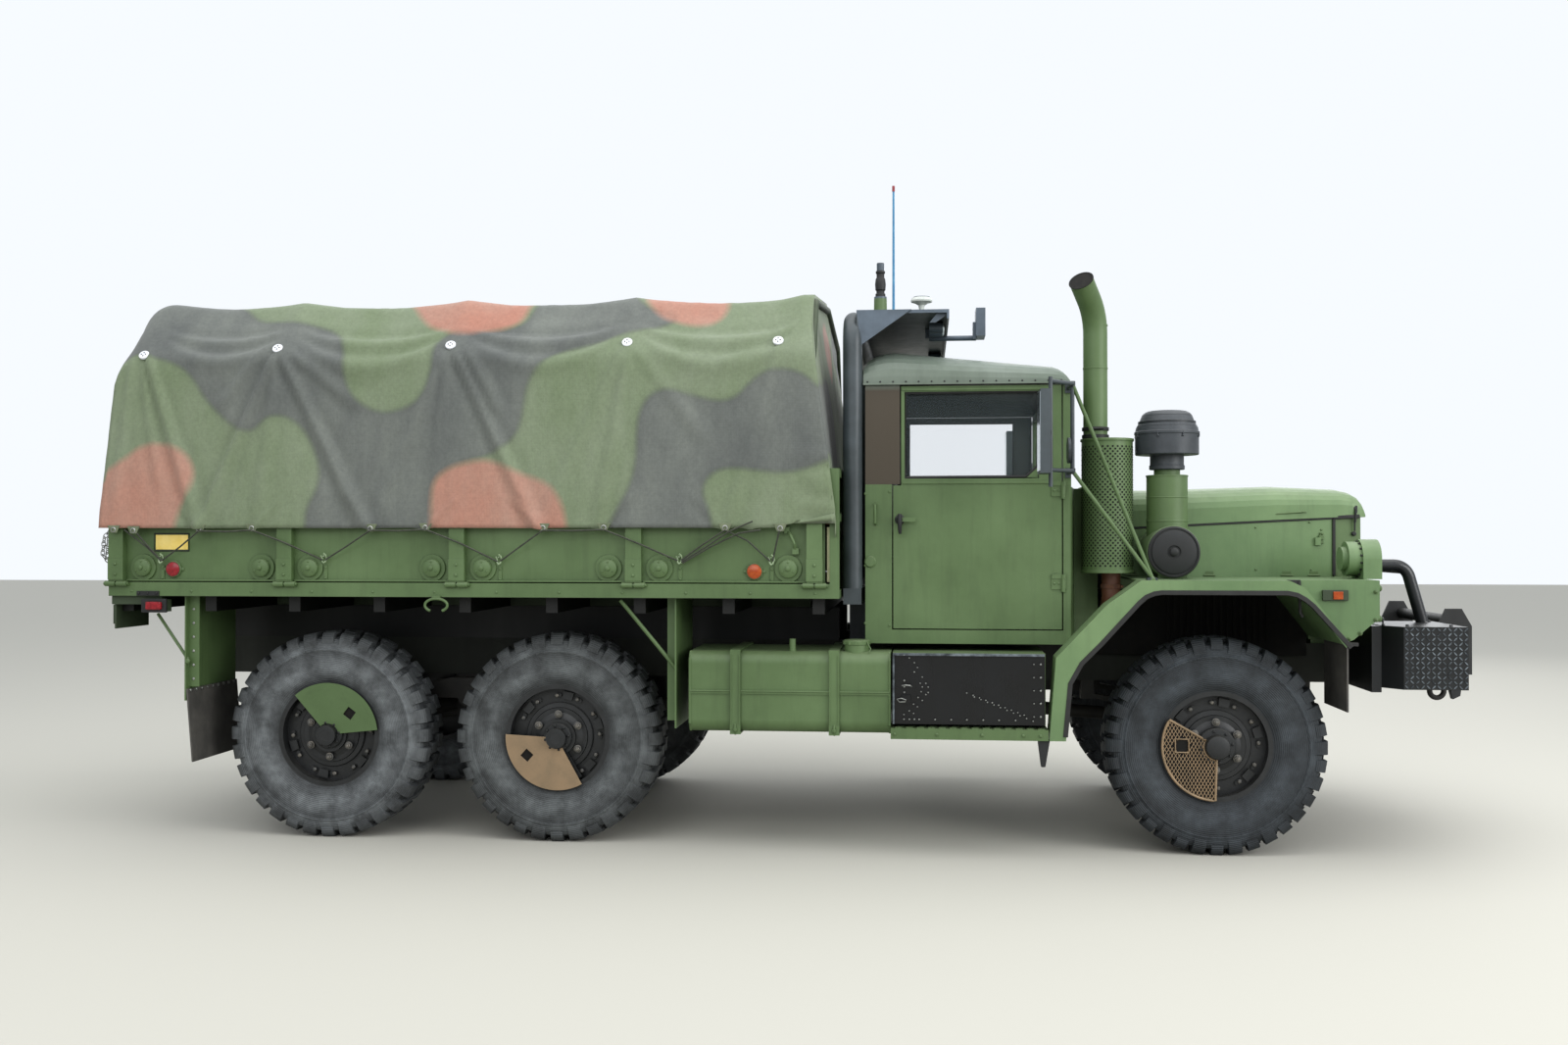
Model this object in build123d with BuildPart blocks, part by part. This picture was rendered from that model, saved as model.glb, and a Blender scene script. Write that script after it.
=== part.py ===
from build123d import *
from math import cos, hypot, radians, sin
import os

os.makedirs("parts", exist_ok=True)

# A six-wheel military cargo truck with a canvas cover, in millimetres.
# +X is forward, +Y is the driver's left, +Z is up, and Z = 0 is the floor.
# The origin is at the middle of the truck's plan. The right side is at -Y.

# Driving sizes of the chassis
front_axle_x = 2122.5
wheelbase = 3912.0
tandem_spacing = 1219.0
half_track = 862.0
frame_top_z = 1003.0
frame_height = 203.0
frame_half_width = 425.0
frame_flange = 76.0
frame_web = 10.0
running_gap = 0.5
seat_gap = 0.3

# Tyres and rims
tyre_radius = 535.0
tyre_width = 290.0
tread_width = 240.0
tread_depth = 30.0
lug_count = 32
lug_share = 0.62
bead_radius = 262.0
bead_width = 210.0
rim_wall = 12.0
rim_flange = 14.0
hub_radius = 92.0
hub_reach = 165.0
spindle_radius = 36.0

# Steering and axles
kingpin_y = 720.0
steer_arm = 200.0
axle_tube_radius = 60.0
differential_radius = 138.0

# Cab
cab_half_width = 1000.0
cab_rear_x = front_axle_x - 1722.0
cab_front_x = front_axle_x - 700.0
cab_floor_z = 1030.0
belt_z = 1827.0
roof_edge_z = 2325.0
roof_rear_z = 2550.0
roof_front_z = 2433.0
panel = 40.0
sheet = 12.0
door_rear_x = front_axle_x - 1582.0
door_step = 40.0
door_front_x = front_axle_x - 748.0
door_bottom_z = 1105.0
door_gap = 6.0

# Hood and fenders
hood_rear_x = front_axle_x - 520.0
fender_top_z = 1355.0
fender_outer_y = 1200.0
fender_skin = 8.0

# Cargo bed
bed_rear_x = front_axle_x - 5606.0
bed_front_x = front_axle_x - 1841.0
bed_half_width = 1200.0
bed_rail_bottom_z = 1260.0
bed_rail_top_z = 1332.0
gate_top_z = 1640.0
gate_outer_y = 1180.0
gate_thick = 30.0
stake_width = 78.0
stake_depth = 40.0
stake_count = 5
stake_rear_x = front_axle_x - 5558.0
stake_pitch = 899.0
tailgate_thick = 22.0

# Canvas cover
cover_rear_x = front_axle_x - 5641.0
cover_rear_top_x = front_axle_x - 5600.0
cover_rear_round = 170.0
cover_front_x = front_axle_x - 1893.0
cover_hem_y = 1240.0
cover_hem_z = 1609.0
cover_shoulder_y = 1160.0
cover_shoulder_z = 2480.0
cover_eave_y = 940.0
cover_eave_z = 2790.0
cover_top_z = 2892.0
cover_thick = 10.0
bow_radius = 20.0
bow_places = [front_axle_x - distance for distance in (5400, 4690, 3800, 2910, 1980)]

# Lug pitch fixes where the flat of a lug stands on the floor
lug_angle = 360.0 / lug_count
axle_z = tyre_radius * cos(radians(lug_angle * lug_share / 2))
bogie_x = front_axle_x - wheelbase
mid_axle_x = bogie_x + tandem_spacing / 2
rear_axle_x = bogie_x - tandem_spacing / 2
frame_bottom_z = frame_top_z - frame_height


def ahead(distance):
    """Give the X that lies this far ahead of the front axle."""
    return front_axle_x + distance


def block(x, y, z, mode=Mode.ADD):
    """Add a box that spans the given pairs of X, Y and Z."""
    middle = ((x[0] + x[1]) / 2, (y[0] + y[1]) / 2, (z[0] + z[1]) / 2)
    with Locations(middle):
        Box(abs(x[1] - x[0]), abs(y[1] - y[0]), abs(z[1] - z[0]), mode=mode)


def side_plate(outline, y, mode=Mode.ADD):
    """Add a plate whose X and Z outline spans a pair of Y."""
    high = max(y)
    with BuildSketch(Plane.XZ.offset(-high)) as profile:
        with BuildLine():
            Polyline(*outline, close=True)
        make_face()
    extrude(profile.sketch, amount=high - min(y), mode=mode)


def flat_plate(outline, z, mode=Mode.ADD):
    """Add a plate whose X and Y outline spans a pair of Z."""
    low = min(z)
    with BuildSketch(Plane.XY.offset(low)) as profile:
        with BuildLine():
            Polyline(*outline, close=True)
        make_face()
    extrude(profile.sketch, amount=max(z) - low, mode=mode)


def rod(start, end, radius, mode=Mode.ADD):
    """Add a round bar from one point to another."""
    path = Vector(*end) - Vector(*start)
    with BuildSketch(Plane(origin=start, z_dir=path)) as profile:
        Circle(radius)
    extrude(profile.sketch, amount=path.length, mode=mode)


def bent_tube(points, radius, bend):
    """Add a round bar along straight runs that arcs of one radius join."""
    with BuildLine() as path:
        FilletPolyline(*points, radius=bend)
    start = path.line @ 0
    with BuildSketch(Plane(origin=start, z_dir=path.line % 0)) as profile:
        Circle(radius)
    sweep(profile.sketch, path=path.line)


def save(piece, name):
    """Label a finished piece and write it under its own name."""
    piece.part.label = name
    export_step(piece.part, "parts/" + name + ".step")


def gather(*pieces):
    """Put pieces that one body carries into one part, side by side."""
    with BuildPart() as group:
        for piece in pieces:
            add(piece.part)
    return group


# Ladder frame: two channels that face inwards, and the members across them
frame_rear_x = ahead(-5480)
frame_front_x = ahead(748)
cross_member_x = (ahead(-5440), ahead(-4760), ahead(-3240), ahead(-2480), ahead(-1500), ahead(690))
cross_member_width = 80.0
inner = frame_half_width - frame_web
with BuildPart() as frame_rails:
    for side in (-1, 1):
        outer = side * frame_half_width
        web = side * (frame_half_width - frame_web)
        lip = side * (frame_half_width - frame_flange)
        x = (frame_rear_x, frame_front_x)
        block(x, (web, outer), (frame_bottom_z, frame_top_z))
        block(x, (lip, web), (frame_top_z - frame_web, frame_top_z))
        block(x, (lip, web), (frame_bottom_z, frame_bottom_z + frame_web))
    for x in cross_member_x:
        width = (x - cross_member_width / 2, x + cross_member_width / 2)
        block(width, (-inner, inner), (frame_top_z - 110, frame_top_z - frame_web))

# Tow hook at the rear, on a plate across the rails
pintle_x = ahead(-5700)
with BuildPart() as tow_hook:
    plate_y = (-frame_half_width, frame_half_width)
    block((frame_rear_x - 16, frame_rear_x), plate_y, (frame_bottom_z, frame_top_z))
    rod((frame_rear_x - 16, 0, 900), (pintle_x + 60, 0, 900), 34)
    side_plate(
        (
            (pintle_x + 70, 850),
            (pintle_x + 70, 950),
            (pintle_x + 10, 975),
            (pintle_x, 930),
            (pintle_x + 34, 915),
            (pintle_x + 34, 885),
            (pintle_x, 870),
            (pintle_x + 14, 830),
        ),
        (-32, 32),
    )
save(gather(frame_rails, tow_hook), "frame")

# Tyres: a slab of square lugs, with a shoulder and a dished sidewall on each face
tread_root = tyre_radius - tread_depth
sidewall_radius = tread_root - 38.0
wheels = (
    ("front_right", front_axle_x, -1),
    ("front_left", front_axle_x, 1),
    ("middle_right", mid_axle_x, -1),
    ("middle_left", mid_axle_x, 1),
    ("rear_right", rear_axle_x, -1),
    ("rear_left", rear_axle_x, 1),
)


def on_circle(radius, angle):
    """Give the point of a circle at an angle from its lowest point."""
    return (radius * sin(radians(angle)), -radius * cos(radians(angle)))


def groove_ring():
    """Give the middle angle of each groove between two lugs."""
    return [lug_angle * (i + 0.5) for i in range(lug_count)]


def lug_outline():
    """Give the lug and groove corners, with the flat of one lug lowest."""
    half = lug_angle * lug_share / 2
    corners = ((-half, tread_root), (-half, tyre_radius), (half, tyre_radius), (half, tread_root))
    return [on_circle(radius, lug_angle * i + turn) for i in range(lug_count) for turn, radius in corners]


def across(y):
    """Give a plane across a wheel's own axle line, seen from the right."""
    return Plane((0, y, 0), x_dir=(1, 0, 0), z_dir=(0, -1, 0))


def many_sided(y, radius):
    """Give a many-sided disc that stands for a round one on a tyre."""
    with BuildSketch(across(y)) as disc:
        with BuildLine():
            Polyline(*[on_circle(radius, angle) for angle in groove_ring()], close=True)
        make_face()
    return disc.sketch


with BuildPart() as tyre:
    with BuildSketch(across(tread_width / 2)):
        with BuildLine():
            Polyline(*lug_outline(), close=True)
        make_face()
    extrude(amount=tread_width)
    for face in (-1, 1):
        wall = many_sided(face * tyre_width / 2, sidewall_radius)
        loft([many_sided(face * tread_width / 2, tread_root - 5), wall], ruled=True)
    for face in (-1, 1):
        wall = many_sided(face * tyre_width / 2, sidewall_radius)
        loft([many_sided(face * bead_width / 2, bead_radius), wall], ruled=True, mode=Mode.SUBTRACT)
    extrude(many_sided(tyre_width / 2, bead_radius), amount=tyre_width, mode=Mode.SUBTRACT)

for name, x, side in wheels:
    with BuildPart() as placed_tyre:
        with Locations((x, side * half_track, axle_z)):
            add(tyre.part)
    save(placed_tyre, "tyre_" + name)

# Wheels: rim, bolted disc, hub with its drive flange, and a plate over part of the disc
rim_radius = bead_radius * cos(radians(lug_angle / 2)) - seat_gap
disc_y = 52.0
disc_thick = 14.0
disc_radius = rim_radius - rim_wall
hub_inner_y = 62.0
hub_bore = spindle_radius + running_gap
stud_count = 6
stud_ring = 122.0
rim_bolt_count = 12
rim_bolt_ring = 212.0
guard_outer = 236.0
guard_thick = 6.0
guard_y = 104.0
guard_angles = {"front": (150.0, 268.0), "middle": (178.0, 302.0), "rear": (12.0, 122.0)}
rim_edge = bead_width / 2 + 3.0


def axle_rod(start, end, radius, mode=Mode.ADD):
    """Add a round bar on a wheel's own axle line, from one Y to another."""
    rod((0, start, 0), (0, end, 0), radius, mode=mode)


for axle, (start, end) in guard_angles.items():
    with BuildPart() as wheel:
        axle_rod(-rim_edge, rim_edge, rim_radius)
        for face in (-1, 1):
            axle_rod(face * rim_edge, face * (rim_edge + rim_flange), rim_radius + 14)
        axle_rod(-rim_edge - rim_flange, rim_edge + rim_flange, disc_radius, mode=Mode.SUBTRACT)
        axle_rod(-disc_y, -disc_y - disc_thick, disc_radius)
        axle_rod(hub_inner_y, 50 - hub_reach, hub_radius)
        axle_rod(0, -hub_reach, hub_radius * 0.56)
        axle_rod(0, -disc_y - 34, hub_radius * 1.6)
        axle_rod(70, -20, hub_bore, mode=Mode.SUBTRACT)
        with BuildSketch(across(-disc_y)):
            with PolarLocations(rim_bolt_ring, rim_bolt_count):
                RegularPolygon(11, 6)
        extrude(amount=disc_thick + 12)
        with BuildSketch(across(-disc_y)):
            with PolarLocations(stud_ring, stud_count, start_angle=30):
                RegularPolygon(15, 6)
        extrude(amount=58)
        with BuildSketch(across(-guard_y)):
            with BuildLine():
                arc = CenterArc((0, 0), guard_outer, start, end - start)
                Line((0, 0), arc @ 0)
                Line(arc @ 1, (0, 0))
            make_face()
        extrude(amount=guard_thick)
    for name, x, side in wheels:
        if name.startswith(axle):
            with BuildPart() as placed_wheel:
                with Locations((x, side * half_track, axle_z)):
                    add(wheel.part if side < 0 else mirror(wheel.part, about=Plane.XZ, mode=Mode.PRIVATE))
            save(placed_wheel, "wheel_" + name)

# Front axle: tube, differential and a fork at each end that holds the kingpin
fork_gap = 78.0
fork_thick = 32.0
fork_reach = 40.0
fork_inner_y = 600.0
fork_wall = 40.0
kingpin_radius = 22.0
differential_y = -60.0
differential_width = 190.0
with BuildPart() as front_axle:
    x = front_axle_x
    rod((x, -fork_inner_y, axle_z), (x, fork_inner_y, axle_z), axle_tube_radius)
    half = differential_width / 2
    rod((x, differential_y - half, axle_z), (x, differential_y + half, axle_z), differential_radius)
    for side in (-1, 1):
        wall_y = (side * fork_inner_y, side * (fork_inner_y + fork_wall))
        ear_y = (side * fork_inner_y, side * (kingpin_y + fork_reach))
        tall = fork_gap + fork_thick
        block((x - 60, x + 60), wall_y, (axle_z - tall, axle_z + tall))
        for up in (-1, 1):
            block((x - 38, x + 38), ear_y, (axle_z + up * fork_gap, axle_z + up * tall))
save(front_axle, "front_axle")

# Steering knuckles: a block on the kingpin, a spindle and an arm for the tie rod
arm_top_z = axle_z - 38.0
arm_thick = 24.0
flange_y = kingpin_y + 66.0
flange_thick = 12.0
flange_radius = 118.0
spindle_end = half_track - 6.0
for name, side in (("right", -1), ("left", 1)):
    with BuildPart() as knuckle:
        x = front_axle_x
        y = side * kingpin_y
        low = axle_z - fork_gap + running_gap
        rod((x, y, low), (x, y, axle_z + fork_gap - running_gap), 36)
        rod((x, y, axle_z), (x, side * spindle_end, axle_z), spindle_radius)
        rod((x, side * flange_y, axle_z), (x, side * (flange_y + flange_thick), axle_z), flange_radius)
        rod((x, y, axle_z), (x, side * flange_y, axle_z), 52)
        block((x - steer_arm, x), (y - 16, y + 16), (arm_top_z - arm_thick, arm_top_z))
        rod((x - steer_arm, y, arm_top_z - arm_thick), (x - steer_arm, y, arm_top_z), 22)
    save(knuckle, "knuckle_" + name)

# Tie rod between the two arms
tie_rod_radius = 15.0
tie_rod_z = arm_top_z - arm_thick - 4.0 - 20.0
with BuildPart() as tie_rod:
    x = front_axle_x - steer_arm
    rod((x, -kingpin_y, tie_rod_z), (x, kingpin_y, tie_rod_z), tie_rod_radius)
    for side in (-1, 1):
        top = arm_top_z - arm_thick - running_gap
        rod((x, side * kingpin_y, tie_rod_z - 18), (x, side * kingpin_y, top), 20)
save(tie_rod, "tie_rod")

# Rear axles: tube, differential, brake plate and a spindle in each hub
rear_tube_radius = 62.0
with BuildPart() as rear_axles:
    for x in (mid_axle_x, rear_axle_x):
        rod((x, -spindle_end, axle_z), (x, spindle_end, axle_z), spindle_radius)
        rod((x, -flange_y, axle_z), (x, flange_y, axle_z), rear_tube_radius)
        rod((x, -half, axle_z), (x, half, axle_z), differential_radius)
        for side in (-1, 1):
            rod((x, side * flange_y, axle_z), (x, side * (flange_y + flange_thick), axle_z), flange_radius)
save(rear_axles, "rear_axles")

# Front springs: a bowed pack of leaves on each side, hung from the frame
spring_y = 387.0
spring_width = 64.0
spring_half_length = 560.0
spring_seat_z = axle_z + axle_tube_radius + 14.0
spring_end_z = 708.0
spring_thick = 62.0
leaf_thick = 12.0
with BuildPart() as front_springs:
    for side in (-1, 1):
        y = (side * spring_y - spring_width / 2, side * spring_y + spring_width / 2)
        x = front_axle_x
        side_plate(
            (
                (x - spring_half_length, spring_end_z),
                (x - 90, spring_seat_z),
                (x + 90, spring_seat_z),
                (x + spring_half_length, spring_end_z),
                (x + spring_half_length, spring_end_z + leaf_thick * 2),
                (x + 300, spring_seat_z + spring_thick + 14),
                (x, spring_seat_z + spring_thick),
                (x - 300, spring_seat_z + spring_thick + 14),
                (x - spring_half_length, spring_end_z + leaf_thick * 2),
            ),
            y,
        )
        for end in (-1, 1):
            hanger = x + end * spring_half_length
            block((hanger - 34, hanger + 34), y, (spring_end_z - 10, frame_bottom_z))
        block((x - 62, x + 62), y, (axle_z + axle_tube_radius * 0.5, spring_seat_z))
        rod((x, y[0], axle_z), (x, y[1], axle_z), axle_tube_radius + seat_gap, mode=Mode.SUBTRACT)

# Rear springs: a pack on each side, turned over on a tube across the frame
bogie_tube_z = 690.0
bogie_spring_y = 500.0
bogie_spring_width = 100.0
bogie_spring_end_z = axle_z + rear_tube_radius + seat_gap
reach = tandem_spacing / 2
with BuildPart() as rear_springs:
    tube_end_y = frame_half_width + 140
    rod((bogie_x, -tube_end_y, bogie_tube_z), (bogie_x, tube_end_y, bogie_tube_z), 58)
    for side in (-1, 1):
        y = (side * bogie_spring_y - bogie_spring_width / 2, side * bogie_spring_y + bogie_spring_width / 2)
        side_plate(
            (
                (bogie_x - reach - 50, bogie_spring_end_z),
                (bogie_x - reach + 50, bogie_spring_end_z),
                (bogie_x - 180, bogie_tube_z - 10),
                (bogie_x + 180, bogie_tube_z - 10),
                (bogie_x + reach - 50, bogie_spring_end_z),
                (bogie_x + reach + 50, bogie_spring_end_z),
                (bogie_x + reach + 50, bogie_spring_end_z + 26),
                (bogie_x + 110, bogie_tube_z + 100),
                (bogie_x - 110, bogie_tube_z + 100),
                (bogie_x - reach - 50, bogie_spring_end_z + 26),
            ),
            y,
        )
        bracket = (side * (frame_half_width - 60), side * (frame_half_width - 6))
        block((bogie_x - 110, bogie_x + 110), bracket, (bogie_tube_z - 130, frame_bottom_z))
        for end in (-1, 1):
            pin_x = bogie_x + end * (reach - rear_tube_radius - 22)
            rod((bogie_x + end * 80, side * 392, bogie_tube_z - 104), (pin_x, side * 392, axle_z - 10), 20)
save(gather(front_springs, rear_springs), "springs")

# Engine and gearbox: one plain block each, with the sump below
engine_rear_x = ahead(-470)
engine_front_x = ahead(430)
engine_half_width = 255.0
gearbox_rear_x = ahead(-1280)
with BuildPart() as engine:
    block((engine_rear_x, engine_front_x), (-engine_half_width, engine_half_width), (880, 1480))
    block((engine_rear_x + 160, engine_front_x - 120), (-180, 180), (760, 880))
    block((gearbox_rear_x, engine_rear_x), (-190, 190), (720, 1000))
    for x in (ahead(-900), ahead(240)):
        block((x - 40, x + 40), (-inner, inner), (890, 950))
save(engine, "engine")

# Transfer case and propeller shafts
transfer_rear_x = ahead(-2230)
transfer_front_x = ahead(-1870)
transfer_z = (600.0, 880.0)
shaft_radius = 36.0
through_z = axle_z + 40.0
with BuildPart() as drive_shafts:
    block((transfer_rear_x, transfer_front_x), (-220, 190), transfer_z)
    block((transfer_rear_x + 100, transfer_front_x - 100), (-inner, inner), (812, 870))
    rod((transfer_front_x, 0, 780), (gearbox_rear_x - 4, 0, 820), shaft_radius)
    nose_x = front_axle_x - differential_radius - 30
    rod((transfer_front_x, -60, 680), (nose_x, -60, axle_z + 30), shaft_radius)
    rod((transfer_rear_x, 0, 680), (mid_axle_x + differential_radius + 30, 0, through_z), shaft_radius)
    for x in (mid_axle_x, rear_axle_x):
        rod((x + differential_radius - 20, 0, through_z), (x + differential_radius + 34, 0, through_z), 60)
    shaft_ends = (mid_axle_x - differential_radius, rear_axle_x + differential_radius)
    rod((shaft_ends[0] - 30, 0, through_z), (shaft_ends[1] + 30, 0, through_z), shaft_radius)
    rod((shaft_ends[0] + 20, 0, through_z), (shaft_ends[0] - 34, 0, through_z), 60)
    rod((nose_x + 40, -60, axle_z + 30), (nose_x - 10, -60, axle_z + 30), 60)
    for x in (front_axle_x, mid_axle_x, rear_axle_x):
        rod((x, -200, axle_z), (x, 200, axle_z), differential_radius + seat_gap, mode=Mode.SUBTRACT)
save(drive_shafts, "drive_shafts")

# Front bumper: an upright beam and a tread-plate box on each side of the winch
bumper_rear_x = frame_front_x
bumper_front_x = bumper_rear_x + 46.0
bumper_z = (805.0, 1128.0)
box_front_x = ahead(1166)
box_outer_y = 1050.0
box_inner_y = 560.0
box_z = (829.0, 1131.0)
winch_tray_z = 849.0
with BuildPart() as front_bumper:
    block((bumper_rear_x, bumper_front_x), (-950, 950), bumper_z)
    for side in (-1, 1):
        flat_plate(
            (
                (bumper_front_x, side * 950),
                (ahead(867), side * box_outer_y),
                (box_front_x, side * box_outer_y),
                (box_front_x, side * box_inner_y),
                (bumper_front_x, side * box_inner_y),
            ),
            box_z,
        )
    for side in (-1, 1):
        block((bumper_front_x, box_front_x), (side * 470, side * box_inner_y), (829, 849))
    block((box_front_x - 24, box_front_x), (-box_inner_y, box_inner_y), (829, winch_tray_z))

# Winch: drum between two cheek plates, gear case, motor and rope rollers
winch_x = ahead(1010)
winch_z = 990.0
with BuildPart() as winch:
    block((bumper_front_x + 6, ahead(1290)), (-460, 460), (winch_tray_z, winch_tray_z + 12))
    rod((winch_x, -330, winch_z), (winch_x, 330, winch_z), 62)
    rod((winch_x, -365, winch_z), (winch_x, 365, winch_z), 36)
    for y in (-340, 320):
        rod((winch_x, y, winch_z), (winch_x, y + 20, winch_z), 128)
    for y in (-380, 360):
        block((winch_x - 110, winch_x + 110), (y, y + 20), (winch_tray_z, winch_z + 120))
    rod((winch_x, 380, winch_z), (winch_x, 455, winch_z), 110)
    rod((winch_x, -455, winch_z), (winch_x, -380, winch_z), 96)
    rod((winch_x, -100, winch_z), (winch_x, 100, winch_z), 92)
    for side in (-1, 1):
        side_plate(
            (
                (ahead(1190), winch_tray_z),
                (ahead(1400), winch_tray_z),
                (ahead(1400), 1100),
                (ahead(1350), 1190),
                (ahead(1270), 1190),
                (ahead(1230), 1100),
            ),
            (side * 440, side * 456),
        )
    for z in (930, 1120):
        rod((ahead(1340), -440, z), (ahead(1340), 440, z), 30)
    rod((ahead(1340), 0, 930), (ahead(1340), 0, 1120), 22)
    for side in (-1, 1):
        side_plate(
            (
                (ahead(1300), winch_tray_z),
                (ahead(1350), winch_tray_z),
                (ahead(1336), 740),
                (ahead(1300), 722),
                (ahead(1290), 760),
            ),
            (side * 430, side * 470),
        )
    rod((ahead(1370), -60, 1025), (ahead(1455), -60, 1025), 26)
    block((ahead(1330), ahead(1380)), (-120, 0), (1000, 1050))
save(winch, "winch")

# Brush guard: a bent tube before each lamp with a bar between them
guard_tube = 30.0
guard_tube_y = 640.0
guard_rear_x = ahead(742)
with BuildPart() as brush_guard:
    for side in (-1, 1):
        y = side * guard_tube_y
        bent_tube(
            (
                (guard_rear_x, y, 1420),
                (ahead(1010), y, 1420),
                (ahead(1090), y, box_z[1]),
            ),
            guard_tube,
            80,
        )
    rod((ahead(990), -guard_tube_y, 1400), (ahead(990), guard_tube_y, 1400), 24)
save(gather(front_bumper, brush_guard), "front_bumper")

# Cab tub: floor, side panels, sills, cowl and the lower back wall
cab_inner_y = cab_half_width - panel
quarter_front_x = door_rear_x - door_gap
post_rear_x = door_front_x + door_gap
cowl_top_z = 1815.0
cowl_front_x = hood_rear_x - 6.0
cowl_neck = 600.0
door_hinge_x = door_front_x + 10.0
door_hinge_y = cab_half_width + 10.0
hinge_heights = (1333.0, 1794.0)
hinge_leaf_half = 23.0
hood_hinge_x = hood_rear_x - 2.0
hood_hinge_y = 260.0
hood_hinge_z = 1842.0
hood_barrel = 9.0


def cowl_outline(wall, rear_x):
    """Give the plan of the cowl, moved inwards by a wall."""
    right = [
        (rear_x, cab_half_width - wall),
        (ahead(-705) - wall, cab_half_width - wall),
        (ahead(-650) - wall, cowl_neck + 20 - wall),
        (cowl_front_x - wall, cowl_neck - wall),
    ]
    return right + [(x, -y) for x, y in reversed(right)]


with BuildPart() as cab_tub:
    flat_plate(cowl_outline(0, post_rear_x), (cab_floor_z, cowl_top_z))
    flat_plate(cowl_outline(sheet, post_rear_x), (cab_floor_z + 20, cowl_top_z - sheet), mode=Mode.SUBTRACT)
    block((cab_rear_x, post_rear_x + 4), (-cab_half_width, cab_half_width), (cab_floor_z, cab_floor_z + 20))
    block((cab_rear_x, cab_rear_x + sheet), (-cab_half_width, cab_half_width), (cab_floor_z, belt_z))
    for side in (-1, 1):
        wall = (side * cab_inner_y, side * cab_half_width)
        block((cab_rear_x, quarter_front_x), wall, (cab_floor_z, belt_z))
        block((cab_rear_x, post_rear_x + 4), wall, (cab_floor_z, door_bottom_z - door_gap))
        for z in hinge_heights:
            leaf = (side * cab_half_width, side * (door_hinge_y + 2))
            block((post_rear_x, door_hinge_x + 9), leaf, (z - hinge_leaf_half, z + hinge_leaf_half))
        for x in (ahead(-1600), ahead(-820)):
            block((x - 40, x + 40), (side * 349, side * frame_half_width), (frame_top_z, cab_floor_z))
    for side in (-1, 1):
        span = (side * hood_hinge_y, side * (hood_hinge_y - 60))
        block((cowl_front_x - 60, hood_hinge_x), span, (cowl_top_z - sheet / 2, cowl_top_z + 8))
        block((cowl_front_x - 20, hood_hinge_x), span, (cowl_top_z, hood_hinge_z))
        rod((hood_hinge_x, span[0], hood_hinge_z), (hood_hinge_x, span[1], hood_hinge_z), hood_barrel)
save(cab_tub, "cab_tub")

# Hardtop: roof shell, rear quarters and upper back wall with its window
roof_half_width = cab_half_width + 6.0
roof_rear_x = cab_rear_x - 10.0
roof_front_x = cab_front_x - 6.0
quarter_base_z = belt_z + seat_gap


roof_slope = (roof_front_z - roof_rear_z) / (roof_front_x - roof_rear_x)
roof_ends = (
    # distance in from the rear or the front, share of the height above the eaves
    ((0, 0.62), (25, 0.74), (60, 0.86), (100, 0.94), (155, 1.0)),
    ((75, 1.0), (50, 0.94), (28, 0.8), (12, 0.6), (0, 0.35)),
)
roof_shoulder = (
    # share of the half width, share of the height
    (0.998, 0.22),
    (0.99, 0.4),
    (0.97, 0.56),
    (0.94, 0.68),
    (0.895, 0.78),
    (0.84, 0.86),
    (0.76, 0.92),
    (0.64, 0.965),
    (0.5, 0.985),
    (0.3, 1.0),
)


def roof_rows(wall):
    """Give the X and the share of the height of each section, moved in by a wall."""
    rear, front = roof_ends
    rows = [(roof_rear_x + wall + reach, share) for reach, share in rear]
    return rows + [(roof_front_x - wall - reach, share) for reach, share in front]


def roof_section(x, share, wall):
    """Give one cross section of the roof with round shoulders."""
    half = roof_half_width - wall
    top_z = roof_rear_z + roof_slope * (x - roof_rear_x) - wall
    low = roof_edge_z if wall == 0 else roof_edge_z - 1
    right = [(-half, low)]
    right += [(-half * reach, low + (top_z - low) * share * rise) for reach, rise in roof_shoulder]
    with BuildSketch(Plane.YZ.offset(x)) as section:
        with BuildLine():
            Polyline(*right, *[(-y, z) for y, z in right[::-1]], close=True)
        make_face()
    return section.sketch


with BuildPart() as hardtop:
    loft([roof_section(x, share, 0) for x, share in roof_rows(0)], ruled=True)
    loft([roof_section(x, share, sheet) for x, share in roof_rows(sheet)], ruled=True, mode=Mode.SUBTRACT)
    back_y = (-cab_half_width, cab_half_width)
    block((cab_rear_x, cab_rear_x + 24), back_y, (quarter_base_z, roof_edge_z + 8))
    block((cab_rear_x, cab_rear_x + 24), (-340, 340), (1960, 2230), mode=Mode.SUBTRACT)
    for side in (-1, 1):
        wall = (side * cab_inner_y, side * cab_half_width)
        block((cab_rear_x, quarter_front_x + door_step), wall, (quarter_base_z, roof_edge_z + 8))
        gutter = (side * (roof_half_width - 2), side * (roof_half_width + 14))
        block((roof_rear_x, roof_front_x), gutter, (roof_edge_z, roof_edge_z + 10))
save(hardtop, "hardtop")

# Windshield: a frame with a middle post, and its two panes
shield_rear_x = post_rear_x
shield_front_x = cab_front_x - 2.0
shield_base_z = cowl_top_z + seat_gap
shield_top_z = roof_edge_z - seat_gap
pane_z = (cowl_top_z + 55, shield_top_z - 45)
pane_y = (34.0, 930.0)
pane_thick = 6.0
pane_x = (shield_rear_x + shield_front_x) / 2
with BuildPart() as windshield_frame:
    block((shield_rear_x, shield_front_x), (-cab_half_width, cab_half_width), (shield_base_z, shield_top_z))
    for side in (-1, 1):
        pane = (side * pane_y[0], side * pane_y[1])
        block((shield_rear_x, shield_front_x), pane, pane_z, mode=Mode.SUBTRACT)
save(windshield_frame, "windshield_frame")

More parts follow.
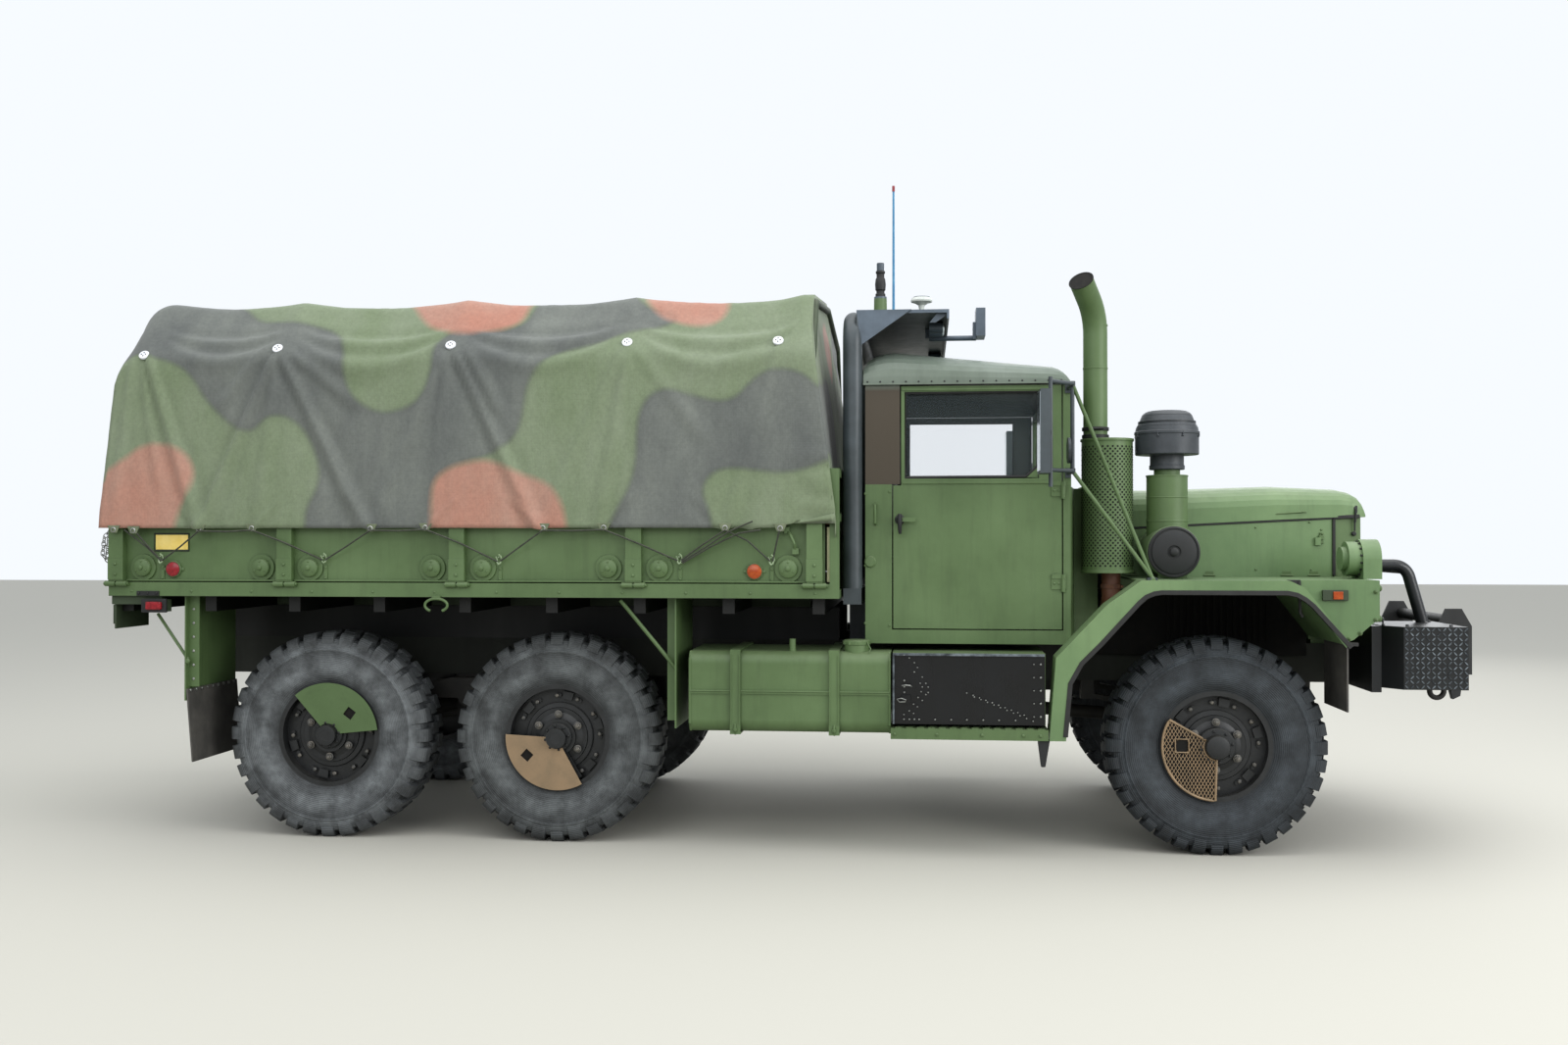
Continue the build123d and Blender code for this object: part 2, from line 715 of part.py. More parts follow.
with BuildPart() as windshield_glass:
    for side in (-1, 1):
        y = (side * (pane_y[0] + seat_gap), side * (pane_y[1] - seat_gap))
        z = (pane_z[0] + seat_gap, pane_z[1] - seat_gap)
        block((pane_x - pane_thick / 2, pane_x + pane_thick / 2), y, z)
save(windshield_glass, "windshield_glass")

# Doors: one thick panel with a framed window, a handle and the glass
window_x = (ahead(-1524), ahead(-859))
window_z = (belt_z + 28.0, 2290.0)
door_top_z = roof_edge_z - door_gap
glass_y = cab_half_width - 22.0
for name, side in (("right", -1), ("left", 1)):
    with BuildPart() as door:
        wall = (side * cab_inner_y, side * cab_half_width)
        block((door_rear_x, door_front_x), wall, (door_bottom_z, door_top_z))
        block(window_x, wall, window_z, mode=Mode.SUBTRACT)
        notch_z = (quarter_base_z - door_gap, door_top_z)
        block((door_rear_x, door_rear_x + door_step), wall, notch_z, mode=Mode.SUBTRACT)
        handle_z = 1650
        handle_x = ahead(-1549)
        stem_y = (side * cab_half_width, side * (cab_half_width + 34))
        rod((handle_x, stem_y[0], handle_z), (handle_x, stem_y[1], handle_z), 10)
        grip_y = (side * (cab_half_width + 24), side * (cab_half_width + 36))
        block((ahead(-1560), ahead(-1470)), grip_y, (handle_z - 11, handle_z + 11))
        for z in hinge_heights:
            low = z + hinge_leaf_half + running_gap
            high = low + 22
            leaf = (side * cab_half_width, side * door_hinge_y)
            block((door_front_x - 50, door_hinge_x), leaf, (low, high))
            rod((door_hinge_x, side * door_hinge_y, low), (door_hinge_x, side * door_hinge_y, high), 9)
    save(door, "door_" + name)
    with BuildPart() as door_glass:
        x = (window_x[0] + seat_gap, window_x[1] - seat_gap)
        z = (window_z[0] + seat_gap, window_z[1] - seat_gap)
        block(x, (side * (glass_y - pane_thick), side * glass_y), z)
    save(door_glass, "door_glass_" + name)

# Seats: one for the driver and a wider one beside it
seat_top_z = 1450.0
with BuildPart() as seats:
    for y in ((230, 800), (-880, 60)):
        block((ahead(-1600), ahead(-1180)), (y[0] + 30, y[1] - 30), (cab_floor_z + 20, 1330))
        block((ahead(-1640), ahead(-1150)), y, (1330, seat_top_z))
        side_plate(
            (
                (ahead(-1640), 1330),
                (ahead(-1540), 1330),
                (ahead(-1600), 1960),
                (ahead(-1690), 1960),
            ),
            y,
        )
save(seats, "seats")

# Steering wheel on its column
wheel_centre = (ahead(-1060), 500, 1790)
column_foot = (ahead(-790), 500, cab_floor_z + 29)
rim_ring = 225.0
with BuildPart() as steering_wheel:
    axis = Vector(*wheel_centre) - Vector(*column_foot)
    tilt = Plane(origin=wheel_centre, z_dir=axis)
    rod(column_foot, wheel_centre, 24)
    with Locations(tilt):
        Torus(rim_ring, 14)
    for turn in (90, 210, 330):
        spoke = tilt.from_local_coords((rim_ring * cos(radians(turn)), rim_ring * sin(radians(turn)), 0))
        rod(wheel_centre, (spoke.X, spoke.Y, spoke.Z), 8)
    with Locations(tilt):
        Cylinder(52, 36)
save(steering_wheel, "steering_wheel")

# Dashboard with round dials before the driver
dash_x = (post_rear_x - 70.0, post_rear_x)
dash_end_y = cab_half_width - sheet - seat_gap
with BuildPart() as dashboard:
    block(dash_x, (-cab_inner_y + 8, cab_inner_y - 8), (1620, 1790))
    block((dash_x[1], dash_x[1] + 22), (-dash_end_y, dash_end_y), (1620, cowl_top_z - sheet - seat_gap))
    for y, radius in ((300, 48), (420, 62), (560, 62), (680, 48), (140, 34), (-40, 34)):
        rod((dash_x[0] - 8, y, 1706), (dash_x[0], y, 1706), radius)
save(dashboard, "dashboard")

# Roll bar: a hoop behind the cab on a beam across the frame
bar_radius = 49.0
bar_x = ahead(-1785)
bar_y = 1000.0
bar_top_z = 2663.0
bar_foot_z = 1306.0
bar_bend = 130.0
with BuildPart() as roll_bar:
    corners = ((-bar_y, bar_foot_z), (-bar_y, bar_top_z), (bar_y, bar_top_z), (bar_y, bar_foot_z))
    bent_tube([(bar_x, y, z) for y, z in corners], bar_radius, bar_bend)
    beam_x = (bar_x - 45, bar_x + 45)
    block(beam_x, (-bar_y - 50, bar_y + 50), (bar_foot_z - 80, bar_foot_z))
    for side in (-1, 1):
        leg = (side * (frame_half_width - frame_flange), side * frame_half_width)
        block(beam_x, leg, (frame_top_z, bar_foot_z - 80))

# Equipment shelf over the cab roof, held by the roll bar
shelf_front_x = ahead(-1302)
shelf_z = (2685.0, 2702.0)
shelf_rear_x = bar_x + 20
shelf_y = 1008.0
with BuildPart() as roof_shelf:
    block((shelf_rear_x, shelf_front_x), (-shelf_y, shelf_y), shelf_z)
    block((shelf_front_x - 12, shelf_front_x), (-shelf_y, shelf_y), (shelf_z[0] - 30, shelf_z[0]))
    for side in (-1, 1):
        side_plate(
            (
                (shelf_rear_x, shelf_z[1]),
                (ahead(-1490), shelf_z[1]),
                (shelf_rear_x, 2510),
            ),
            (side * shelf_y, side * (shelf_y + 12)),
        )
        side_plate(
            (
                (shelf_front_x, shelf_z[0]),
                (shelf_front_x - 60, shelf_z[0]),
                (ahead(-1400), 2640),
                (ahead(-1370), 2640),
            ),
            (side * (shelf_y - 40), side * (shelf_y - 28)),
        )
save(gather(roll_bar, roof_shelf), "roll_bar")

# Work lamp on an arm, a lamp bar under the shelf, and the aerials on top
with BuildPart() as work_lamps:
    block((ahead(-1420), ahead(-1380)), (-415, -385), (2640, shelf_z[0]))
    rod((ahead(-1400), -400, 2639), (ahead(-1150), -400, 2639), 14)
    block((ahead(-1165), ahead(-1145)), (-440, -360), (2630, 2720))
    block((ahead(-1150), ahead(-1100)), (-485, -315), (2640, 2790))
    for y in (-700, -560, 560, 700):
        rod((ahead(-1400), y, 2655.5), (ahead(-1330), y, 2655.5), 29)

with BuildPart() as aerials:
    base_z = shelf_z[1]
    rod((ahead(-1660), -500, base_z), (ahead(-1660), -500, base_z + 20), 62)
    rod((ahead(-1660), -500, base_z + 20), (ahead(-1660), -500, base_z + 150), 34)
    rod((ahead(-1660), -500, base_z + 150), (ahead(-1660), -500, base_z + 330), 20)
    rod((ahead(-1600), 0, base_z), (ahead(-1600), 0, base_z + 150), 12)
    rod((ahead(-1600), 0, base_z + 150), (ahead(-1600), 0, 3571), 5)
    rod((ahead(-1440), -300, base_z), (ahead(-1440), -300, base_z + 150), 12)
    rod((ahead(-1440), -300, base_z + 150), (ahead(-1440), -300, base_z + 180), 46)
save(gather(work_lamps, aerials), "roof_equipment")

# Hood: a rounded shell over the engine, hinged at the cowl
hood_gap = 0.8
side_top_rear_z = 1607.0
side_top_slope = 60.0 / 1220.0
hood_sections = (
    # distance ahead of the axle, half width, top
    (-520, 560, 1812),
    (-60, 530, 1822),
    (407, 500, 1836),
    (740, 478, 1820),
    (800, 472, 1806),
    (835, 464, 1786),
    (855, 454, 1758),
    (866, 446, 1726),
    (873, 440, 1694),
)
hood_shoulder = (
    # share of the half width, share of the height
    (1.0, 0.42),
    (0.985, 0.58),
    (0.95, 0.72),
    (0.9, 0.82),
    (0.82, 0.9),
    (0.72, 0.95),
    (0.58, 0.98),
    (0.4, 0.995),
    (0.2, 1.0),
)


def seam_z(distance):
    """Give the height of the seam between the hood and its side panels."""
    return side_top_rear_z + side_top_slope * (min(distance, 700) - hood_sections[0][0])


def hood_section(distance, half_width, top_z, wall):
    """Give one cross section of the hood with round shoulders."""
    low = seam_z(distance) - (1 if wall else 0)
    half = half_width - wall
    high = top_z - wall
    right = [(-half, low)]
    right += [(-half * reach, low + (high - low) * rise) for reach, rise in hood_shoulder]
    with BuildSketch(Plane.YZ.offset(ahead(distance))) as section:
        with BuildLine():
            Polyline(*right, *[(-y, z) for y, z in right[::-1]], close=True)
        make_face()
    return section.sketch


with BuildPart() as hood:
    loft([hood_section(x, w, top, 0) for x, w, top in hood_sections], ruled=True)
    inner_rows = [(x, w, top) for x, w, top in hood_sections[:-1]]
    loft([hood_section(x, w, top, 10) for x, w, top in inner_rows], ruled=True, mode=Mode.SUBTRACT)
    for side in (-1, 1):
        span = (side * (hood_hinge_y + running_gap), side * (hood_hinge_y + 60))
        block((hood_hinge_x, hood_hinge_x + 60), span, (hood_sections[0][2] - 12, hood_hinge_z - 14))
        block((hood_hinge_x, hood_hinge_x + 16), span, (hood_sections[0][2] - 12, hood_hinge_z))
        rod((hood_hinge_x, span[0], hood_hinge_z), (hood_hinge_x, span[1], hood_hinge_z), hood_barrel)
save(hood, "hood")

# Hood side panels with their latches, standing on the fenders
side_base_z = fender_top_z + seat_gap
side_rear = -500
side_front = 696
side_slope = 0.0699


def side_y(distance):
    """Give the outer face of the engine bay at a distance ahead of the axle."""
    return hood_sections[0][1] - side_slope * (distance - hood_sections[0][0]) - 6


with BuildPart() as hood_sides:
    for side in (-1, 1):
        flat_plate(
            (
                (ahead(side_rear), side * side_y(side_rear)),
                (ahead(side_front), side * side_y(side_front)),
                (ahead(side_front), side * (side_y(side_front) - sheet)),
                (ahead(side_rear), side * (side_y(side_rear) - sheet)),
            ),
            (side_base_z, 1700),
        )
        for x in (-150, 620):
            y = side_y(x)
            block((ahead(x) - 14, ahead(x) + 14), (side * (y - 4), side * (y + 14)), (1520, 1560))
    side_plate(
        (
            (ahead(side_rear) - 40, seam_z(side_rear - 40) - hood_gap),
            (ahead(700), seam_z(700) - hood_gap),
            (ahead(700), 1800),
            (ahead(side_rear) - 40, 1800),
        ),
        (-700, 700),
        mode=Mode.SUBTRACT,
    )
save(hood_sides, "hood_sides")

# Radiator and its shell with upright bars
shell_rear = 704
shell_front = 842
shell_base_z = 1134.0
shell_top_z = seam_z(700) - hood_gap
bar_count = 13
bar_pitch = 60.0
with BuildPart() as grille:
    for side in (-1, 1):
        flat_plate(
            (
                (ahead(shell_rear), side * side_y(shell_rear)),
                (ahead(shell_front), side * side_y(shell_front)),
                (ahead(shell_front), side * (side_y(shell_front) - 30)),
                (ahead(shell_rear), side * (side_y(shell_rear) - 30)),
            ),
            (shell_base_z, shell_top_z),
        )
    half = side_y(shell_front) - 10
    block((ahead(shell_front - 30), ahead(shell_front)), (-half, half), (shell_base_z, shell_base_z + 60))
    block((ahead(shell_front - 30), ahead(shell_front)), (-half, half), (shell_top_z - 50, shell_top_z))
    for i in range(bar_count):
        y = bar_pitch * (i - (bar_count - 1) / 2)
        grille_bar_x = (ahead(shell_front - 26), ahead(shell_front - 6))
        block(grille_bar_x, (y - 11, y + 11), (shell_base_z + 50, shell_top_z - 40))
    tray_y = (-frame_half_width, frame_half_width)
    block((ahead(shell_rear), ahead(740)), tray_y, (frame_top_z, shell_base_z + 40))

with BuildPart() as radiator:
    block((ahead(590), ahead(680)), (-400, 400), (frame_top_z + 20, 1580))
    block((ahead(600), ahead(670)), (-410, 410), (frame_top_z, frame_top_z + 20))
    block((ahead(600), ahead(670)), (-330, 330), (1580, 1620))
save(gather(grille, radiator), "radiator_grille")

# Front fenders: flat top, slanted flare, lamp box ahead of the arch, and inner wall
flare_rear_y = 1040.0
nose_y = 1100.0
nose_inner_y = 490.0
apron_y = 446.0
apron_thick = 6.0
flare_outer = ((-828, 580), (-796, 980), (-553, 1238), (-391, 1355), (300, 1355), (370, 1322), (580, 1052))
flare_inner = (
    (556, 1040),
    (408, 1232),
    (333, 1288),
    (-294, 1293),
    (-368, 1280),
    (-579, 1050),
    (-674, 954),
    (-728, 856),
    (-749, 580),
)


def band(points, thick):
    """Give the outline of a folded sheet that lies below or inside a line of points."""
    inner = []
    for i, (x, z) in enumerate(points):
        before = points[max(i - 1, 0)]
        after = points[min(i + 1, len(points) - 1)]
        first = Vector(x - before[0], z - before[1]) if i else Vector(after[0] - x, after[1] - z)
        second = Vector(after[0] - x, after[1] - z) if i < len(points) - 1 else first
        normal = Vector(first.Y, -first.X).normalized() + Vector(second.Y, -second.X).normalized()
        scale = 2 * thick / (normal.length * normal.length)
        inner.append((x + normal.X * scale, z + normal.Y * scale))
    return [(ahead(x), z) for x, z in list(points) + inner[::-1]]


with BuildPart() as fenders:
    for side in (-1, 1):
        face = (side * (fender_outer_y - fender_skin), side * fender_outer_y)
        side_plate([(ahead(x), z) for x, z in flare_outer + flare_inner], face)
        side_plate(band(flare_outer[:4], fender_skin), (side * flare_rear_y, side * fender_outer_y))
        side_plate(band(flare_outer[3:], fender_skin), (side * apron_y, side * fender_outer_y))
        nose = ((300, fender_top_z), (741, fender_top_z), (741, 1176), (622, 1072), (572, 1062))
        side_plate(band(nose, fender_skin), (side * nose_inner_y, side * nose_y))
        nose_side = nose[:-1] + flare_outer[:4:-1]
        side_plate([(ahead(x), z) for x, z in nose_side], (side * (nose_y - fender_skin), side * nose_y))
        inner_wall = (side * apron_y, side * (apron_y + apron_thick))
        side_plate(
            [
                (ahead(x), z)
                for x, z in (
                    (-391, 1350),
                    (300, 1350),
                    (366, 1318),
                    (560, 1066),
                    (560, 940),
                    (-391, 1010),
                )
            ],
            inner_wall,
        )
        arm_y = (side * frame_half_width, side * (apron_y + apron_thick))
        block((ahead(470), ahead(550)), arm_y, (950, 995))
save(fenders, "fenders")

# Headlamps: a round bucket in a hooped guard on each fender nose
lamp_y = 800.0
lamp_radius = 86.0
lamp_z = fender_top_z + lamp_radius + 13.0
with BuildPart() as headlamps:
    for side in (-1, 1):
        y = side * lamp_y
        rod((ahead(664), y, lamp_z), (ahead(728), y, lamp_z), lamp_radius)
        rod((ahead(640), y, lamp_z), (ahead(664), y, lamp_z), lamp_radius * 0.7)
        rod((ahead(728), y, lamp_z), (ahead(740), y, lamp_z), lamp_radius + 8)
        rod((ahead(726), y, lamp_z), (ahead(815), y, lamp_z), lamp_radius + 12)
        outside = (y - lamp_radius - 12, y + lamp_radius + 12)
        block((ahead(726), ahead(815)), outside, (fender_top_z + seat_gap, lamp_z))
        rod((ahead(740), y, lamp_z), (ahead(816), y, lamp_z), lamp_radius + 4, mode=Mode.SUBTRACT)
        inside = (y - lamp_radius - 4, y + lamp_radius + 4)
        block((ahead(740), ahead(816)), inside, (fender_top_z + 8, lamp_z), mode=Mode.SUBTRACT)
save(headlamps, "headlamps")

# Exhaust: an elbow from the engine, a shielded riser and a bent tail
stack_x = ahead(-554)
stack_y = -750.0
stack_radius = 61.0
shield_x = ahead(-497)
shield_radius = 128.0
elbow_x = ahead(-478)
with BuildPart() as exhaust:
    rod((shield_x, stack_y - 10, 1380), (shield_x, stack_y - 10, 2063), shield_radius)
    bent_tube(
        (
            (stack_x, stack_y, 2040),
            (stack_x, stack_y, 2700),
            (ahead(-640), stack_y - 150, 2850),
        ),
        stack_radius,
        220,
    )
    port_y = -engine_half_width - seat_gap
    bent_tube(((elbow_x, stack_y, 1400), (elbow_x, stack_y, 1215), (ahead(-438), port_y - 8, 1215)), 48, 60)
    block((ahead(-465), ahead(-370)), (port_y - 16, port_y), (1160, 1270))
save(exhaust, "exhaust")

# Air intake: a round cleaner on the fender, a riser and a ribbed cap
intake_x = ahead(-196)
intake_y = -750.0
cleaner_z = 1488.0
cleaner_radius = 128.0
with BuildPart() as air_intake:
    rod((intake_x, -950, cleaner_z), (intake_x, -600, cleaner_z), cleaner_radius)
    heights = (cleaner_z, 1876, 1906, 1981, 2097, 2150, 2180, 2201)
    for low, high, radius in zip(heights, heights[1:], (102, 65, 82, 155, 143, 125, 98)):
        rod((intake_x, intake_y, low), (intake_x, intake_y, high), radius)
    for y in (-900, -650):
        block((intake_x - 70, intake_x + 70), (y - 15, y + 15), (fender_top_z + seat_gap, cleaner_z - 60))
save(air_intake, "air_intake")

# Mirrors: a tall and a round one on an arm from the cowl, braced to the fender
mirror_y = (1262.0, 1440.0)
mirror_x = (ahead(-887), ahead(-840))
mirror_z = (1862.0, 2256.0)
arm_x = ahead(-716)
arm_radius = 10.0
with BuildPart() as mirrors:
    for side in (-1, 1):
        block(mirror_x, (side * mirror_y[0], side * mirror_y[1]), mirror_z)
        post_y = side * 1350
        rod((ahead(-833), post_y, 1800), (ahead(-833), post_y, 2320), arm_radius)
        for z in (1880, 2300):
            rod((arm_x, side * (cab_half_width + seat_gap), z), (arm_x, side * 1220, z), arm_radius)
            rod((arm_x, side * 1220, z), (ahead(-833), post_y, z), arm_radius)
            clamp = (side * (cab_half_width + seat_gap), side * (cab_half_width + 10))
            block((arm_x - 16, arm_x + 12), clamp, (z - 24, z + 24))
        for z in (1880, 2300):
            rod((arm_x, side * 1200, z), (ahead(-335), side * 1150, fender_top_z + 10), 9)
        foot_z = (fender_top_z + seat_gap, fender_top_z + 12)
        block((ahead(-360), ahead(-310)), (side * 1130, side * 1170), foot_z)
        rod((ahead(-740), side * 1200, 1980), (ahead(-726), side * 1200, 1980), 62)
        rod((arm_x, side * 1200, 1880), (arm_x, side * 1200, 2300), arm_radius)
save(mirrors, "mirrors")

# Fuel tank on the right, with its two straps, brackets, filler cap and drain
tank_x = (ahead(-2588), ahead(-1597))
tank_y = (-1150.0, -620.0)
tank_z = (596.0, 997.0)
tank_round = 60.0
strap_places = (ahead(-2359), ahead(-1869))
strap_thick = 8.0
with BuildPart() as fuel_tank:
    block(tank_x, tank_y, tank_z)
    fillet(fuel_tank.edges().filter_by(Axis.X), tank_round)
    block((tank_x[0], tank_x[1]), (tank_y[0] - 6, tank_y[0] + 10), (786, 806))
    rod((ahead(-1762), -1060, tank_z[1] - 10), (ahead(-1762), -1060, tank_z[1] + 34), 62)
    rod((ahead(-2080), -1090, tank_z[1] - 10), (ahead(-2080), -1090, tank_z[1] + 60), 16)

with BuildPart() as tank_straps:
    for x in strap_places:
        span = (x - 26, x + 26)
        outer_y = (tank_y[0] - 6 - seat_gap - strap_thick, tank_y[1] + seat_gap + strap_thick)
        block(span, outer_y, (tank_z[0] - strap_thick - seat_gap, tank_z[1] + strap_thick + seat_gap))
        hollow_y = (tank_y[0] - 6 - seat_gap, tank_y[1] + seat_gap)
        block(span, hollow_y, (tank_z[0] - seat_gap, tank_z[1] + seat_gap), mode=Mode.SUBTRACT)
        block(span, (tank_y[1] + seat_gap, -frame_half_width), (frame_bottom_z + 20, frame_bottom_z + 150))
save(gather(fuel_tank, tank_straps), "fuel_tank")

# Side box under each door, its step, and the hinged lid of the right one
side_box_x = (ahead(-1582), ahead(-842))
side_box_z = (648.0, 995.0)
side_box_y = (640.0, 1150.0)
lid_thick = 12.0
step_x = (ahead(-1591), ahead(-832))
step_y = (900.0, 1200.0)
step_z = (580.0, 631.0)
lid_hinge_x = side_box_x[1] - 3.0
lid_hinge_y = side_box_y[1] + lid_thick
with BuildPart() as side_boxes:
    for side in (-1, 1):
        block(side_box_x, (side * side_box_y[0], side * side_box_y[1]), side_box_z)
        inner_x = (side_box_x[0] + 8, side_box_x[1] - 8)
        if side < 0:
            hollow = (side * (side_box_y[0] + 8), side * (side_box_y[1] + 1))
            block(inner_x, hollow, (side_box_z[0] + 8, side_box_z[1] - 8), mode=Mode.SUBTRACT)
        for x in (side_box_x[0] + 120, side_box_x[1] - 120):
            block((x - 30, x + 30), (side * frame_half_width, side * side_box_y[0]), (840, 960))
            block((x - 30, x + 30), (side * step_y[0], side * (step_y[0] + 60)), (step_z[1], side_box_z[0]))
        block(step_x, (side * step_y[0], side * step_y[1]), (step_z[1] - 14, step_z[1]))
        for y in (step_y[0], step_y[1] - 10):
            block(step_x, (side * y, side * (y + 10)), step_z)
save(side_boxes, "side_boxes")

with BuildPart() as box_lid:
    y = (-side_box_y[1] - running_gap, -lid_hinge_y)
    block((side_box_x[0], lid_hinge_x - 1), y, (side_box_z[0] + 1, side_box_z[1] - 1))
    block((ahead(-1535), ahead(-1495)), (-lid_hinge_y, -lid_hinge_y - 18), (752, 790))
save(box_lid, "side_box_lid")

# Air tanks on the left, hung from the frame under the bed
air_tank_y = 800.0
air_tank_radius = 110.0
with BuildPart() as air_tanks:
    for z in (690, 915):
        rod((ahead(-2540), air_tank_y, z), (ahead(-1740), air_tank_y, z), air_tank_radius)
    for x in (ahead(-2440), ahead(-1840)):
        strap_z = (frame_bottom_z + 30, frame_bottom_z + 110)
        block((x - 25, x + 25), (frame_half_width, air_tank_y - 60), strap_z)
        block((x - 25, x + 25), (air_tank_y - 72, air_tank_y - 40), (680, 915))
save(air_tanks, "air_tanks")

# Cargo bed: floor, side rails, long and cross sills, and hinge barrels on the rails
floor_z = bed_rail_top_z
floor_thick = 30.0
rail_width = 80.0
headboard_thick = 47.0
headboard_rear_x = bed_front_x - headboard_thick
sill_z = (1180.0, floor_z - floor_thick)
sill_count = 9
sill_width = 60.0
deck_thick = 4.0
deck_half_width = gate_outer_y - gate_thick - 2 * bow_radius - 10.0
barrel_radius = 14.0
barrel_half = 27.0
barrel_pitch = 31.0
stakes = [stake_rear_x + stake_pitch * i for i in range(stake_count)]
tail_hinge_x = bed_rear_x - 12.0
tail_hinge_z = floor_z + 6.0
tail_barrel = 10.0
tail_barrel_half = 60.0
tail_hinge_places = (-860, -340, 340, 860)
with BuildPart() as cargo_bed:
    bed_x = (bed_rear_x, headboard_rear_x)
    block(bed_x, (-bed_half_width + 4, bed_half_width - 4), (floor_z - floor_thick, floor_z))
    deck_x = (bed_rear_x + tailgate_thick + 14, headboard_rear_x - 8)
    block(deck_x, (-deck_half_width, deck_half_width), (floor_z, floor_z + deck_thick))
    for side in (-1, 1):
        rail = (side * (bed_half_width - rail_width), side * bed_half_width)
        block(bed_x, rail, (bed_rail_bottom_z, bed_rail_top_z))
        long_sill = (side * (frame_half_width - frame_flange), side * frame_half_width)
        block((ahead(-5440), headboard_rear_x), long_sill, (frame_top_z, sill_z[0]))
        for x in stakes:
            for end in (-1, 1):
                middle = x + end * barrel_pitch
                y = side * (bed_half_width + barrel_radius - 2)
                span = (middle - barrel_half, middle + barrel_half)
                rod((span[0], y, floor_z - 8), (span[1], y, floor_z - 8), barrel_radius)
    for i in range(sill_count):
        x = bed_rear_x + 60 + (headboard_rear_x - bed_rear_x - 120) * i / (sill_count - 1)
        sill_y = bed_half_width - rail_width
        block((x - sill_width / 2, x + sill_width / 2), (-sill_y, sill_y), sill_z)
    for y in tail_hinge_places:
        span = (y - tail_barrel_half, y + tail_barrel_half)
        block((tail_hinge_x - 7, bed_rear_x), span, (floor_z - 30, tail_hinge_z))
        rod((tail_hinge_x, span[0], tail_hinge_z), (tail_hinge_x, span[1], tail_hinge_z), tail_barrel)

# Drop sides: a pressed panel between stakes, with round caps on their discs
gate_bottom_z = floor_z + 6.0
gate_x = (bed_rear_x + 8.0, cover_front_x - cover_thick - 8.0)
cap_z = 1407.0
cap_radius = 44.0
cap_disc_radius = 66.0
cap_places = [ahead(-d) for d in (5427, 4792, 4536, 3895, 3634, 2992, 2735, 2093)]
with BuildPart() as drop_sides:
    for side in (-1, 1):
        inner_y = gate_outer_y - gate_thick
        block(gate_x, (side * inner_y, side * gate_outer_y), (gate_bottom_z, gate_top_z))
        for x in stakes:
            low = x - stake_width / 2
            high = min(x + stake_width / 2, gate_x[1])
            stake_y = (side * gate_outer_y, side * (gate_outer_y + stake_depth))
            block((low, high), stake_y, (gate_bottom_z, gate_top_z))
            block((x - 30, x + 30), (side * inner_y, side * gate_outer_y), (floor_z, gate_bottom_z))
        for x in cap_places:
            rod((x, side * gate_outer_y, cap_z), (x, side * (gate_outer_y + 8), cap_z), cap_disc_radius)
            rod((x, side * gate_outer_y, cap_z), (x, side * (gate_outer_y + 26), cap_z), cap_radius)
save(drop_sides, "drop_sides")

# Headboard, with the deep corner posts at the front of the bed
headboard_top_z = 1900.0
with BuildPart() as headboard:
    sheet_y = bed_half_width - 40
    sheet_x = (headboard_rear_x + 20, bed_front_x - 15)
    block(sheet_x, (-sheet_y, sheet_y), (bed_rail_bottom_z, headboard_top_z))
    for y in (-1180, -700, -240, 240, 700, 1180):
        block((headboard_rear_x, bed_front_x), (y - 20, y + 20), (bed_rail_bottom_z, headboard_top_z))
    for z in (bed_rail_bottom_z, 1640, 1860):
        block((headboard_rear_x, bed_front_x), (-bed_half_width, bed_half_width), (z, z + 40))
save(gather(cargo_bed, headboard), "cargo_bed")

# Tailgate, hinged along the rear edge of the floor
tailgate_y = 1140.0
tailgate_z = (floor_z + 13.0, gate_top_z)
with BuildPart() as tailgate:
    block((bed_rear_x + 10, bed_rear_x + tailgate_thick), (-tailgate_y, tailgate_y), tailgate_z)
    for z in (tailgate_z[0], tailgate_z[1] - 40):
        block((bed_rear_x, bed_rear_x + tailgate_thick), (-tailgate_y, tailgate_y), (z, z + 40))
    for y in (-1100, -600, 0, 600, 1100):
        block((bed_rear_x, bed_rear_x + tailgate_thick), (y - 40, y + 40), tailgate_z)
    for y in tail_hinge_places:
        for end in (-1, 1):
            span = (y + end * (tail_barrel_half + running_gap), y + end * (tail_barrel_half + 30))
            block((tail_hinge_x - 7, bed_rear_x), span, (tail_hinge_z, tail_hinge_z + 60))
            rod((tail_hinge_x, span[0], tail_hinge_z), (tail_hinge_x, span[1], tail_hinge_z), tail_barrel)
save(tailgate, "tailgate")


def moved_in(points, distance):
    """Give the Y and Z corners of a half section moved inwards by a distance."""
    lines = []
    for (y0, z0), (y1, z1) in zip(points, points[1:]):
        length = hypot(y1 - y0, z1 - z0)
        shift = (-(z1 - z0) / length * distance, (y1 - y0) / length * distance)
        lines.append(((y0 + shift[0], z0 + shift[1]), (y1 - y0, z1 - z0)))
    corners = [lines[0][0]]
    for (p, a), (q, b) in zip(lines, lines[1:]):
        t = ((q[0] - p[0]) * b[1] - (q[1] - p[1]) * b[0]) / (a[0] * b[1] - a[1] * b[0])
        corners.append((p[0] + a[0] * t, p[1] + a[1] * t))
    return corners


def cover_profile(distance, hem_z):
    """Give the closed Y and Z outline of the cover, moved inwards by a distance."""
    half = moved_in(cover_half, distance)
    ridge = (0, cover_top_z - distance * cover_pitch)
    foot = (half[0][0] + (half[0][1] - hem_z) * cover_lean, hem_z)
    right = [foot] + half[1:]
    return right + [ridge] + [(-y, z) for y, z in right[::-1]]


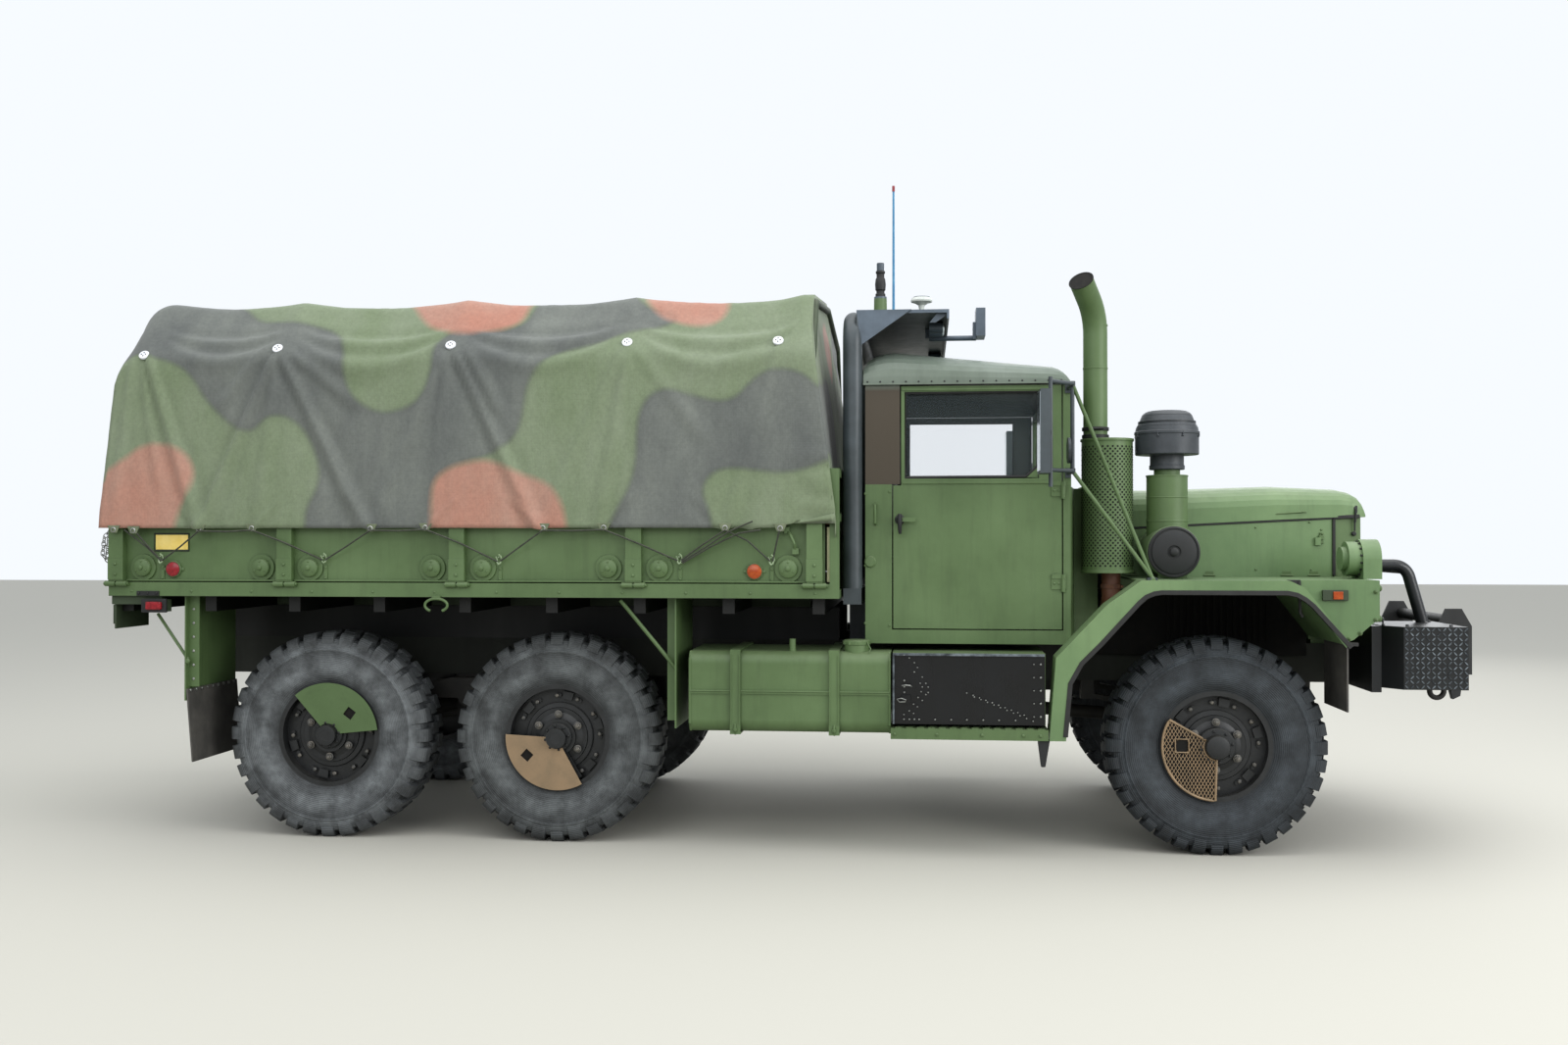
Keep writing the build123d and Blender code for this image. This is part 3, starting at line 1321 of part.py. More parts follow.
# Canvas cover: closed at the front and above the tailgate, open underneath
cover_half = (
    (cover_hem_y, cover_hem_z),
    (cover_shoulder_y, cover_shoulder_z),
    (cover_eave_y, cover_eave_z),
    (0, cover_top_z),
)
cover_lean = (cover_hem_y - cover_shoulder_y) / (cover_shoulder_z - cover_hem_z)
cover_pitch = hypot(cover_eave_y, cover_top_z - cover_eave_z) / cover_eave_y
cover_round = 110.0
curtain_z = gate_top_z + 14.0


def cover_face(x, distance, hem_z):
    """Give the cover's cross section at an X, with round shoulders and eaves."""
    with BuildSketch(Plane.YZ.offset(x)) as section:
        with BuildLine():
            Polyline(*cover_profile(distance, hem_z), close=True)
        make_face()
        round_corners = section.vertices().filter_by(lambda v: cover_hem_z + 100 < v.Z < cover_top_z - 30)
        fillet(round_corners, cover_round - distance)
    return section.sketch


def cover_form(distance, hem_z):
    """Give the cover's solid form, moved inwards by a distance: its rear wall leans and rounds over."""
    rear_x = cover_rear_x + distance
    top_x = cover_rear_top_x + distance
    bend = cover_rear_round - distance
    arc_top_z = cover_top_z - distance + 3
    with BuildPart() as form:
        extrude(cover_face(rear_x, distance, hem_z), amount=cover_front_x - distance - rear_x)
        with BuildSketch(Plane.XZ.offset(-cover_hem_y - 10)) as behind:
            with BuildLine():
                Polyline((top_x, arc_top_z - bend), (rear_x, hem_z - 10), (rear_x - 20, hem_z - 10))
                Line((rear_x - 20, hem_z - 10), (rear_x - 20, arc_top_z + 20))
                Line((rear_x - 20, arc_top_z + 20), (top_x + bend, arc_top_z + 20))
                Line((top_x + bend, arc_top_z + 20), (top_x + bend, arc_top_z))
                CenterArc((top_x + bend, arc_top_z - bend), bend, 90, 90)
            make_face()
        extrude(behind.sketch, amount=2 * (cover_hem_y + 10), mode=Mode.SUBTRACT)
    return form


with BuildPart() as cover:
    add(cover_form(0, cover_hem_z).part)
    add(cover_form(cover_thick, cover_hem_z - 60).part, mode=Mode.SUBTRACT)
    curtain_x = (cover_rear_x - 1, cover_rear_top_x)
    block(curtain_x, (-cover_hem_y, cover_hem_y), (cover_hem_z, curtain_z), mode=Mode.SUBTRACT)
save(cover, "canvas_cover")

# Bows: five hoops that stand on the floor and carry the cover
bow_inset = cover_thick + seat_gap + bow_radius
bow_post_y = gate_outer_y - gate_thick - bow_radius - seat_gap
bow_half = moved_in(cover_half, bow_inset)
bow_ridge = (0, cover_top_z - bow_inset * cover_pitch)
with BuildPart() as bows:
    for x in bow_places:
        side_run = [(bow_post_y, floor_z + seat_gap), (bow_post_y, bow_half[1][1] - 40)] + bow_half[2:]
        points = side_run + [bow_ridge] + [(-y, z) for y, z in side_run[::-1]]
        bent_tube([(x, y, z) for y, z in points], bow_radius, 60)
save(bows, "bows")

# Guards before and behind the rear wheels, and the rubber flaps
guard_top_z = bed_rail_bottom_z - seat_gap
with BuildPart() as mud_guards:
    for side in (-1, 1):
        block((ahead(-5222), ahead(-5214)), (side * 620, side * 1150), (720, guard_top_z))
        block((ahead(-5222), ahead(-5160)), (side * 1110, side * 1118), (790, guard_top_z))
        block((ahead(-2666), ahead(-2658)), (side * 640, side * 1140), (610, guard_top_z))
        block((ahead(-2716), ahead(-2658)), (side * 1060, side * 1068), (640, guard_top_z))
        rod((ahead(-2940), side * 1150, guard_top_z - 12), (ahead(-2664), side * 1092, 900), 10)
save(mud_guards, "mud_guards")

with BuildPart() as mud_flaps:
    for side in (-1, 1):
        flap_x = ahead(-5214) + seat_gap
        side_plate(
            ((flap_x, 780), (flap_x + 8, 780), (flap_x + 40, 405), (flap_x + 32, 405)),
            (side * 620, side * 1150),
        )
        block((ahead(590), ahead(598)), (side * 700, side * 1092), (722, 1056.8))
save(mud_flaps, "mud_flaps")

# Lamps and reflectors on the sides and at the tail
with BuildPart() as marker_lamps:
    for side in (-1, 1):
        face = side * (gate_outer_y + seat_gap)
        for x, z in ((ahead(-5264), 1398), (ahead(-2260), 1393)):
            rod((x, face, z), (x, face + side * 14, z), 38)
        y = side * (nose_y + seat_gap)
        block((ahead(473), ahead(591)), (y, y + side * 18), (1260, 1306))
        block((ahead(-5600), ahead(-5420)), (side * 1122, side * 1180), (1216, bed_rail_bottom_z))
        block((ahead(-5590), ahead(-5582)), (side * 860, side * 1170), (1090, 1216))
        block((ahead(-5640), ahead(-5590)), (side * 900, side * 1100), (1110, 1210))
        block((ahead(-5424), ahead(-5294)), (side * 1150, side * 1196), (1180, 1242))
        block((ahead(-5420), ahead(-5330)), (side * 1150, side * 1180), (1242, bed_rail_bottom_z))
save(marker_lamps, "marker_lamps")
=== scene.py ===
import bpy
import bmesh
import math
import numpy
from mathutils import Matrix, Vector, noise


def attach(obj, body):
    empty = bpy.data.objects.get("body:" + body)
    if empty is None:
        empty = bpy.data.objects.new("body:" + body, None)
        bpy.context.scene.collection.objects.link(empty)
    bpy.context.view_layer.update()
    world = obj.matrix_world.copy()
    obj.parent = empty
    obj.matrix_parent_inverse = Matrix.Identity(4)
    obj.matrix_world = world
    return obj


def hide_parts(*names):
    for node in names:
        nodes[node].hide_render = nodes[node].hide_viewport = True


# A six-wheel cargo truck. Tables are in millimetres, and X in them is the distance ahead of the
# front axle, as in the part's source. The right side, towards the camera, is at -Y.
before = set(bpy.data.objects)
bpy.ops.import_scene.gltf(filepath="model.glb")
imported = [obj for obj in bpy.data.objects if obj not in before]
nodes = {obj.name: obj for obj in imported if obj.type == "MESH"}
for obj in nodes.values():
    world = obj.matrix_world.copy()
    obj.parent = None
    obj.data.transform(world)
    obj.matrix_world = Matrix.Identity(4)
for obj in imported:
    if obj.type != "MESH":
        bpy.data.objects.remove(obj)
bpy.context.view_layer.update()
AXLE_X = 2122.5
AXLE_Z = 534.009
WHEELS = (
    # name, X, side
    ("front_right", 2122.5, -1),
    ("front_left", 2122.5, 1),
    ("middle_right", -1180.0, -1),
    ("middle_left", -1180.0, 1),
    ("rear_right", -2399.0, -1),
    ("rear_left", -2399.0, 1),
)
HALF_TRACK = 862.0
SIDES = (-1, 1)


def ahead(distance):
    """Give the X that lies this far ahead of the front axle."""
    return AXLE_X + distance


def spoke(radius, degrees):
    """Give the two offsets of a point on a circle."""
    return radius * math.cos(math.radians(degrees)), radius * math.sin(math.radians(degrees))


# Finishes

def shade(code):
    """Turn an sRGB hex colour into the linear colour that a shader takes."""
    parts = [int(code[i:i + 2], 16) / 255 for i in (0, 2, 4)]
    return tuple(c / 12.92 if c <= 0.04045 else ((c + 0.055) / 1.055) ** 2.4 for c in parts) + (1.0,)


def put(tree, kind, feeds=(), out=0, **settings):
    """Add one shader node with its settings, feed its inputs and give one of its outputs.

    A feed is a number, a hex colour, or another node's output to link.
    """
    node = tree.nodes.new("ShaderNode" + kind)
    for key, value in settings.items():
        setattr(node, key, value)
    for key, source in dict(feeds).items():
        if isinstance(source, str):
            node.inputs[key].default_value = shade(source)
        elif isinstance(source, (int, float, tuple)):
            node.inputs[key].default_value = source
        else:
            tree.links.new(source, node.inputs[key])
    return node.outputs[out]


def blank(name):
    """Start a finish: its material, its node tree, its shader and the place on the object."""
    material = bpy.data.materials.new(name)
    material.use_nodes = True
    tree = material.node_tree
    place = put(tree, "TexCoord", out="Object")
    return material, tree, tree.nodes["Principled BSDF"], place


def per(size):
    """Give the noise scale of a pattern with this size in millimetres."""
    return 1000.0 / size


RGBA = {"data_type": "RGBA", "out": 2}
OVER = {"data_type": "RGBA", "blend_type": "MULTIPLY", "out": 2}


def surface(name, fresh, faded, rough, patch=500, grain=6, bump=0.25, dust="9a958a", dusting=0.35, metal=0.0):
    """Make a worn coat: patches of fading, fine grain, runs of grime and dust that lies on top."""
    material, tree, shader, place = blank(name)
    patches = put(tree, "TexNoise", {"Scale": per(patch), "Detail": 5.0, "Roughness": 0.6, "Vector": place})
    down = put(tree, "Mapping", {"Vector": place, "Scale": (1.0, 1.0, 0.12)})
    runs = put(tree, "TexNoise", {"Scale": per(60), "Detail": 4.0, "Roughness": 0.65, "Vector": down})
    fading = put(tree, "MapRange", {0: patches, 1: 0.35, 2: 0.68})
    coat = put(tree, "Mix", {0: fading, 6: fresh, 7: faded}, **RGBA)
    grime = put(tree, "MapRange", {0: runs, 1: 0.5, 2: 0.78, 3: 1.0, 4: 0.72})
    streaked = put(tree, "Mix", {0: 0.55, 6: coat, 7: grime}, **OVER)
    facing_up = put(tree, "SeparateXYZ", {0: put(tree, "NewGeometry", out="Normal")}, "Z")
    lying = put(tree, "MapRange", {0: facing_up, 1: 0.15, 2: 1.0, 4: dusting})
    dusty = put(tree, "Math", {0: lying, 1: patches}, operation="MULTIPLY")
    film = put(tree, "Math", {0: dusty, 1: dusting * 0.12}, operation="ADD", use_clamp=True)
    dulled = put(tree, "Mix", {0: film, 6: streaked, 7: dust}, **RGBA)
    gloss = put(tree, "MapRange", {0: runs, 3: rough - 0.08, 4: min(rough + 0.1, 1.0)})
    fine = put(tree, "TexNoise", {"Scale": per(grain), "Detail": 3.0, "Vector": place})
    relief = put(tree, "Bump", {"Strength": bump, "Distance": 0.001, "Height": fine})
    tree.links.new(dulled, shader.inputs["Base Color"])
    tree.links.new(gloss, shader.inputs["Roughness"])
    tree.links.new(relief, shader.inputs["Normal"])
    shader.inputs["Metallic"].default_value = metal
    return material


# Sprayed polyurethane is dead flat when new and takes a slight sheen where hands and sun reach it
GREEN = surface("green_sprayed_polyurethane", "4a6039", "596f48", 0.5, dusting=0.22)
# The same paint on the nose, lighter: partly bleached by the sun, partly painted light for the nose's
# brighter lit side
GREEN_NOSE_BLEACHED_AND_LIT = surface("green_polyurethane_bleached_and_painted_lighter", "57704a", "6a825a", 0.46, dusting=0.22)
# The same paint made dark and rough: road dirt, and painted shade for parts that lie in shade under the bed,
# under the cover and in the cab
GREEN_DIRT_AND_SHADE = surface("green_polyurethane_in_dirt_and_painted_shade", "2a3824", "36452f", 0.66, patch=260, dusting=0.3)
# The same paint on the roof, greyed by weather; its blue-grey tint and the blue-grey dust on its upward faces
# are partly painted sky reflection and highlight
GREEN_ROOF_SKY_TINTED = surface("faded_green_roof_with_painted_sky_reflection", "5b6659", "70796f", 0.42, dust="8a9492", dusting=0.2)
# Tan enamel keeps a thin sheen on its flat sheet
TAN = surface("tan_enamelled_steel_plate", "7c6a52", "927b5f", 0.58, patch=120)
# Alkyd enamel on tube and plate, satin and a little blue where it meets the sky
BLACK = surface("black_satin_alkyd_enamel", "101315", "1c2023", 0.32, patch=300, dusting=0.1)
# Primer has no gloss of its own
BLACK_SOFT = surface("black_sprayed_primer", "151718", "212426", 0.55, patch=200, dusting=0.15)
# Black enamel made dark blue-grey: the lightness is painted sky reflection on the roll bar and mirrors
BLACK_SKY_REFLECTING = surface(
    "black_alkyd_enamel_painted_with_sky_reflection", "30373a", "434b4f", 0.4, patch=260, dusting=0.1)
# Brushed gloss enamel throws the clearest reflections on the truck
BLACK_GLOSS = surface("black_brushed_gloss_enamel", "050607", "0b0d10", 0.28, patch=160, dusting=0.06)
# Enamel rubbed through to steel along its high spots
BLACK_WORN = surface(
    "black_enamel_rubbed_to_steel", "34393d", "7a8288", 0.34, patch=40, metal=0.4, dusting=0.1)
# Blue-grey enamel, satin
SLATE = surface("slate_grey_alkyd_enamel", "434d56", "586470", 0.42, patch=200, dusting=0.12)
# Inside faces of the cab and doors, dark green and soft: painted shade for the dim cab
CAB_INSIDE_SHADE = surface("cab_inside_painted_shade", "1d241f", "272f28", 0.55, patch=200, dusting=0.05)
# Stove enamel on pressed wheel discs, under dust thrown from the road; kept near black also as painted shade
# behind the guards' openings and lattice
RIM_AND_SHADE = surface("dark_rim_enamel_and_painted_shade", "17191a", "26282a", 0.42, patch=90, dusting=0.12)
# Chassis enamel is lost under a dull film from the road
CHASSIS = surface("chassis_enamel_under_road_film", "131811", "1d221b", 0.7, patch=180, dusting=0.25)
# Castings sweat oil that holds dirt in clots
GREASED = surface(
    "cast_iron_under_oily_dirt", "131312", "211f1c", 0.6, patch=70, grain=14, bump=0.5, dusting=0.2)
# Heat leaves a pipe with dry scale and no gloss
RUSTED = surface("heat_rusted_steel_pipe", "4c3226", "6e4a34", 0.82, patch=40, grain=9, bump=0.6)
# Near black: painted shade in the guards' openings and backing, the shield's holes and the wheels' wells, and
# soot with shade in the stack's mouth
SOOT_AND_SHADE = surface("near_black_painted_shade_and_soot", "0b0b0b", "15130f", 0.9, patch=40, dusting=0.05)
# Zinc plating is pale, metallic and slightly milky
ZINC = surface("zinc_plated_steel_fittings", "8b8d8a", "a7a8a4", 0.38, patch=30, metal=0.8, dusting=0.1)
# Phosphate is a dull grey conversion coat that dust settles on
NUT_STEEL = surface(
    "phosphated_steel_nuts_in_road_dust", "4f5152", "77726a", 0.5, patch=25, metal=0.5, dusting=0.25)
# Bent wire under a thin coat of paint
WIRE = surface("painted_steel_wire", "76886a", "94a486", 0.45, patch=20, dusting=0.1)
# Laid wires catch the light strand by strand under grease
ROPE_STEEL = surface(
    "greased_steel_wire_rope", "3a3c3c", "55544e", 0.5, patch=15, grain=3, bump=0.8, metal=0.5)
# Silvered glass mirrors the sky, a little dusty
SILVERED = surface("silvered_mirror_glass", "aab2b5", "b9c0c2", 0.12, patch=200, metal=0.9, dusting=0.1)
# Vulcanised rubber sheet greys with dust
FLAP = surface("vulcanised_rubber_sheet", "403f3d", "55534f", 0.66, patch=120, grain=10)
# Extruded rubber stays black and dull
SEAM = surface("extruded_rubber_trim", "1a1b1b", "242525", 0.6, patch=60, dusting=0.15)
# Vinyl over canvas shows the weave through its coat
SEAT = surface("green_vinyl_coated_canvas", "3f4635", "4a523f", 0.62, patch=150, grain=3, bump=0.5)
# Moulded plastics have an even, soft gloss
NYLON = surface("black_moulded_polyethylene", "31363b", "3d4247", 0.5, patch=90, dusting=0.15)
WHITE = surface("white_moulded_nylon", "c9ccd2", "dcdee2", 0.4, patch=30, dusting=0.1)
PALE_NYLON = surface("pale_moulded_nylon", "b4bab6", "cfd3ce", 0.45, patch=40, dusting=0.2)
# Lacquer over glass fibre gives the whip a clean sheen
WHIP_BLUE = surface("blue_lacquered_glass_fibre", "2f6e96", "4a86a8", 0.35, patch=60, dusting=0.05)
# Lenses are hard, smooth and nearly clean
AMBER = surface(
    "amber_moulded_acrylic_lens", "8e3a10", "a8511c", 0.2, patch=20, grain=3, bump=0.15, dusting=0.05)
RED = surface(
    "red_moulded_acrylic_lens", "6d1119", "97222b", 0.18, patch=20, grain=3, bump=0.15, dusting=0.05)
CLEAR = surface(
    "clear_pressed_glass_lens", "a9b4b6", "c6d0d2", 0.1, patch=20, grain=3, bump=0.1, dusting=0.05)
# Enamelled plate, smooth and a little faded
PLACARD = surface("yellow_enamelled_plate", "d8bf66", "e2cd84", 0.4, patch=60, dusting=0.1)
# Woven cord and webbing are matt and full of small shadows
ROPE = surface("dark_braided_polyester_cord", "2c3129", "3d4238", 0.8, patch=20, grain=2, bump=0.8)
WEBBING = surface("pale_olive_cotton_webbing", "8f9173", "a5a585", 0.85, patch=40, grain=2, bump=0.7)
HEM = surface("green_cotton_webbing_hem", "59634c", "6f775f", 0.85, patch=40, grain=2, bump=0.7)


# Scene: camera at the photograph's place, soft studio light and a pale floor

def set_camera():
    """Stand the camera eight metres to the right of the truck, a little above its hood."""
    yaw = math.radians(5.604)
    pitch = math.radians(0.554)
    lens = bpy.data.cameras.new("camera")
    lens.sensor_width = 36.0
    lens.lens = 1450.6 / 1600 * 36.0
    lens.clip_end = 200.0
    camera = bpy.data.objects.new("camera", lens)
    bpy.context.scene.collection.objects.link(camera)
    camera.location = (0.6917, -8.1477, 1.5667)
    forward = Vector((-math.sin(yaw) * math.cos(pitch), math.cos(yaw) * math.cos(pitch), math.sin(pitch)))
    camera.rotation_euler = forward.to_track_quat("-Z", "Y").to_euler()
    bpy.context.scene.camera = camera


def set_lights():
    """Hang a wide soft light overhead and a weaker one on each side."""
    world = bpy.data.worlds.new("studio")
    bpy.context.scene.world = world
    world.use_nodes = True
    background = world.node_tree.nodes["Background"]
    background.inputs["Color"].default_value = shade("f2f6fb")
    background.inputs["Strength"].default_value = 0.88
    lamps = (
        # name, place, aimed at, size, watts
        ("overhead", (0.5, -1.5, 8.5), (0, 0, 1), (14.0, 9.0), 560.0),
        ("right", (-1.6, -12.0, 6.5), (0.4, 0, 1.2), (12.0, 5.0), 315.0),
        ("front", (10.0, -6.5, 4.5), (2.2, 0, 1.4), (6.0, 5.0), 560.0),
        ("left", (3.0, 11.0, 6.0), (0, 0, 1.2), (10.0, 5.0), 240.0),
    )
    for name, place, aim, size, watts in lamps:
        lamp = bpy.data.lights.new(name, "AREA")
        lamp.shape = "RECTANGLE"
        lamp.size, lamp.size_y = size
        lamp.energy = watts
        holder = bpy.data.objects.new(name, lamp)
        bpy.context.scene.collection.objects.link(holder)
        holder.location = place
        holder.rotation_euler = (Vector(aim) - Vector(place)).to_track_quat("-Z", "Y").to_euler()

def set_floor():
    """Lay a plain pale floor."""
    reach = 40.0
    sheet = bpy.data.meshes.new("floor")
    corners = [(-reach, -reach, 0), (reach, -reach, 0), (reach, reach, 0), (-reach, reach, 0)]
    sheet.from_pydata(corners, [], [(0, 1, 2, 3)])
    ground = bpy.data.objects.new("floor", sheet)
    bpy.context.scene.collection.objects.link(ground)
    material, _, shader, _ = blank("pale_matt_floor")
    shader.inputs["Base Color"].default_value = shade("b8b6ad")
    shader.inputs["Roughness"].default_value = 0.9
    sheet.materials.append(material)


set_camera()
set_lights()
set_floor()
bpy.context.scene.view_settings.view_transform = "Standard"
bpy.context.scene.view_settings.look = "Medium High Contrast"


# Finishes of the solids, node by node

def coat(node_names, finish):
    """Give each of some nodes one finish."""
    for name in node_names:
        mesh = nodes[name].data
        mesh.materials.clear()
        mesh.materials.append(finish)


def clear_glass():
    """Flat laminated glass: thin, faintly green-grey, dusty."""
    material, _, shader, _ = blank("flat_laminated_glass")
    shader.inputs["Base Color"].default_value = shade("8b989b")
    shader.inputs["Roughness"].default_value = 0.3
    shader.inputs["Transmission Weight"].default_value = 0.0
    shader.inputs["Alpha"].default_value = 0.06
    shader.inputs["IOR"].default_value = 1.52
    return material


for finish, node_names in (
    (GREEN, ("air_intake", "cab_tub", "cargo_bed", "door_left", "door_right", "drop_sides", "exhaust",
             "fuel_tank", "mud_guards", "radiator_grille", "side_boxes", "tailgate", "windshield_frame")),
    (GREEN_NOSE_BLEACHED_AND_LIT, ("fenders", "headlamps", "hood", "hood_sides")),
    (GREEN_DIRT_AND_SHADE, ("air_tanks", "bows", "dashboard", "marker_lamps")),
    (GREEN_ROOF_SKY_TINTED, ("hardtop",)),
    (GREASED, ("drive_shafts", "engine", "front_axle", "knuckle_left", "knuckle_right", "rear_axles",
               "springs", "tie_rod")),
    (CHASSIS, ("frame",)),
    (BLACK, ("front_bumper", "steering_wheel")),
    (BLACK_SOFT, ("winch",)),
    (BLACK_SKY_REFLECTING, ("mirrors", "roll_bar")),
    (BLACK_GLOSS, ("side_box_lid",)),
    (FLAP, ("mud_flaps",)),
    (SLATE, ("roof_equipment",)),
    (SEAT, ("seats",)),
    (RIM_AND_SHADE, ["wheel_" + wheel[0] for wheel in WHEELS]),
    (clear_glass(), ("windshield_glass", "door_glass_left", "door_glass_right")),
):
    coat(node_names, finish)


def second_coat(name, finish, picks):
    """Give a node's picked faces a second finish; picks takes a face's centre and normal in metres."""
    mesh = nodes[name].data
    mesh.materials.append(finish)
    for face in mesh.polygons:
        if picks(nodes[name].matrix_world @ face.center, face.normal):
            face.material_index = 1


CAB_MIDDLE = Vector((ahead(-1250) * 0.001, 0.0, 1.9))


def faces_in(centre, normal):
    """Tell whether a face looks in towards the middle of the cab."""
    return normal.dot(centre - CAB_MIDDLE) < 0 and abs(normal.x) < 0.9


def on_shelf_side(centre, normal):
    """Tell whether a face lies on a side plate of the roof shelf."""
    return centre.z > 2.42 and abs(normal.y) > 0.8 and centre.x > ahead(-1700) * 0.001


# The faces inside the cab and the doors' inner skins are dark as painted shade, and the roof shelf's side
# plates are slate
second_coat("hardtop", CAB_INSIDE_SHADE, faces_in)
second_coat("door_left", CAB_INSIDE_SHADE, faces_in)
second_coat("door_right", CAB_INSIDE_SHADE, faces_in)
second_coat("roll_bar", SLATE, on_shelf_side)


# Shapes: faces gathered for one piece, in millimetres

class Shape:
    """Points and faces of one piece, in millimetres, on the right side (-1), the left or as given (1)."""

    def __init__(self, side=1):
        self.points = []
        self.faces = []
        self.side = side

    def at(self, x, y, z):
        """Give the place this far ahead of the front axle and this far out on the shape's side."""
        return ahead(x), self.side * y, z

    def loops(self, rows, round_trip=True, capped=True, ringed=False):
        """Join rows of points into a skin, with a face at each end, or in a ring."""
        first = len(self.points)
        count = len(rows[0])
        for row in rows:
            self.points += [tuple(p) for p in row]
        span = count if round_trip else count - 1
        for r in range(len(rows) if ringed else len(rows) - 1):
            below = first + r * count
            above = first + (r + 1) % len(rows) * count
            for c in range(span):
                d = (c + 1) % count
                self.faces.append((below + c, below + d, above + d, above + c))
        if capped and round_trip and not ringed:
            last = first + (len(rows) - 1) * count
            self.faces.append(tuple(range(first + count - 1, first - 1, -1)))
            self.faces.append(tuple(range(last, last + count)))

    def bar(self, x, y, z):
        """Add a block that spans pairs of X, Y and Z."""
        corners = ((0, 0), (1, 0), (1, 1), (0, 1))
        self.loops([[(x[i], y[j], z[k]) for j, k in corners] for i in (0, 1)])

    def turned(self, centre, axis, profile, sides=16):
        """Turn a profile of radius and height pairs about an axis through a centre."""
        axis = Vector(axis).normalized()
        right = axis.orthogonal().normalized()
        up = axis.cross(right)
        rows = []
        for radius, height in profile:
            base = Vector(centre) + axis * height
            ring = []
            for i in range(sides):
                angle = math.tau * i / sides
                ring.append(base + (right * math.cos(angle) + up * math.sin(angle)) * max(radius, 0.01))
            rows.append(ring)
        self.loops(rows)

    def tube(self, path, radius, sides=10, closed=False):
        """Add a round bar along a path of points, of one radius or of one at each point."""
        path = [Vector(p) for p in path]
        count = len(path)
        along = []
        for i in range(count):
            before = path[i - 1] if closed or i else path[i]
            after = path[(i + 1) % count] if closed or i < count - 1 else path[i]
            along.append((after - before).normalized())
        normal = along[0].orthogonal().normalized()
        rows = []
        for i, point in enumerate(path):
            normal = (normal - along[i] * normal.dot(along[i])).normalized()
            side = along[i].cross(normal)
            wide = radius[i] if hasattr(radius, "__len__") else radius
            rows.append([point + (normal * math.cos(a) + side * math.sin(a)) * wide
                         for a in (math.tau * k / sides for k in range(sides))])
        self.loops(rows, ringed=closed)

    def block(self, x, y, z):
        """Add a block that spans pairs of distances ahead, distances out and heights."""
        self.bar([ahead(v) for v in x], [self.side * v for v in y], z)

    def wire(self, path, radius, sides=10, closed=False):
        """Add a round bar along a path on the shape's side."""
        self.tube([self.at(*p) for p in path], radius, sides, closed)

    def stud(self, place, profile, sides=8):
        """Turn a profile that faces out."""
        self.turned(self.at(*place), (0, self.side, 0), profile, sides)

    def stack(self, place, profile, sides=8):
        """Turn a profile that faces up."""
        self.turned(self.at(*place), (0, 0, 1), profile, sides)

    def knob(self, place, profile, sides=8):
        """Turn a profile that faces ahead."""
        self.turned(self.at(*place), (1, 0, 0), profile, sides)


def skin(name, shape, finish, sharp=35.0):
    """Make the mesh of a shape, smooth but for its sharp edges."""
    mesh = bpy.data.meshes.new(name)
    mesh.from_pydata([Vector(p) * 0.001 for p in shape.points], [], shape.faces)
    mesh.validate()
    mesh.materials.append(finish)
    mesh.shade_smooth()
    mesh.set_sharp_from_angle(angle=math.radians(sharp))
    return mesh


def show(name, mesh, body, place=(0.0, 0.0, 0.0), edge=0.0, spin=(0.0, 0.0, 0.0)):
    """Stand a mesh at its place, soften its edges and let it ride on a body."""
    item = bpy.data.objects.new(name, mesh)
    bpy.context.scene.collection.objects.link(item)
    item.location = [v * 0.001 for v in place]
    item.rotation_euler = spin
    if edge:
        soften(item, edge)
    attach(item, body)
    return item


def piece(name, shape, finish, body="chassis", edge=0.0, sharp=35.0):
    """Make a piece whose shape is already at its place on the truck."""
    return show(name, skin(name, shape, finish, sharp), body, edge=edge)


def soften(item, edge, angle=35.0):
    """Round the sharp edges of a piece a little."""
    bevel = item.modifiers.new("edges", "BEVEL")
    bevel.width = edge * 0.001
    bevel.segments = 2
    bevel.limit_method = "ANGLE"
    bevel.angle_limit = math.radians(angle)
    bevel.harden_normals = True
    return bevel


# Canvas cover: one sheet over the bows, closed behind, with folds that run from the bow ties

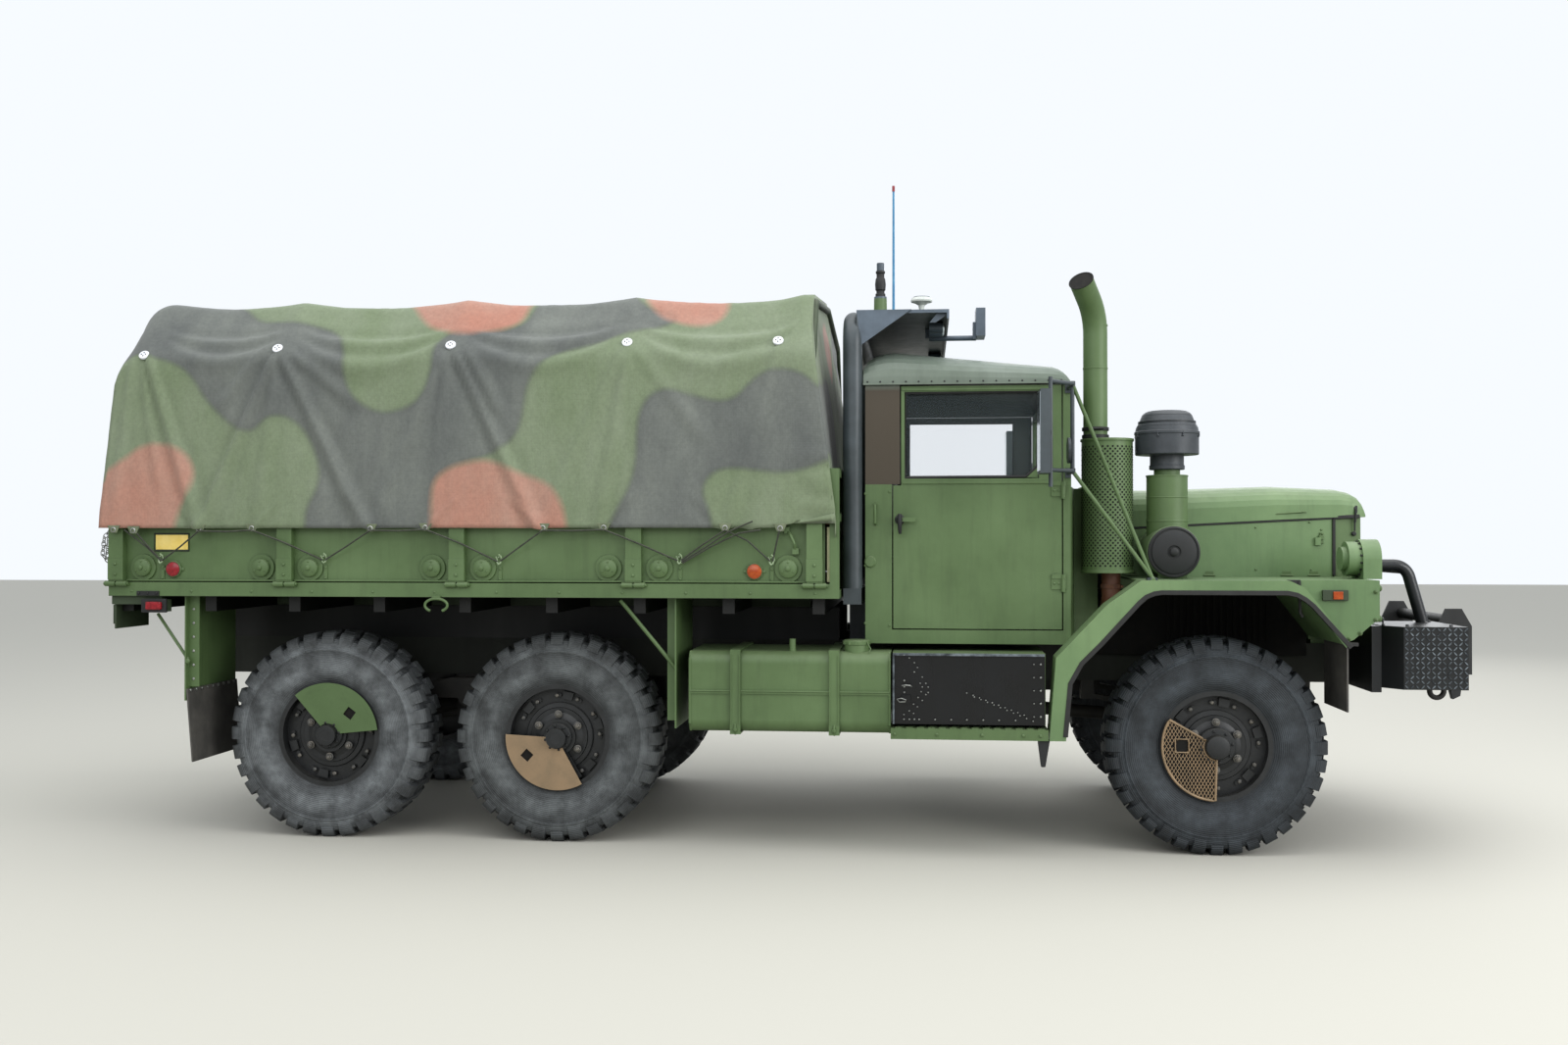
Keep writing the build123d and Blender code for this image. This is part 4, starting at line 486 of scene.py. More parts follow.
BOWS = (-5400, -4690, -3800, -2910, -1980)
COVER_HALF = ((1240, 1609), (1160, 2480), (940, 2790), (0, 2892))
COVER_REAR = -5636
COVER_FRONT = -1893
TIES = ((-5449, 2502), (-4738, 2530), (-3824, 2536), (-2912, 2538), (-2149, 2536))
FOLDS = (
    # start X, start Z, end X, end Z, height, width at the start, width at the end
    (-5449, 2560, -5105, 1600, 17, 26, 52),
    (-5470, 2520, -5330, 1850, 9, 24, 40),
    (-5540, 2450, -5560, 1700, 7, 30, 50),
    (-4745, 2510, -5095, 1620, 20, 24, 48),
    (-4790, 2560, -5010, 2250, 10, 26, 44),
    (-4720, 2520, -4235, 1610, 17, 26, 56),
    (-4700, 2540, -4300, 2240, 9, 28, 54),
    (-4738, 2470, -4790, 1640, 6, 30, 60),
    (-3840, 2520, -4190, 1640, 9, 26, 64),
    (-3800, 2520, -3345, 1605, 17, 24, 50),
    (-3760, 2560, -3560, 2200, 10, 24, 44),
    (-3824, 2480, -3905, 1640, 7, 26, 54),
    (-2925, 2520, -3320, 1640, 8, 26, 60),
    (-2900, 2520, -3035, 1650, 7, 24, 52),
    (-2890, 2540, -2520, 2060, 6, 28, 60),
    (-2149, 2500, -2395, 1620, 8, 24, 46),
    (-2170, 2560, -2420, 2440, 7, 24, 40),
    (-5250, 1760, -5105, 1600, 7, 22, 22),
    (-4690, 1740, -4819, 1600, 8, 20, 22),
    (-4330, 1780, -4197, 1600, 7, 22, 22),
    (-3760, 1760, -3923, 1600, 8, 20, 24),
    (-3480, 1760, -3331, 1600, 8, 20, 22),
    (-2880, 1770, -3024, 1600, 8, 20, 22),
    (-2560, 1760, -2408, 1600, 7, 20, 22),
)
SWAGS = (
    # sag at mid bay, height, width
    (52, -9, 30),
    (105, 13, 34),
    (165, -10, 36),
    (230, 9, 44),
)
EYELETS = (-5105, -4819, -4197, -3923, -3331, -3024, -2408, -2277)
GREY_SHAPES = (
    # outlines on the unrolled sheet: X, and the way round the cover from the ground up
    ((-5700, 2480), (-5700, 3150), (-5300, 3120), (-5100, 2960), (-5004, 2852), (-4887, 2738), (-4747, 2735),
     (-4575, 2709), (-4429, 2656), (-4376, 2484), (-4371, 2365), (-4305, 2259), (-4182, 2192), (-4049, 2212),
     (-3945, 2289), (-3913, 2425), (-3917, 2546), (-3851, 2644), (-3692, 2655), (-3483, 2687), (-3430, 2823),
     (-3400, 3010), (-3200, 3120), (-2950, 3010), (-2873, 2804), (-2669, 2752), (-2714, 2682), (-2867, 2639),
     (-3042, 2572), (-3194, 2533), (-3293, 2493), (-3373, 2419), (-3418, 2328), (-3433, 2211), (-3449, 2108),
     (-3502, 2036), (-3605, 1974), (-3722, 1944), (-3826, 1903), (-3882, 1839), (-3890, 1749), (-3874, 1500),
     (-4532, 1500), (-4550, 1699), (-4487, 1803), (-4478, 1907), (-4524, 2038), (-4596, 2143), (-4693, 2192),
     (-4787, 2171), (-4831, 2114), (-4906, 2104), (-5020, 2187), (-5121, 2294), (-5166, 2374), (-5253, 2455),
     (-5399, 2502), (-5551, 2540)),
    ((-3040, 1500), (-2936, 1708), (-2875, 1822), (-2849, 1949), (-2851, 2077), (-2838, 2200), (-2780, 2287),
     (-2691, 2307), (-2588, 2275), (-2446, 2238), (-2352, 2257), (-2282, 2341), (-2206, 2394), (-2105, 2403),
     (-1979, 2376), (-1903, 2311), (-1752, 2221), (-1751, 1968), (-1901, 1944), (-2001, 1899), (-2126, 1879),
     (-2252, 1895), (-2404, 1911), (-2492, 1866), (-2522, 1782), (-2477, 1694), (-2451, 1500)),
    ((-4900, 3350), (-4500, 3260), (-4150, 3420), (-4200, 3750), (-4600, 3860), (-4950, 3700)),
    ((-2700, 3500), (-2250, 3350), (-1750, 3420), (-1750, 3900), (-2300, 4000), (-2650, 3800)),
)
BROWN_SHAPES = (
    ((-5800, 1500), (-5800, 1830), (-5556, 1939), (-5451, 2031), (-5314, 2049), (-5202, 2003), (-5142, 1910),
     (-5163, 1792), (-5226, 1700), (-5249, 1500)),
    ((-3885, 1500), (-3890, 1749), (-3882, 1839), (-3826, 1903), (-3722, 1939), (-3591, 1954), (-3458, 1889),
     (-3301, 1836), (-3242, 1772), (-3206, 1683), (-3179, 1500)),
    ((-4150, 2960), (-3950, 3080), (-3600, 3090), (-3440, 2950), (-3458, 2861), (-3488, 2716), (-3613, 2664),
     (-3793, 2622), (-3910, 2670), (-4002, 2719)),
    ((-2880, 2900), (-2700, 3020), (-2450, 2990), (-2414, 2837), (-2444, 2729), (-2531, 2678), (-2664, 2698),
     (-2774, 2744)),
    ((-3600, 3350), (-3200, 3300), (-2900, 3480), (-3100, 3720), (-3550, 3650)),
    ((-5400, 3700), (-5100, 3560), (-4980, 3900), (-5150, 4150), (-5450, 4050)),
)
# The way round the cover to its ridge, the way that ends its walls, and twice the X of its middle stake
RIDGE = 3809.3
WALL_WAY = 2864
ABOUT_STAKE = -7520
SPRAY_EDGE = 60
SHEET_COLUMNS = 180
END_GREY = (
    # outlines on an end: Y and Z
    ((-1300, 2480), (-1080, 2450), (-820, 2560), (-500, 2600), (-300, 2760), (-420, 3000), (-1300, 3000)),
    ((1300, 1950), (1050, 1990), (700, 1900), (420, 2050), (360, 2300), (640, 2420), (900, 2330),
     (1300, 2320)),
    ((-500, 1500), (-480, 1800), (-200, 1950), (150, 1900), (260, 1700), (240, 1500)),
)
END_BROWN = (
    ((-1400, 1500), (-1300, 1850), (-1120, 1800), (-1050, 1650), (-1080, 1500)),
    ((100, 2420), (350, 2500), (420, 2700), (200, 2760), (-60, 2700), (-40, 2500)),
)

def rounded(corners, spacing, reach):
    """Walk along a line of corners at a spacing and ease each corner over a reach."""
    walk = []
    for (y0, z0), (y1, z1) in zip(corners, corners[1:]):
        steps = max(1, round(math.hypot(y1 - y0, z1 - z0) / spacing))
        walk += [(y0 + (y1 - y0) * i / steps, z0 + (z1 - z0) * i / steps) for i in range(steps)]
    walk.append(corners[-1])
    for _ in range(int((reach / spacing) ** 2 / 2)):
        eased = [
            tuple(a * 0.25 + b * 0.5 + c * 0.25 for a, b, c in zip(*walk[i - 1:i + 2]))
            for i in range(1, len(walk) - 1)
        ]
        walk = [walk[0]] + eased + [walk[-1]]
    return walk


def hump(offset, width):
    """Give a smooth rise that is 1 in the middle and fades over a width."""
    return math.exp(-(offset / width) ** 2)


def ramp(value, start, run):
    """Give a share that climbs from 0 to 1 over a run from its start."""
    return min(max((value - start) / run, 0.0), 1.0)


def bay_of(x):
    """Give how far a place lies along its bay, from 0 at one bow to 1 at the next, and the bay's scale."""
    for start, end in zip(BOWS, BOWS[1:]):
        if start <= x <= end:
            return (x - start) / (end - start), (end - start) / 900.0
    return 0.0, 0.0


def fold_rise(x, height):
    """Give how far the folds of a side stand out at a place, in the side's own height."""
    rise = 0.0
    for x0, z0, x1, z1, tall, wide0, wide1 in FOLDS:
        run, drop = x1 - x0, z1 - z0
        length = math.hypot(run, drop)
        along = ((x - x0) * run + (height - z0) * drop) / length ** 2
        if -0.12 < along < 1.1:
            off = ((x - x0) * drop - (height - z0) * run) / length
            wide = (wide0 + (wide1 - wide0) * min(max(along, 0.0), 1.0)) * 0.72
            fade = min(1.0, (along + 0.12) / 0.2, (1.1 - along) / 0.12)
            # A fold is a crest between two shallow troughs
            troughs = 0.55 * hump(off - wide * 1.5, wide) + 0.35 * hump(off + wide * 1.6, wide)
            rise += 1.35 * tall * fade * (hump(off, wide) - troughs)
    return rise


def swag_rise(x, height):
    """Give how far the swags that hang between two bow tops stand out."""
    part, scale = bay_of(x)
    if not scale:
        return 0.0
    hang = 4 * part * (1 - part)
    rise = 0.0
    for sag, tall, wide in SWAGS:
        line = 2700 - sag * hang * scale - 20 * (sag / 100)
        rise += 1.4 * tall * math.sqrt(hang) * hump(height - line, wide * (0.6 + 0.4 * hang))
    return rise


def cover_rise(x, way, side):
    """Give how far the sheet stands out of its even line, in millimetres."""
    part, scale = bay_of(x)
    hang = 4 * part * (1 - part) * scale
    roof = ramp(way, 2500, 250)
    wall = min(max((2620 - way) / 160, 0.0), 1.0)
    rise = -(10 + 26 * roof) * hang + swag_rise(x, way) * (1 - 0.4 * roof) + fold_rise(x, way) * wall
    # The roof lies 9 mm over the bows, and its slack is least where they hold it
    loose = 1 - 0.85 * roof * (1 - min(hang, 1.0))
    rise += 9.0 * roof + noise.noise(Vector((x * 0.0045, way * 0.0022, side * 7.0))) * 5.0 * loose
    rise += noise.noise(Vector((x * 0.018, way * 0.011, side * 3.0))) * 2.6 * loose
    # The lower front corner is crumpled
    front = ramp(x, -2150, 180) * min(max((2100 - way) / 250, 0.0), 1.0)
    rise += front * 15 * noise.noise(Vector((x * 0.006, way * 0.016, 4.0 + side)))
    return rise


def both_sides(outlines):
    """Add each wall's outline on the other side, turned end for end."""
    walls = [outline for outline in outlines if min(p[1] for p in outline) < WALL_WAY]
    return list(outlines) + [
        [(ABOUT_STAKE - x, 2 * RIDGE - way) for x, way in outline] for outline in walls]


def sprayed_depth(places, outlines):
    """Give how far inside eased outlines each place lies: 0.5 on the edge, 1 from 30 mm in."""
    spots = numpy.array(places)
    depth = numpy.full(len(spots), -1e6)
    for outline in outlines:
        ring = numpy.array(outline, dtype=float)
        for _ in range(2):
            after = numpy.roll(ring, -1, axis=0)
            cut = [ring * 0.75 + after * 0.25, ring * 0.25 + after * 0.75]
            ring = numpy.stack(cut, axis=1).reshape(-1, 2)
        low, high = ring.min(axis=0) - SPRAY_EDGE, ring.max(axis=0) + SPRAY_EDGE
        near = numpy.all((spots > low) & (spots < high), axis=1)
        if not near.any():
            continue
        x, z = spots[near].T
        inside = numpy.zeros(len(x), dtype=bool)
        gap = numpy.full(len(x), 1e6)
        for (x0, z0), (x1, z1) in zip(ring, numpy.roll(ring, -1, axis=0)):
            run, climb = x1 - x0, z1 - z0
            if climb:
                inside ^= ((z0 > z) != (z1 > z)) & (x < x0 + (z - z0) * run / climb)
            part = numpy.clip(((x - x0) * run + (z - z0) * climb) / (run ** 2 + climb ** 2), 0, 1)
            gap = numpy.minimum(gap, numpy.hypot(x - x0 - part * run, z - z0 - part * climb))
        depth[near] = numpy.maximum(depth[near], numpy.where(inside, gap, -gap))
    return list(numpy.clip(depth / SPRAY_EDGE + 0.5, 0, 1))


def cover_section():
    """Give the section across the cover, its normals that point out, and the way up each side."""
    half = rounded(COVER_HALF, 22.0, 62.0)
    section = [(-y, z) for y, z in half] + [(y, z) for y, z in reversed(half[:-1])]
    ways = [COVER_HALF[0][1]]
    travel = 0.0
    for (y0, z0), (y1, z1) in zip(half, half[1:]):
        travel += math.hypot(y1 - y0, z1 - z0)
        ways.append(COVER_HALF[0][1] + travel)
    ways += ways[-2::-1]
    normals = []
    for i in range(len(section)):
        y0, z0 = section[max(i - 1, 0)]
        y1, z1 = section[min(i + 1, len(section) - 1)]
        normals.append(Vector((z0 - z1, y1 - y0)).normalized())
    return section, normals, ways


def sheet_point(x, y, z, normal, way):
    """Give where one point of the sheet hangs: folded, rounded down behind and leant at its ends."""
    side = -1 if y < 0 else 1
    rise = cover_rise(x, way, side)
    rear_near = max(0.0, 1 - (x - COVER_REAR) / 225.0)
    front_near = max(0.0, 1 - (COVER_FRONT - x) / 260.0)
    drop = 95.0 * (1 - math.sqrt(max(0.0, 1 - rear_near ** 2))) * ramp(way, 2350, 420)
    top = ramp(z, 1700, 900)
    lean = 55.0 * rear_near * top + front_near * (34.0 - 126.0 * top)
    hem = 0.0
    if z < 1625:
        hem = 72 * front_near - 11 * max(hump(x - e if side < 0 else -7380 - x - e, 26) for e in EYELETS)
    out = y + normal.x * rise - side * drop * 0.5
    return ahead(x + lean), out, z + normal.y * rise - drop * 1.9 + hem * (1 if z < 1612 else 0.6)


def cover_sheet():
    """Lay the sheet over the bows in rows across the truck, then turn it down behind."""
    section, normals, ways = cover_section()
    shape = Shape()
    places = []
    rows = []
    for c in range(SHEET_COLUMNS + 1):
        x = COVER_REAR + (COVER_FRONT - COVER_REAR) * c / SHEET_COLUMNS
        rows.append([sheet_point(x, *spot, normal, way) for spot, normal, way in zip(section, normals, ways)])
        places += [(x, way if y < 0 else 2 * RIDGE - way) for (y, _), way in zip(section, ways)]
    shape.loops(rows, round_trip=False, capped=False)
    grey = sprayed_depth(places, both_sides(GREY_SHAPES))
    brown = sprayed_depth(places, both_sides(BROWN_SHAPES))
    return shape, rows[0], ways, grey, brown


def end_patch(ring, ways, bottom_z, inner_y, bulge):
    """Fill an end of the cover with a sheet that starts from its edge ring."""
    reach = COVER_HALF[0][1] + 1190
    k = max(i for i in range(len(ring) // 2) if ways[i] <= reach)
    right = [Vector(p) for p in ring[:k + 1]]
    left = [Vector(p) for p in ring[::-1][:k + 1]]
    top = [Vector(p) for p in ring[k:len(ring) - k]]
    last = len(top) - 1
    rows = []
    for r in range(k + 1):
        v = r / k
        row = []
        for c in range(last + 1):
            u = c / last
            foot = right[0].lerp(left[0], u)
            foot.z = right[0].z
            if abs(foot.y) < inner_y:
                foot.z += (bottom_z - foot.z) * min(1.0, (inner_y - abs(foot.y)) / 30.0)
            plain = foot.lerp(top[c], v) + right[r].lerp(left[r], u)
            point = plain - right[0].lerp(left[0], u).lerp(right[k].lerp(left[k], u), v)
            edge = min(u, 1 - u, 0.5) * 2
            soft = min(1.0, edge * 6) * min(1.0, (1 - v) * 5 + 0.02)
            wave = noise.noise(Vector((point.y * 0.006, point.z * 0.0014, bulge)))
            crease = hump(point.y - 40 - 0.05 * (point.z - 1600), 26)
            point.x += bulge * soft * (0.7 + 0.6 * wave + 0.5 * crease)
            row.append(tuple(point))
        rows.append(row)
    return rows


def sprayed_canvas():
    """Vinyl-coated cotton duck, sprayed in green, grey and brown patches with soft edges."""
    material, tree, shader, place = blank("camouflaged_cotton_duck")
    grey = put(tree, "Attribute", out="Fac", attribute_name="grey")
    brown = put(tree, "Attribute", out="Fac", attribute_name="brown")
    hanging = put(tree, "Mapping", {"Vector": place, "Scale": (1.0, 1.0, 0.4)})
    cloud = put(tree, "TexNoise", {"Scale": per(300), "Detail": 5.0, "Roughness": 0.62, "Vector": hanging})
    scuff = put(tree, "TexNoise", {"Scale": per(18), "Detail": 5.0, "Roughness": 0.7, "Vector": place})
    grey_share = put(tree, "MapRange", {0: grey, 1: 0.25, 2: 0.75})
    coat = put(tree, "Mix", {0: grey_share, 6: "606e50", 7: "4a4d4d"}, **RGBA)
    brown_share = put(tree, "MapRange", {0: brown, 1: 0.15, 2: 0.85})
    coat = put(tree, "Mix", {0: brown_share, 6: coat, 7: "9d6a59"}, **RGBA)
    fading = put(tree, "MapRange", {0: cloud, 1: 0.3, 2: 0.75, 3: 0.08, 4: 0.36})
    coat = put(tree, "Mix", {0: fading, 6: coat, 7: "959a8e"}, **RGBA)
    wear = put(tree, "MapRange", {0: scuff, 1: 0.3, 2: 0.7, 3: 0.86, 4: 1.12})
    coat = put(tree, "Mix", {0: 0.8, 6: coat, 7: wear}, **OVER)
    # Overspray lies darker along the edge of each grey patch
    from_edge = put(tree, "Math", {0: grey, 1: 0.5}, operation="PINGPONG")
    overspray = put(tree, "MapRange", {0: from_edge, 1: 0.0, 2: 0.5, 3: 1.0, 4: 0.84})
    coat = put(tree, "Mix", {0: 1.0, 6: coat, 7: overspray}, **OVER)
    # The real thread spacing is 0.7 mm, drawn at 4 mm so that it shows
    thread = {"Scale": per(4) / 6.28, "Distortion": 0.6, "Detail": 1.0, "Vector": place}
    warp = put(tree, "TexWave", thread, "Fac", bands_direction="X")
    weft = put(tree, "TexWave", thread, "Fac", bands_direction="Z")
    threads = put(tree, "Math", {0: warp, 1: weft}, operation="ADD")
    weave = put(tree, "Bump", {"Strength": 0.16, "Distance": 0.001, "Height": threads})
    crumple = put(tree, "TexNoise", {"Scale": per(70), "Detail": 5.0, "Roughness": 0.6, "Vector": hanging})
    relief = put(tree, "Bump", {"Strength": 0.45, "Distance": 0.009, "Height": crumple, "Normal": weave})
    tree.links.new(coat, shader.inputs["Base Color"])
    tree.links.new(relief, shader.inputs["Normal"])
    shader.inputs["Roughness"].default_value = 0.78
    shader.inputs["Sheen Weight"].default_value = 0.15
    return material


def make_cover():
    """Make the cover as one sheet with its two ends."""
    shape, rear_ring, ways, grey, brown = cover_sheet()
    front_ring = shape.points[-len(rear_ring):]
    for ring, bottom, inner, bulge, turn in (
        # edge ring, lower edge, half width inside the corners, bulge, the way its patches face
        (rear_ring, 1658, 1165, -14, 1),
        (front_ring, 1612, 1300, 8, -1),
    ):
        rows = end_patch(ring, ways, bottom, inner, bulge)
        shape.loops(rows, round_trip=False, capped=False)
        places = [(turn * y, z) for row in rows for _, y, z in row]
        grey += sprayed_depth(places, END_GREY)
        brown += sprayed_depth(places, END_BROWN)
    mesh = bpy.data.meshes.new("cover_sheet")
    mesh.from_pydata([Vector(p) * 0.001 for p in shape.points], [], shape.faces)
    for name, values in (("grey", grey), ("brown", brown)):
        mesh.attributes.new(name, "FLOAT", "POINT").data.foreach_set("value", values)
    work = bmesh.new()
    work.from_mesh(mesh)
    bmesh.ops.remove_doubles(work, verts=work.verts, dist=0.0005)
    bmesh.ops.recalc_face_normals(work, faces=work.faces)
    work.to_mesh(mesh)
    work.free()
    mesh.materials.append(sprayed_canvas())
    mesh.shade_smooth()
    cover = bpy.data.objects.new("cover_sheet", mesh)
    bpy.context.scene.collection.objects.link(cover)
    cloth = cover.modifiers.new("cloth", "SOLIDIFY")
    cloth.thickness = 0.0025
    cloth.offset = 0.0
    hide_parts("canvas_cover")
    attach(cover, "chassis")


make_cover()


# Tyres: a lathe-turned carcass under rows of moulded blocks

CARCASS = (
    # radius, Y across the tyre
    (262, 100), (264, 112), (270, 121), (280, 126), (292, 129), (300, 134), (318, 138), (350, 143),
    (385, 146), (420, 147), (438, 147), (440, 149), (447, 149), (449, 146), (468, 143), (484, 137),
    (498, 128), (505, 115), (508, 80), (509, 30),
)
CAVITY = ((470, 118), (400, 128), (300, 112), (268, 92))
BLOCK_KINDS = {
    # pitch count, block share, short block's foot, long block's foot
    "front": (36, 0.8, 490, 466),
    "middle": (32, 0.78, 490, 462),
    "rear": (32, 0.78, 488, 458),
}
SHOULDER_BLOCK = ((52, 535, 500), (96, 535, 500), (117, 532, 497), (131, 521, 486), (139, 506, 474))
CENTRE_BLOCK = ((-40, 535, 500), (0, 535, 500), (40, 535, 500))
SIDE_PAD = ((145, 450, 434), (150, 448, 436))
DUST_RINGS = (
    # radius in metres, share of dust
    (0.262, 0.2), (0.29, 0.5), (0.345, 1.0), (0.40, 0.72), (0.432, 0.5), (0.447, 0.95), (0.48, 0.6),
    (0.53, 0.45),
)


def carcass_row(angle):
    """Give the closed outline of the carcass at an angle round the wheel."""
    half = list(CARCASS)
    outline = half + [(r, -y) for r, y in reversed(half)]
    outline += [(r, -y) for r, y in reversed(CAVITY)] + list(CAVITY)
    return [(r * math.sin(angle), y, -r * math.cos(angle)) for r, y in outline]


def add_block(shape, stations, angle, half_turn, side):
    """Add one tread block along its stations of Y, top radius and foot radius."""
    crown = half_turn * 0.88
    rows = []
    for y, top, foot in stations:
        corners = ((top, angle - crown), (top, angle + crown), (foot, angle + half_turn),
                   (foot, angle - half_turn))
        row = [(radius * math.sin(at), side * y, -radius * math.cos(at)) for radius, at in corners]
        rows.append(row if side > 0 else row[::-1])
    shape.loops(rows)


def tyre_shape(kind):
    """Make one tyre about its own centre."""
    count, share, short_foot, long_foot = BLOCK_KINDS[kind]
    shape = Shape()
    steps = 96
    shape.loops([carcass_row(math.tau * i / steps) for i in range(steps)], ringed=True)
    pitch = math.tau / count
    half_turn = pitch * share / 2
    for i in range(count):
        long_block = i % 2
        foot = long_foot if long_block else short_foot
        reach = 146 if long_block else 141
        outer = SHOULDER_BLOCK + ((reach, foot + 8, foot - 12), (reach - 1, foot, foot - 14))
        for side in SIDES:
            angle = pitch * (i + (0.5 if side > 0 else 0.0))
            add_block(shape, outer, angle, half_turn * (1.0 if long_block else 0.9), side)
        for side in SIDES:
            for part in (0.12, 0.62):
                add_block(shape, SIDE_PAD, pitch * (i + part), pitch * 0.15, side)
        add_block(shape, CENTRE_BLOCK, pitch * (i + 0.25), half_turn * 0.8, 1)
    return shape


def rubber(name, deep, dusty, dust_share):
    """Vulcanised tyre rubber: dark blocks, and a sidewall that dust and sun have greyed in rings."""
    material, tree, shader, place = blank(name)
    across = put(tree, "VectorMath", {0: place, 1: (1.0, 0.0, 1.0)}, operation="MULTIPLY")
    radius = put(tree, "VectorMath", {0: across}, "Value", operation="LENGTH")
    rings = put(tree, "ValToRGB", {0: radius})
    stops = rings.node.color_ramp.elements
    while len(stops) < len(DUST_RINGS):
        stops.new(0.5)
    for stop, (at, share) in zip(stops, DUST_RINGS):
        stop.position = at
        stop.color = (share, share, share, 1.0)
    clouds = put(tree, "TexNoise", {"Scale": per(110), "Detail": 6.0, "Roughness": 0.68, "Vector": place})
    blotch = put(tree, "MapRange", {0: clouds, 1: 0.34, 2: 0.66, 3: 0.35, 4: 1.15})
    share = put(tree, "Math", {0: rings, 1: blotch}, operation="MULTIPLY")
    film = put(tree, "Math", {0: share, 1: dust_share}, operation="MULTIPLY", use_clamp=True)
    coat = put(tree, "Mix", {0: film, 6: deep, 7: dusty}, **RGBA)
    grain = put(tree, "TexNoise", {"Scale": per(7), "Detail": 4.0, "Vector": place})
    fine = put(tree, "Bump", {"Strength": 0.35, "Distance": 0.0012, "Height": grain})
    # Moulded rings 9 mm apart run round the sidewall
    turn = put(tree, "Math", {0: radius, 1: math.tau * per(9)}, operation="MULTIPLY")
    wave = put(tree, "Math", {0: turn}, operation="SINE")
    ribs = put(tree, "Bump", {"Strength": 0.45, "Distance": 0.002, "Height": wave, "Normal": fine})
    tree.links.new(coat, shader.inputs["Base Color"])
    tree.links.new(ribs, shader.inputs["Normal"])
    shader.inputs["Roughness"].default_value = 0.68
    return material


TYRE_RUBBER = {
    "front": rubber("carbon_black_rubber_cleaner", "0f1214", "474d52", 0.78),
    "middle": rubber("carbon_black_rubber_dusty", "151617", "686c6d", 0.9),
    "rear": rubber("carbon_black_rubber_pale", "161718", "74787a", 0.95),
}


def make_tyres():
    """Put a tyre on each wheel."""
    treads = {kind: skin("tread_" + kind, tyre_shape(kind), TYRE_RUBBER[kind], 28) for kind in BLOCK_KINDS}
    for name, x, side in WHEELS:
        tread = treads[name.split("_")[0]]
        item = show("tread_" + name, tread, "wheel_" + name, (x, side * HALF_TRACK, AXLE_Z), 2.5)
        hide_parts("tyre_" + name)


make_tyres()


# Wheels: a sheet-metal guard before each disc, its nuts, rim bolts and hub cap

GUARD_RADIUS = 268.0
GUARD_HUB = 58.0
GUARD_OUT = 137.0
WHEEL_GUARDS = {
    # start and end in degrees from straight ahead, place of the opening, its turn, its half diagonal
    "front": (150.0, 268.0, (-168.0, 4.0), 45.0, 38.0),
    "middle": (177.0, 299.0, (-156.0, -91.0), 4.0, 35.0),
    "rear": (6.0, 131.0, (118.0, 112.0), 8.0, 36.0),
}
# The front guard's near-black backing is painted shade seen through its lattice
GUARD_FINISH = {"front": SOOT_AND_SHADE, "middle": TAN, "rear": GREEN}
STRAND_GAP = 15.0
STRAND_STEP = 4
HUB_CAPS = {
    # radius and height of the cap's profile, then the radius of its bolts
    "front": (((92, 62), (92, 128), (86, 134), (62, 136), (60, 162), (56, 170), (40, 176), (20, 178),
               (0, 178.5)), 76),
    "driven": (((74, 62), (74, 128), (70, 133), (52, 134), (50, 160), (46, 166), (28, 166), (26, 158),
                (0, 158)), 62),
}
DISC_STEPS = ((176, 66), (176, 74), (172, 78), (150, 80), (148, 76), (110, 92), (96, 96), (0, 97))
DISC_CLIP = ((196, 66), (196, 86), (236, 86), (236, 66))
OUT = (0, -1, 0)


def cut_sheet(name, outlines, thick, finish, edge=0.8):
    """Cut a flat sheet in the X and Y plane from an outline and the holes in it."""
    curve = bpy.data.curves.new(name, "CURVE")
    curve.dimensions = "2D"
    curve.fill_mode = "BOTH"
    curve.extrude = thick * 0.0005
    curve.bevel_depth = edge * 0.001
    for outline in outlines:
        spline = curve.splines.new("POLY")
        spline.points.add(len(outline) - 1)
        for point, (u, v) in zip(spline.points, outline):
            point.co = (u * 0.001, v * 0.001, 0.0, 1.0)
        spline.use_cyclic_u = True
    holder = bpy.data.objects.new(name, curve)
    mesh = bpy.data.meshes.new_from_object(holder)
    bpy.data.objects.remove(holder)
    bpy.data.curves.remove(curve)
    mesh.name = name
    mesh.materials.clear()
    mesh.materials.append(finish)
    mesh.shade_smooth()
    mesh.set_sharp_from_angle(angle=math.radians(30))
    return mesh


def ring_points(radius, sides, centre=(0.0, 0.0), start=0.0, sweep=360.0, closed=True):
    """Give points on an arc about a centre, by degrees."""
    steps = sides if closed else sides - 1
    spokes = [spoke(radius, start + sweep * i / steps) for i in range(sides)]
    return [(centre[0] + u, centre[1] + v) for u, v in spokes]


def sector(start, end, outer, hub):
    """Give the outline of a sector whose inner corner is cut round the hub."""
    return ring_points(outer, 40, start=start, sweep=end - start, closed=False) + ring_points(
        hub, 12, start=end, sweep=start - end, closed=False)


def inside_sector(u, v, start, end, low, high, margin):
    """Tell whether a point lies in a sector, clear of its edges by a margin."""
    radius = math.hypot(u, v)
    if not low < radius < high:
        return False
    room = math.degrees(margin / radius)
    return start + room < math.degrees(math.atan2(v, u)) % 360 < end - room


def guard_outlines(kind):
    """Give the outline of a wheel guard and its hole; the front one is a plain backing."""
    start, end, place, turn, half = WHEEL_GUARDS[kind]
    if kind == "front":
        return [sector(start, end, GUARD_RADIUS - 6, GUARD_HUB + 6)]
    return [sector(start, end, GUARD_RADIUS, GUARD_HUB), ring_points(half, 4, place, turn)]


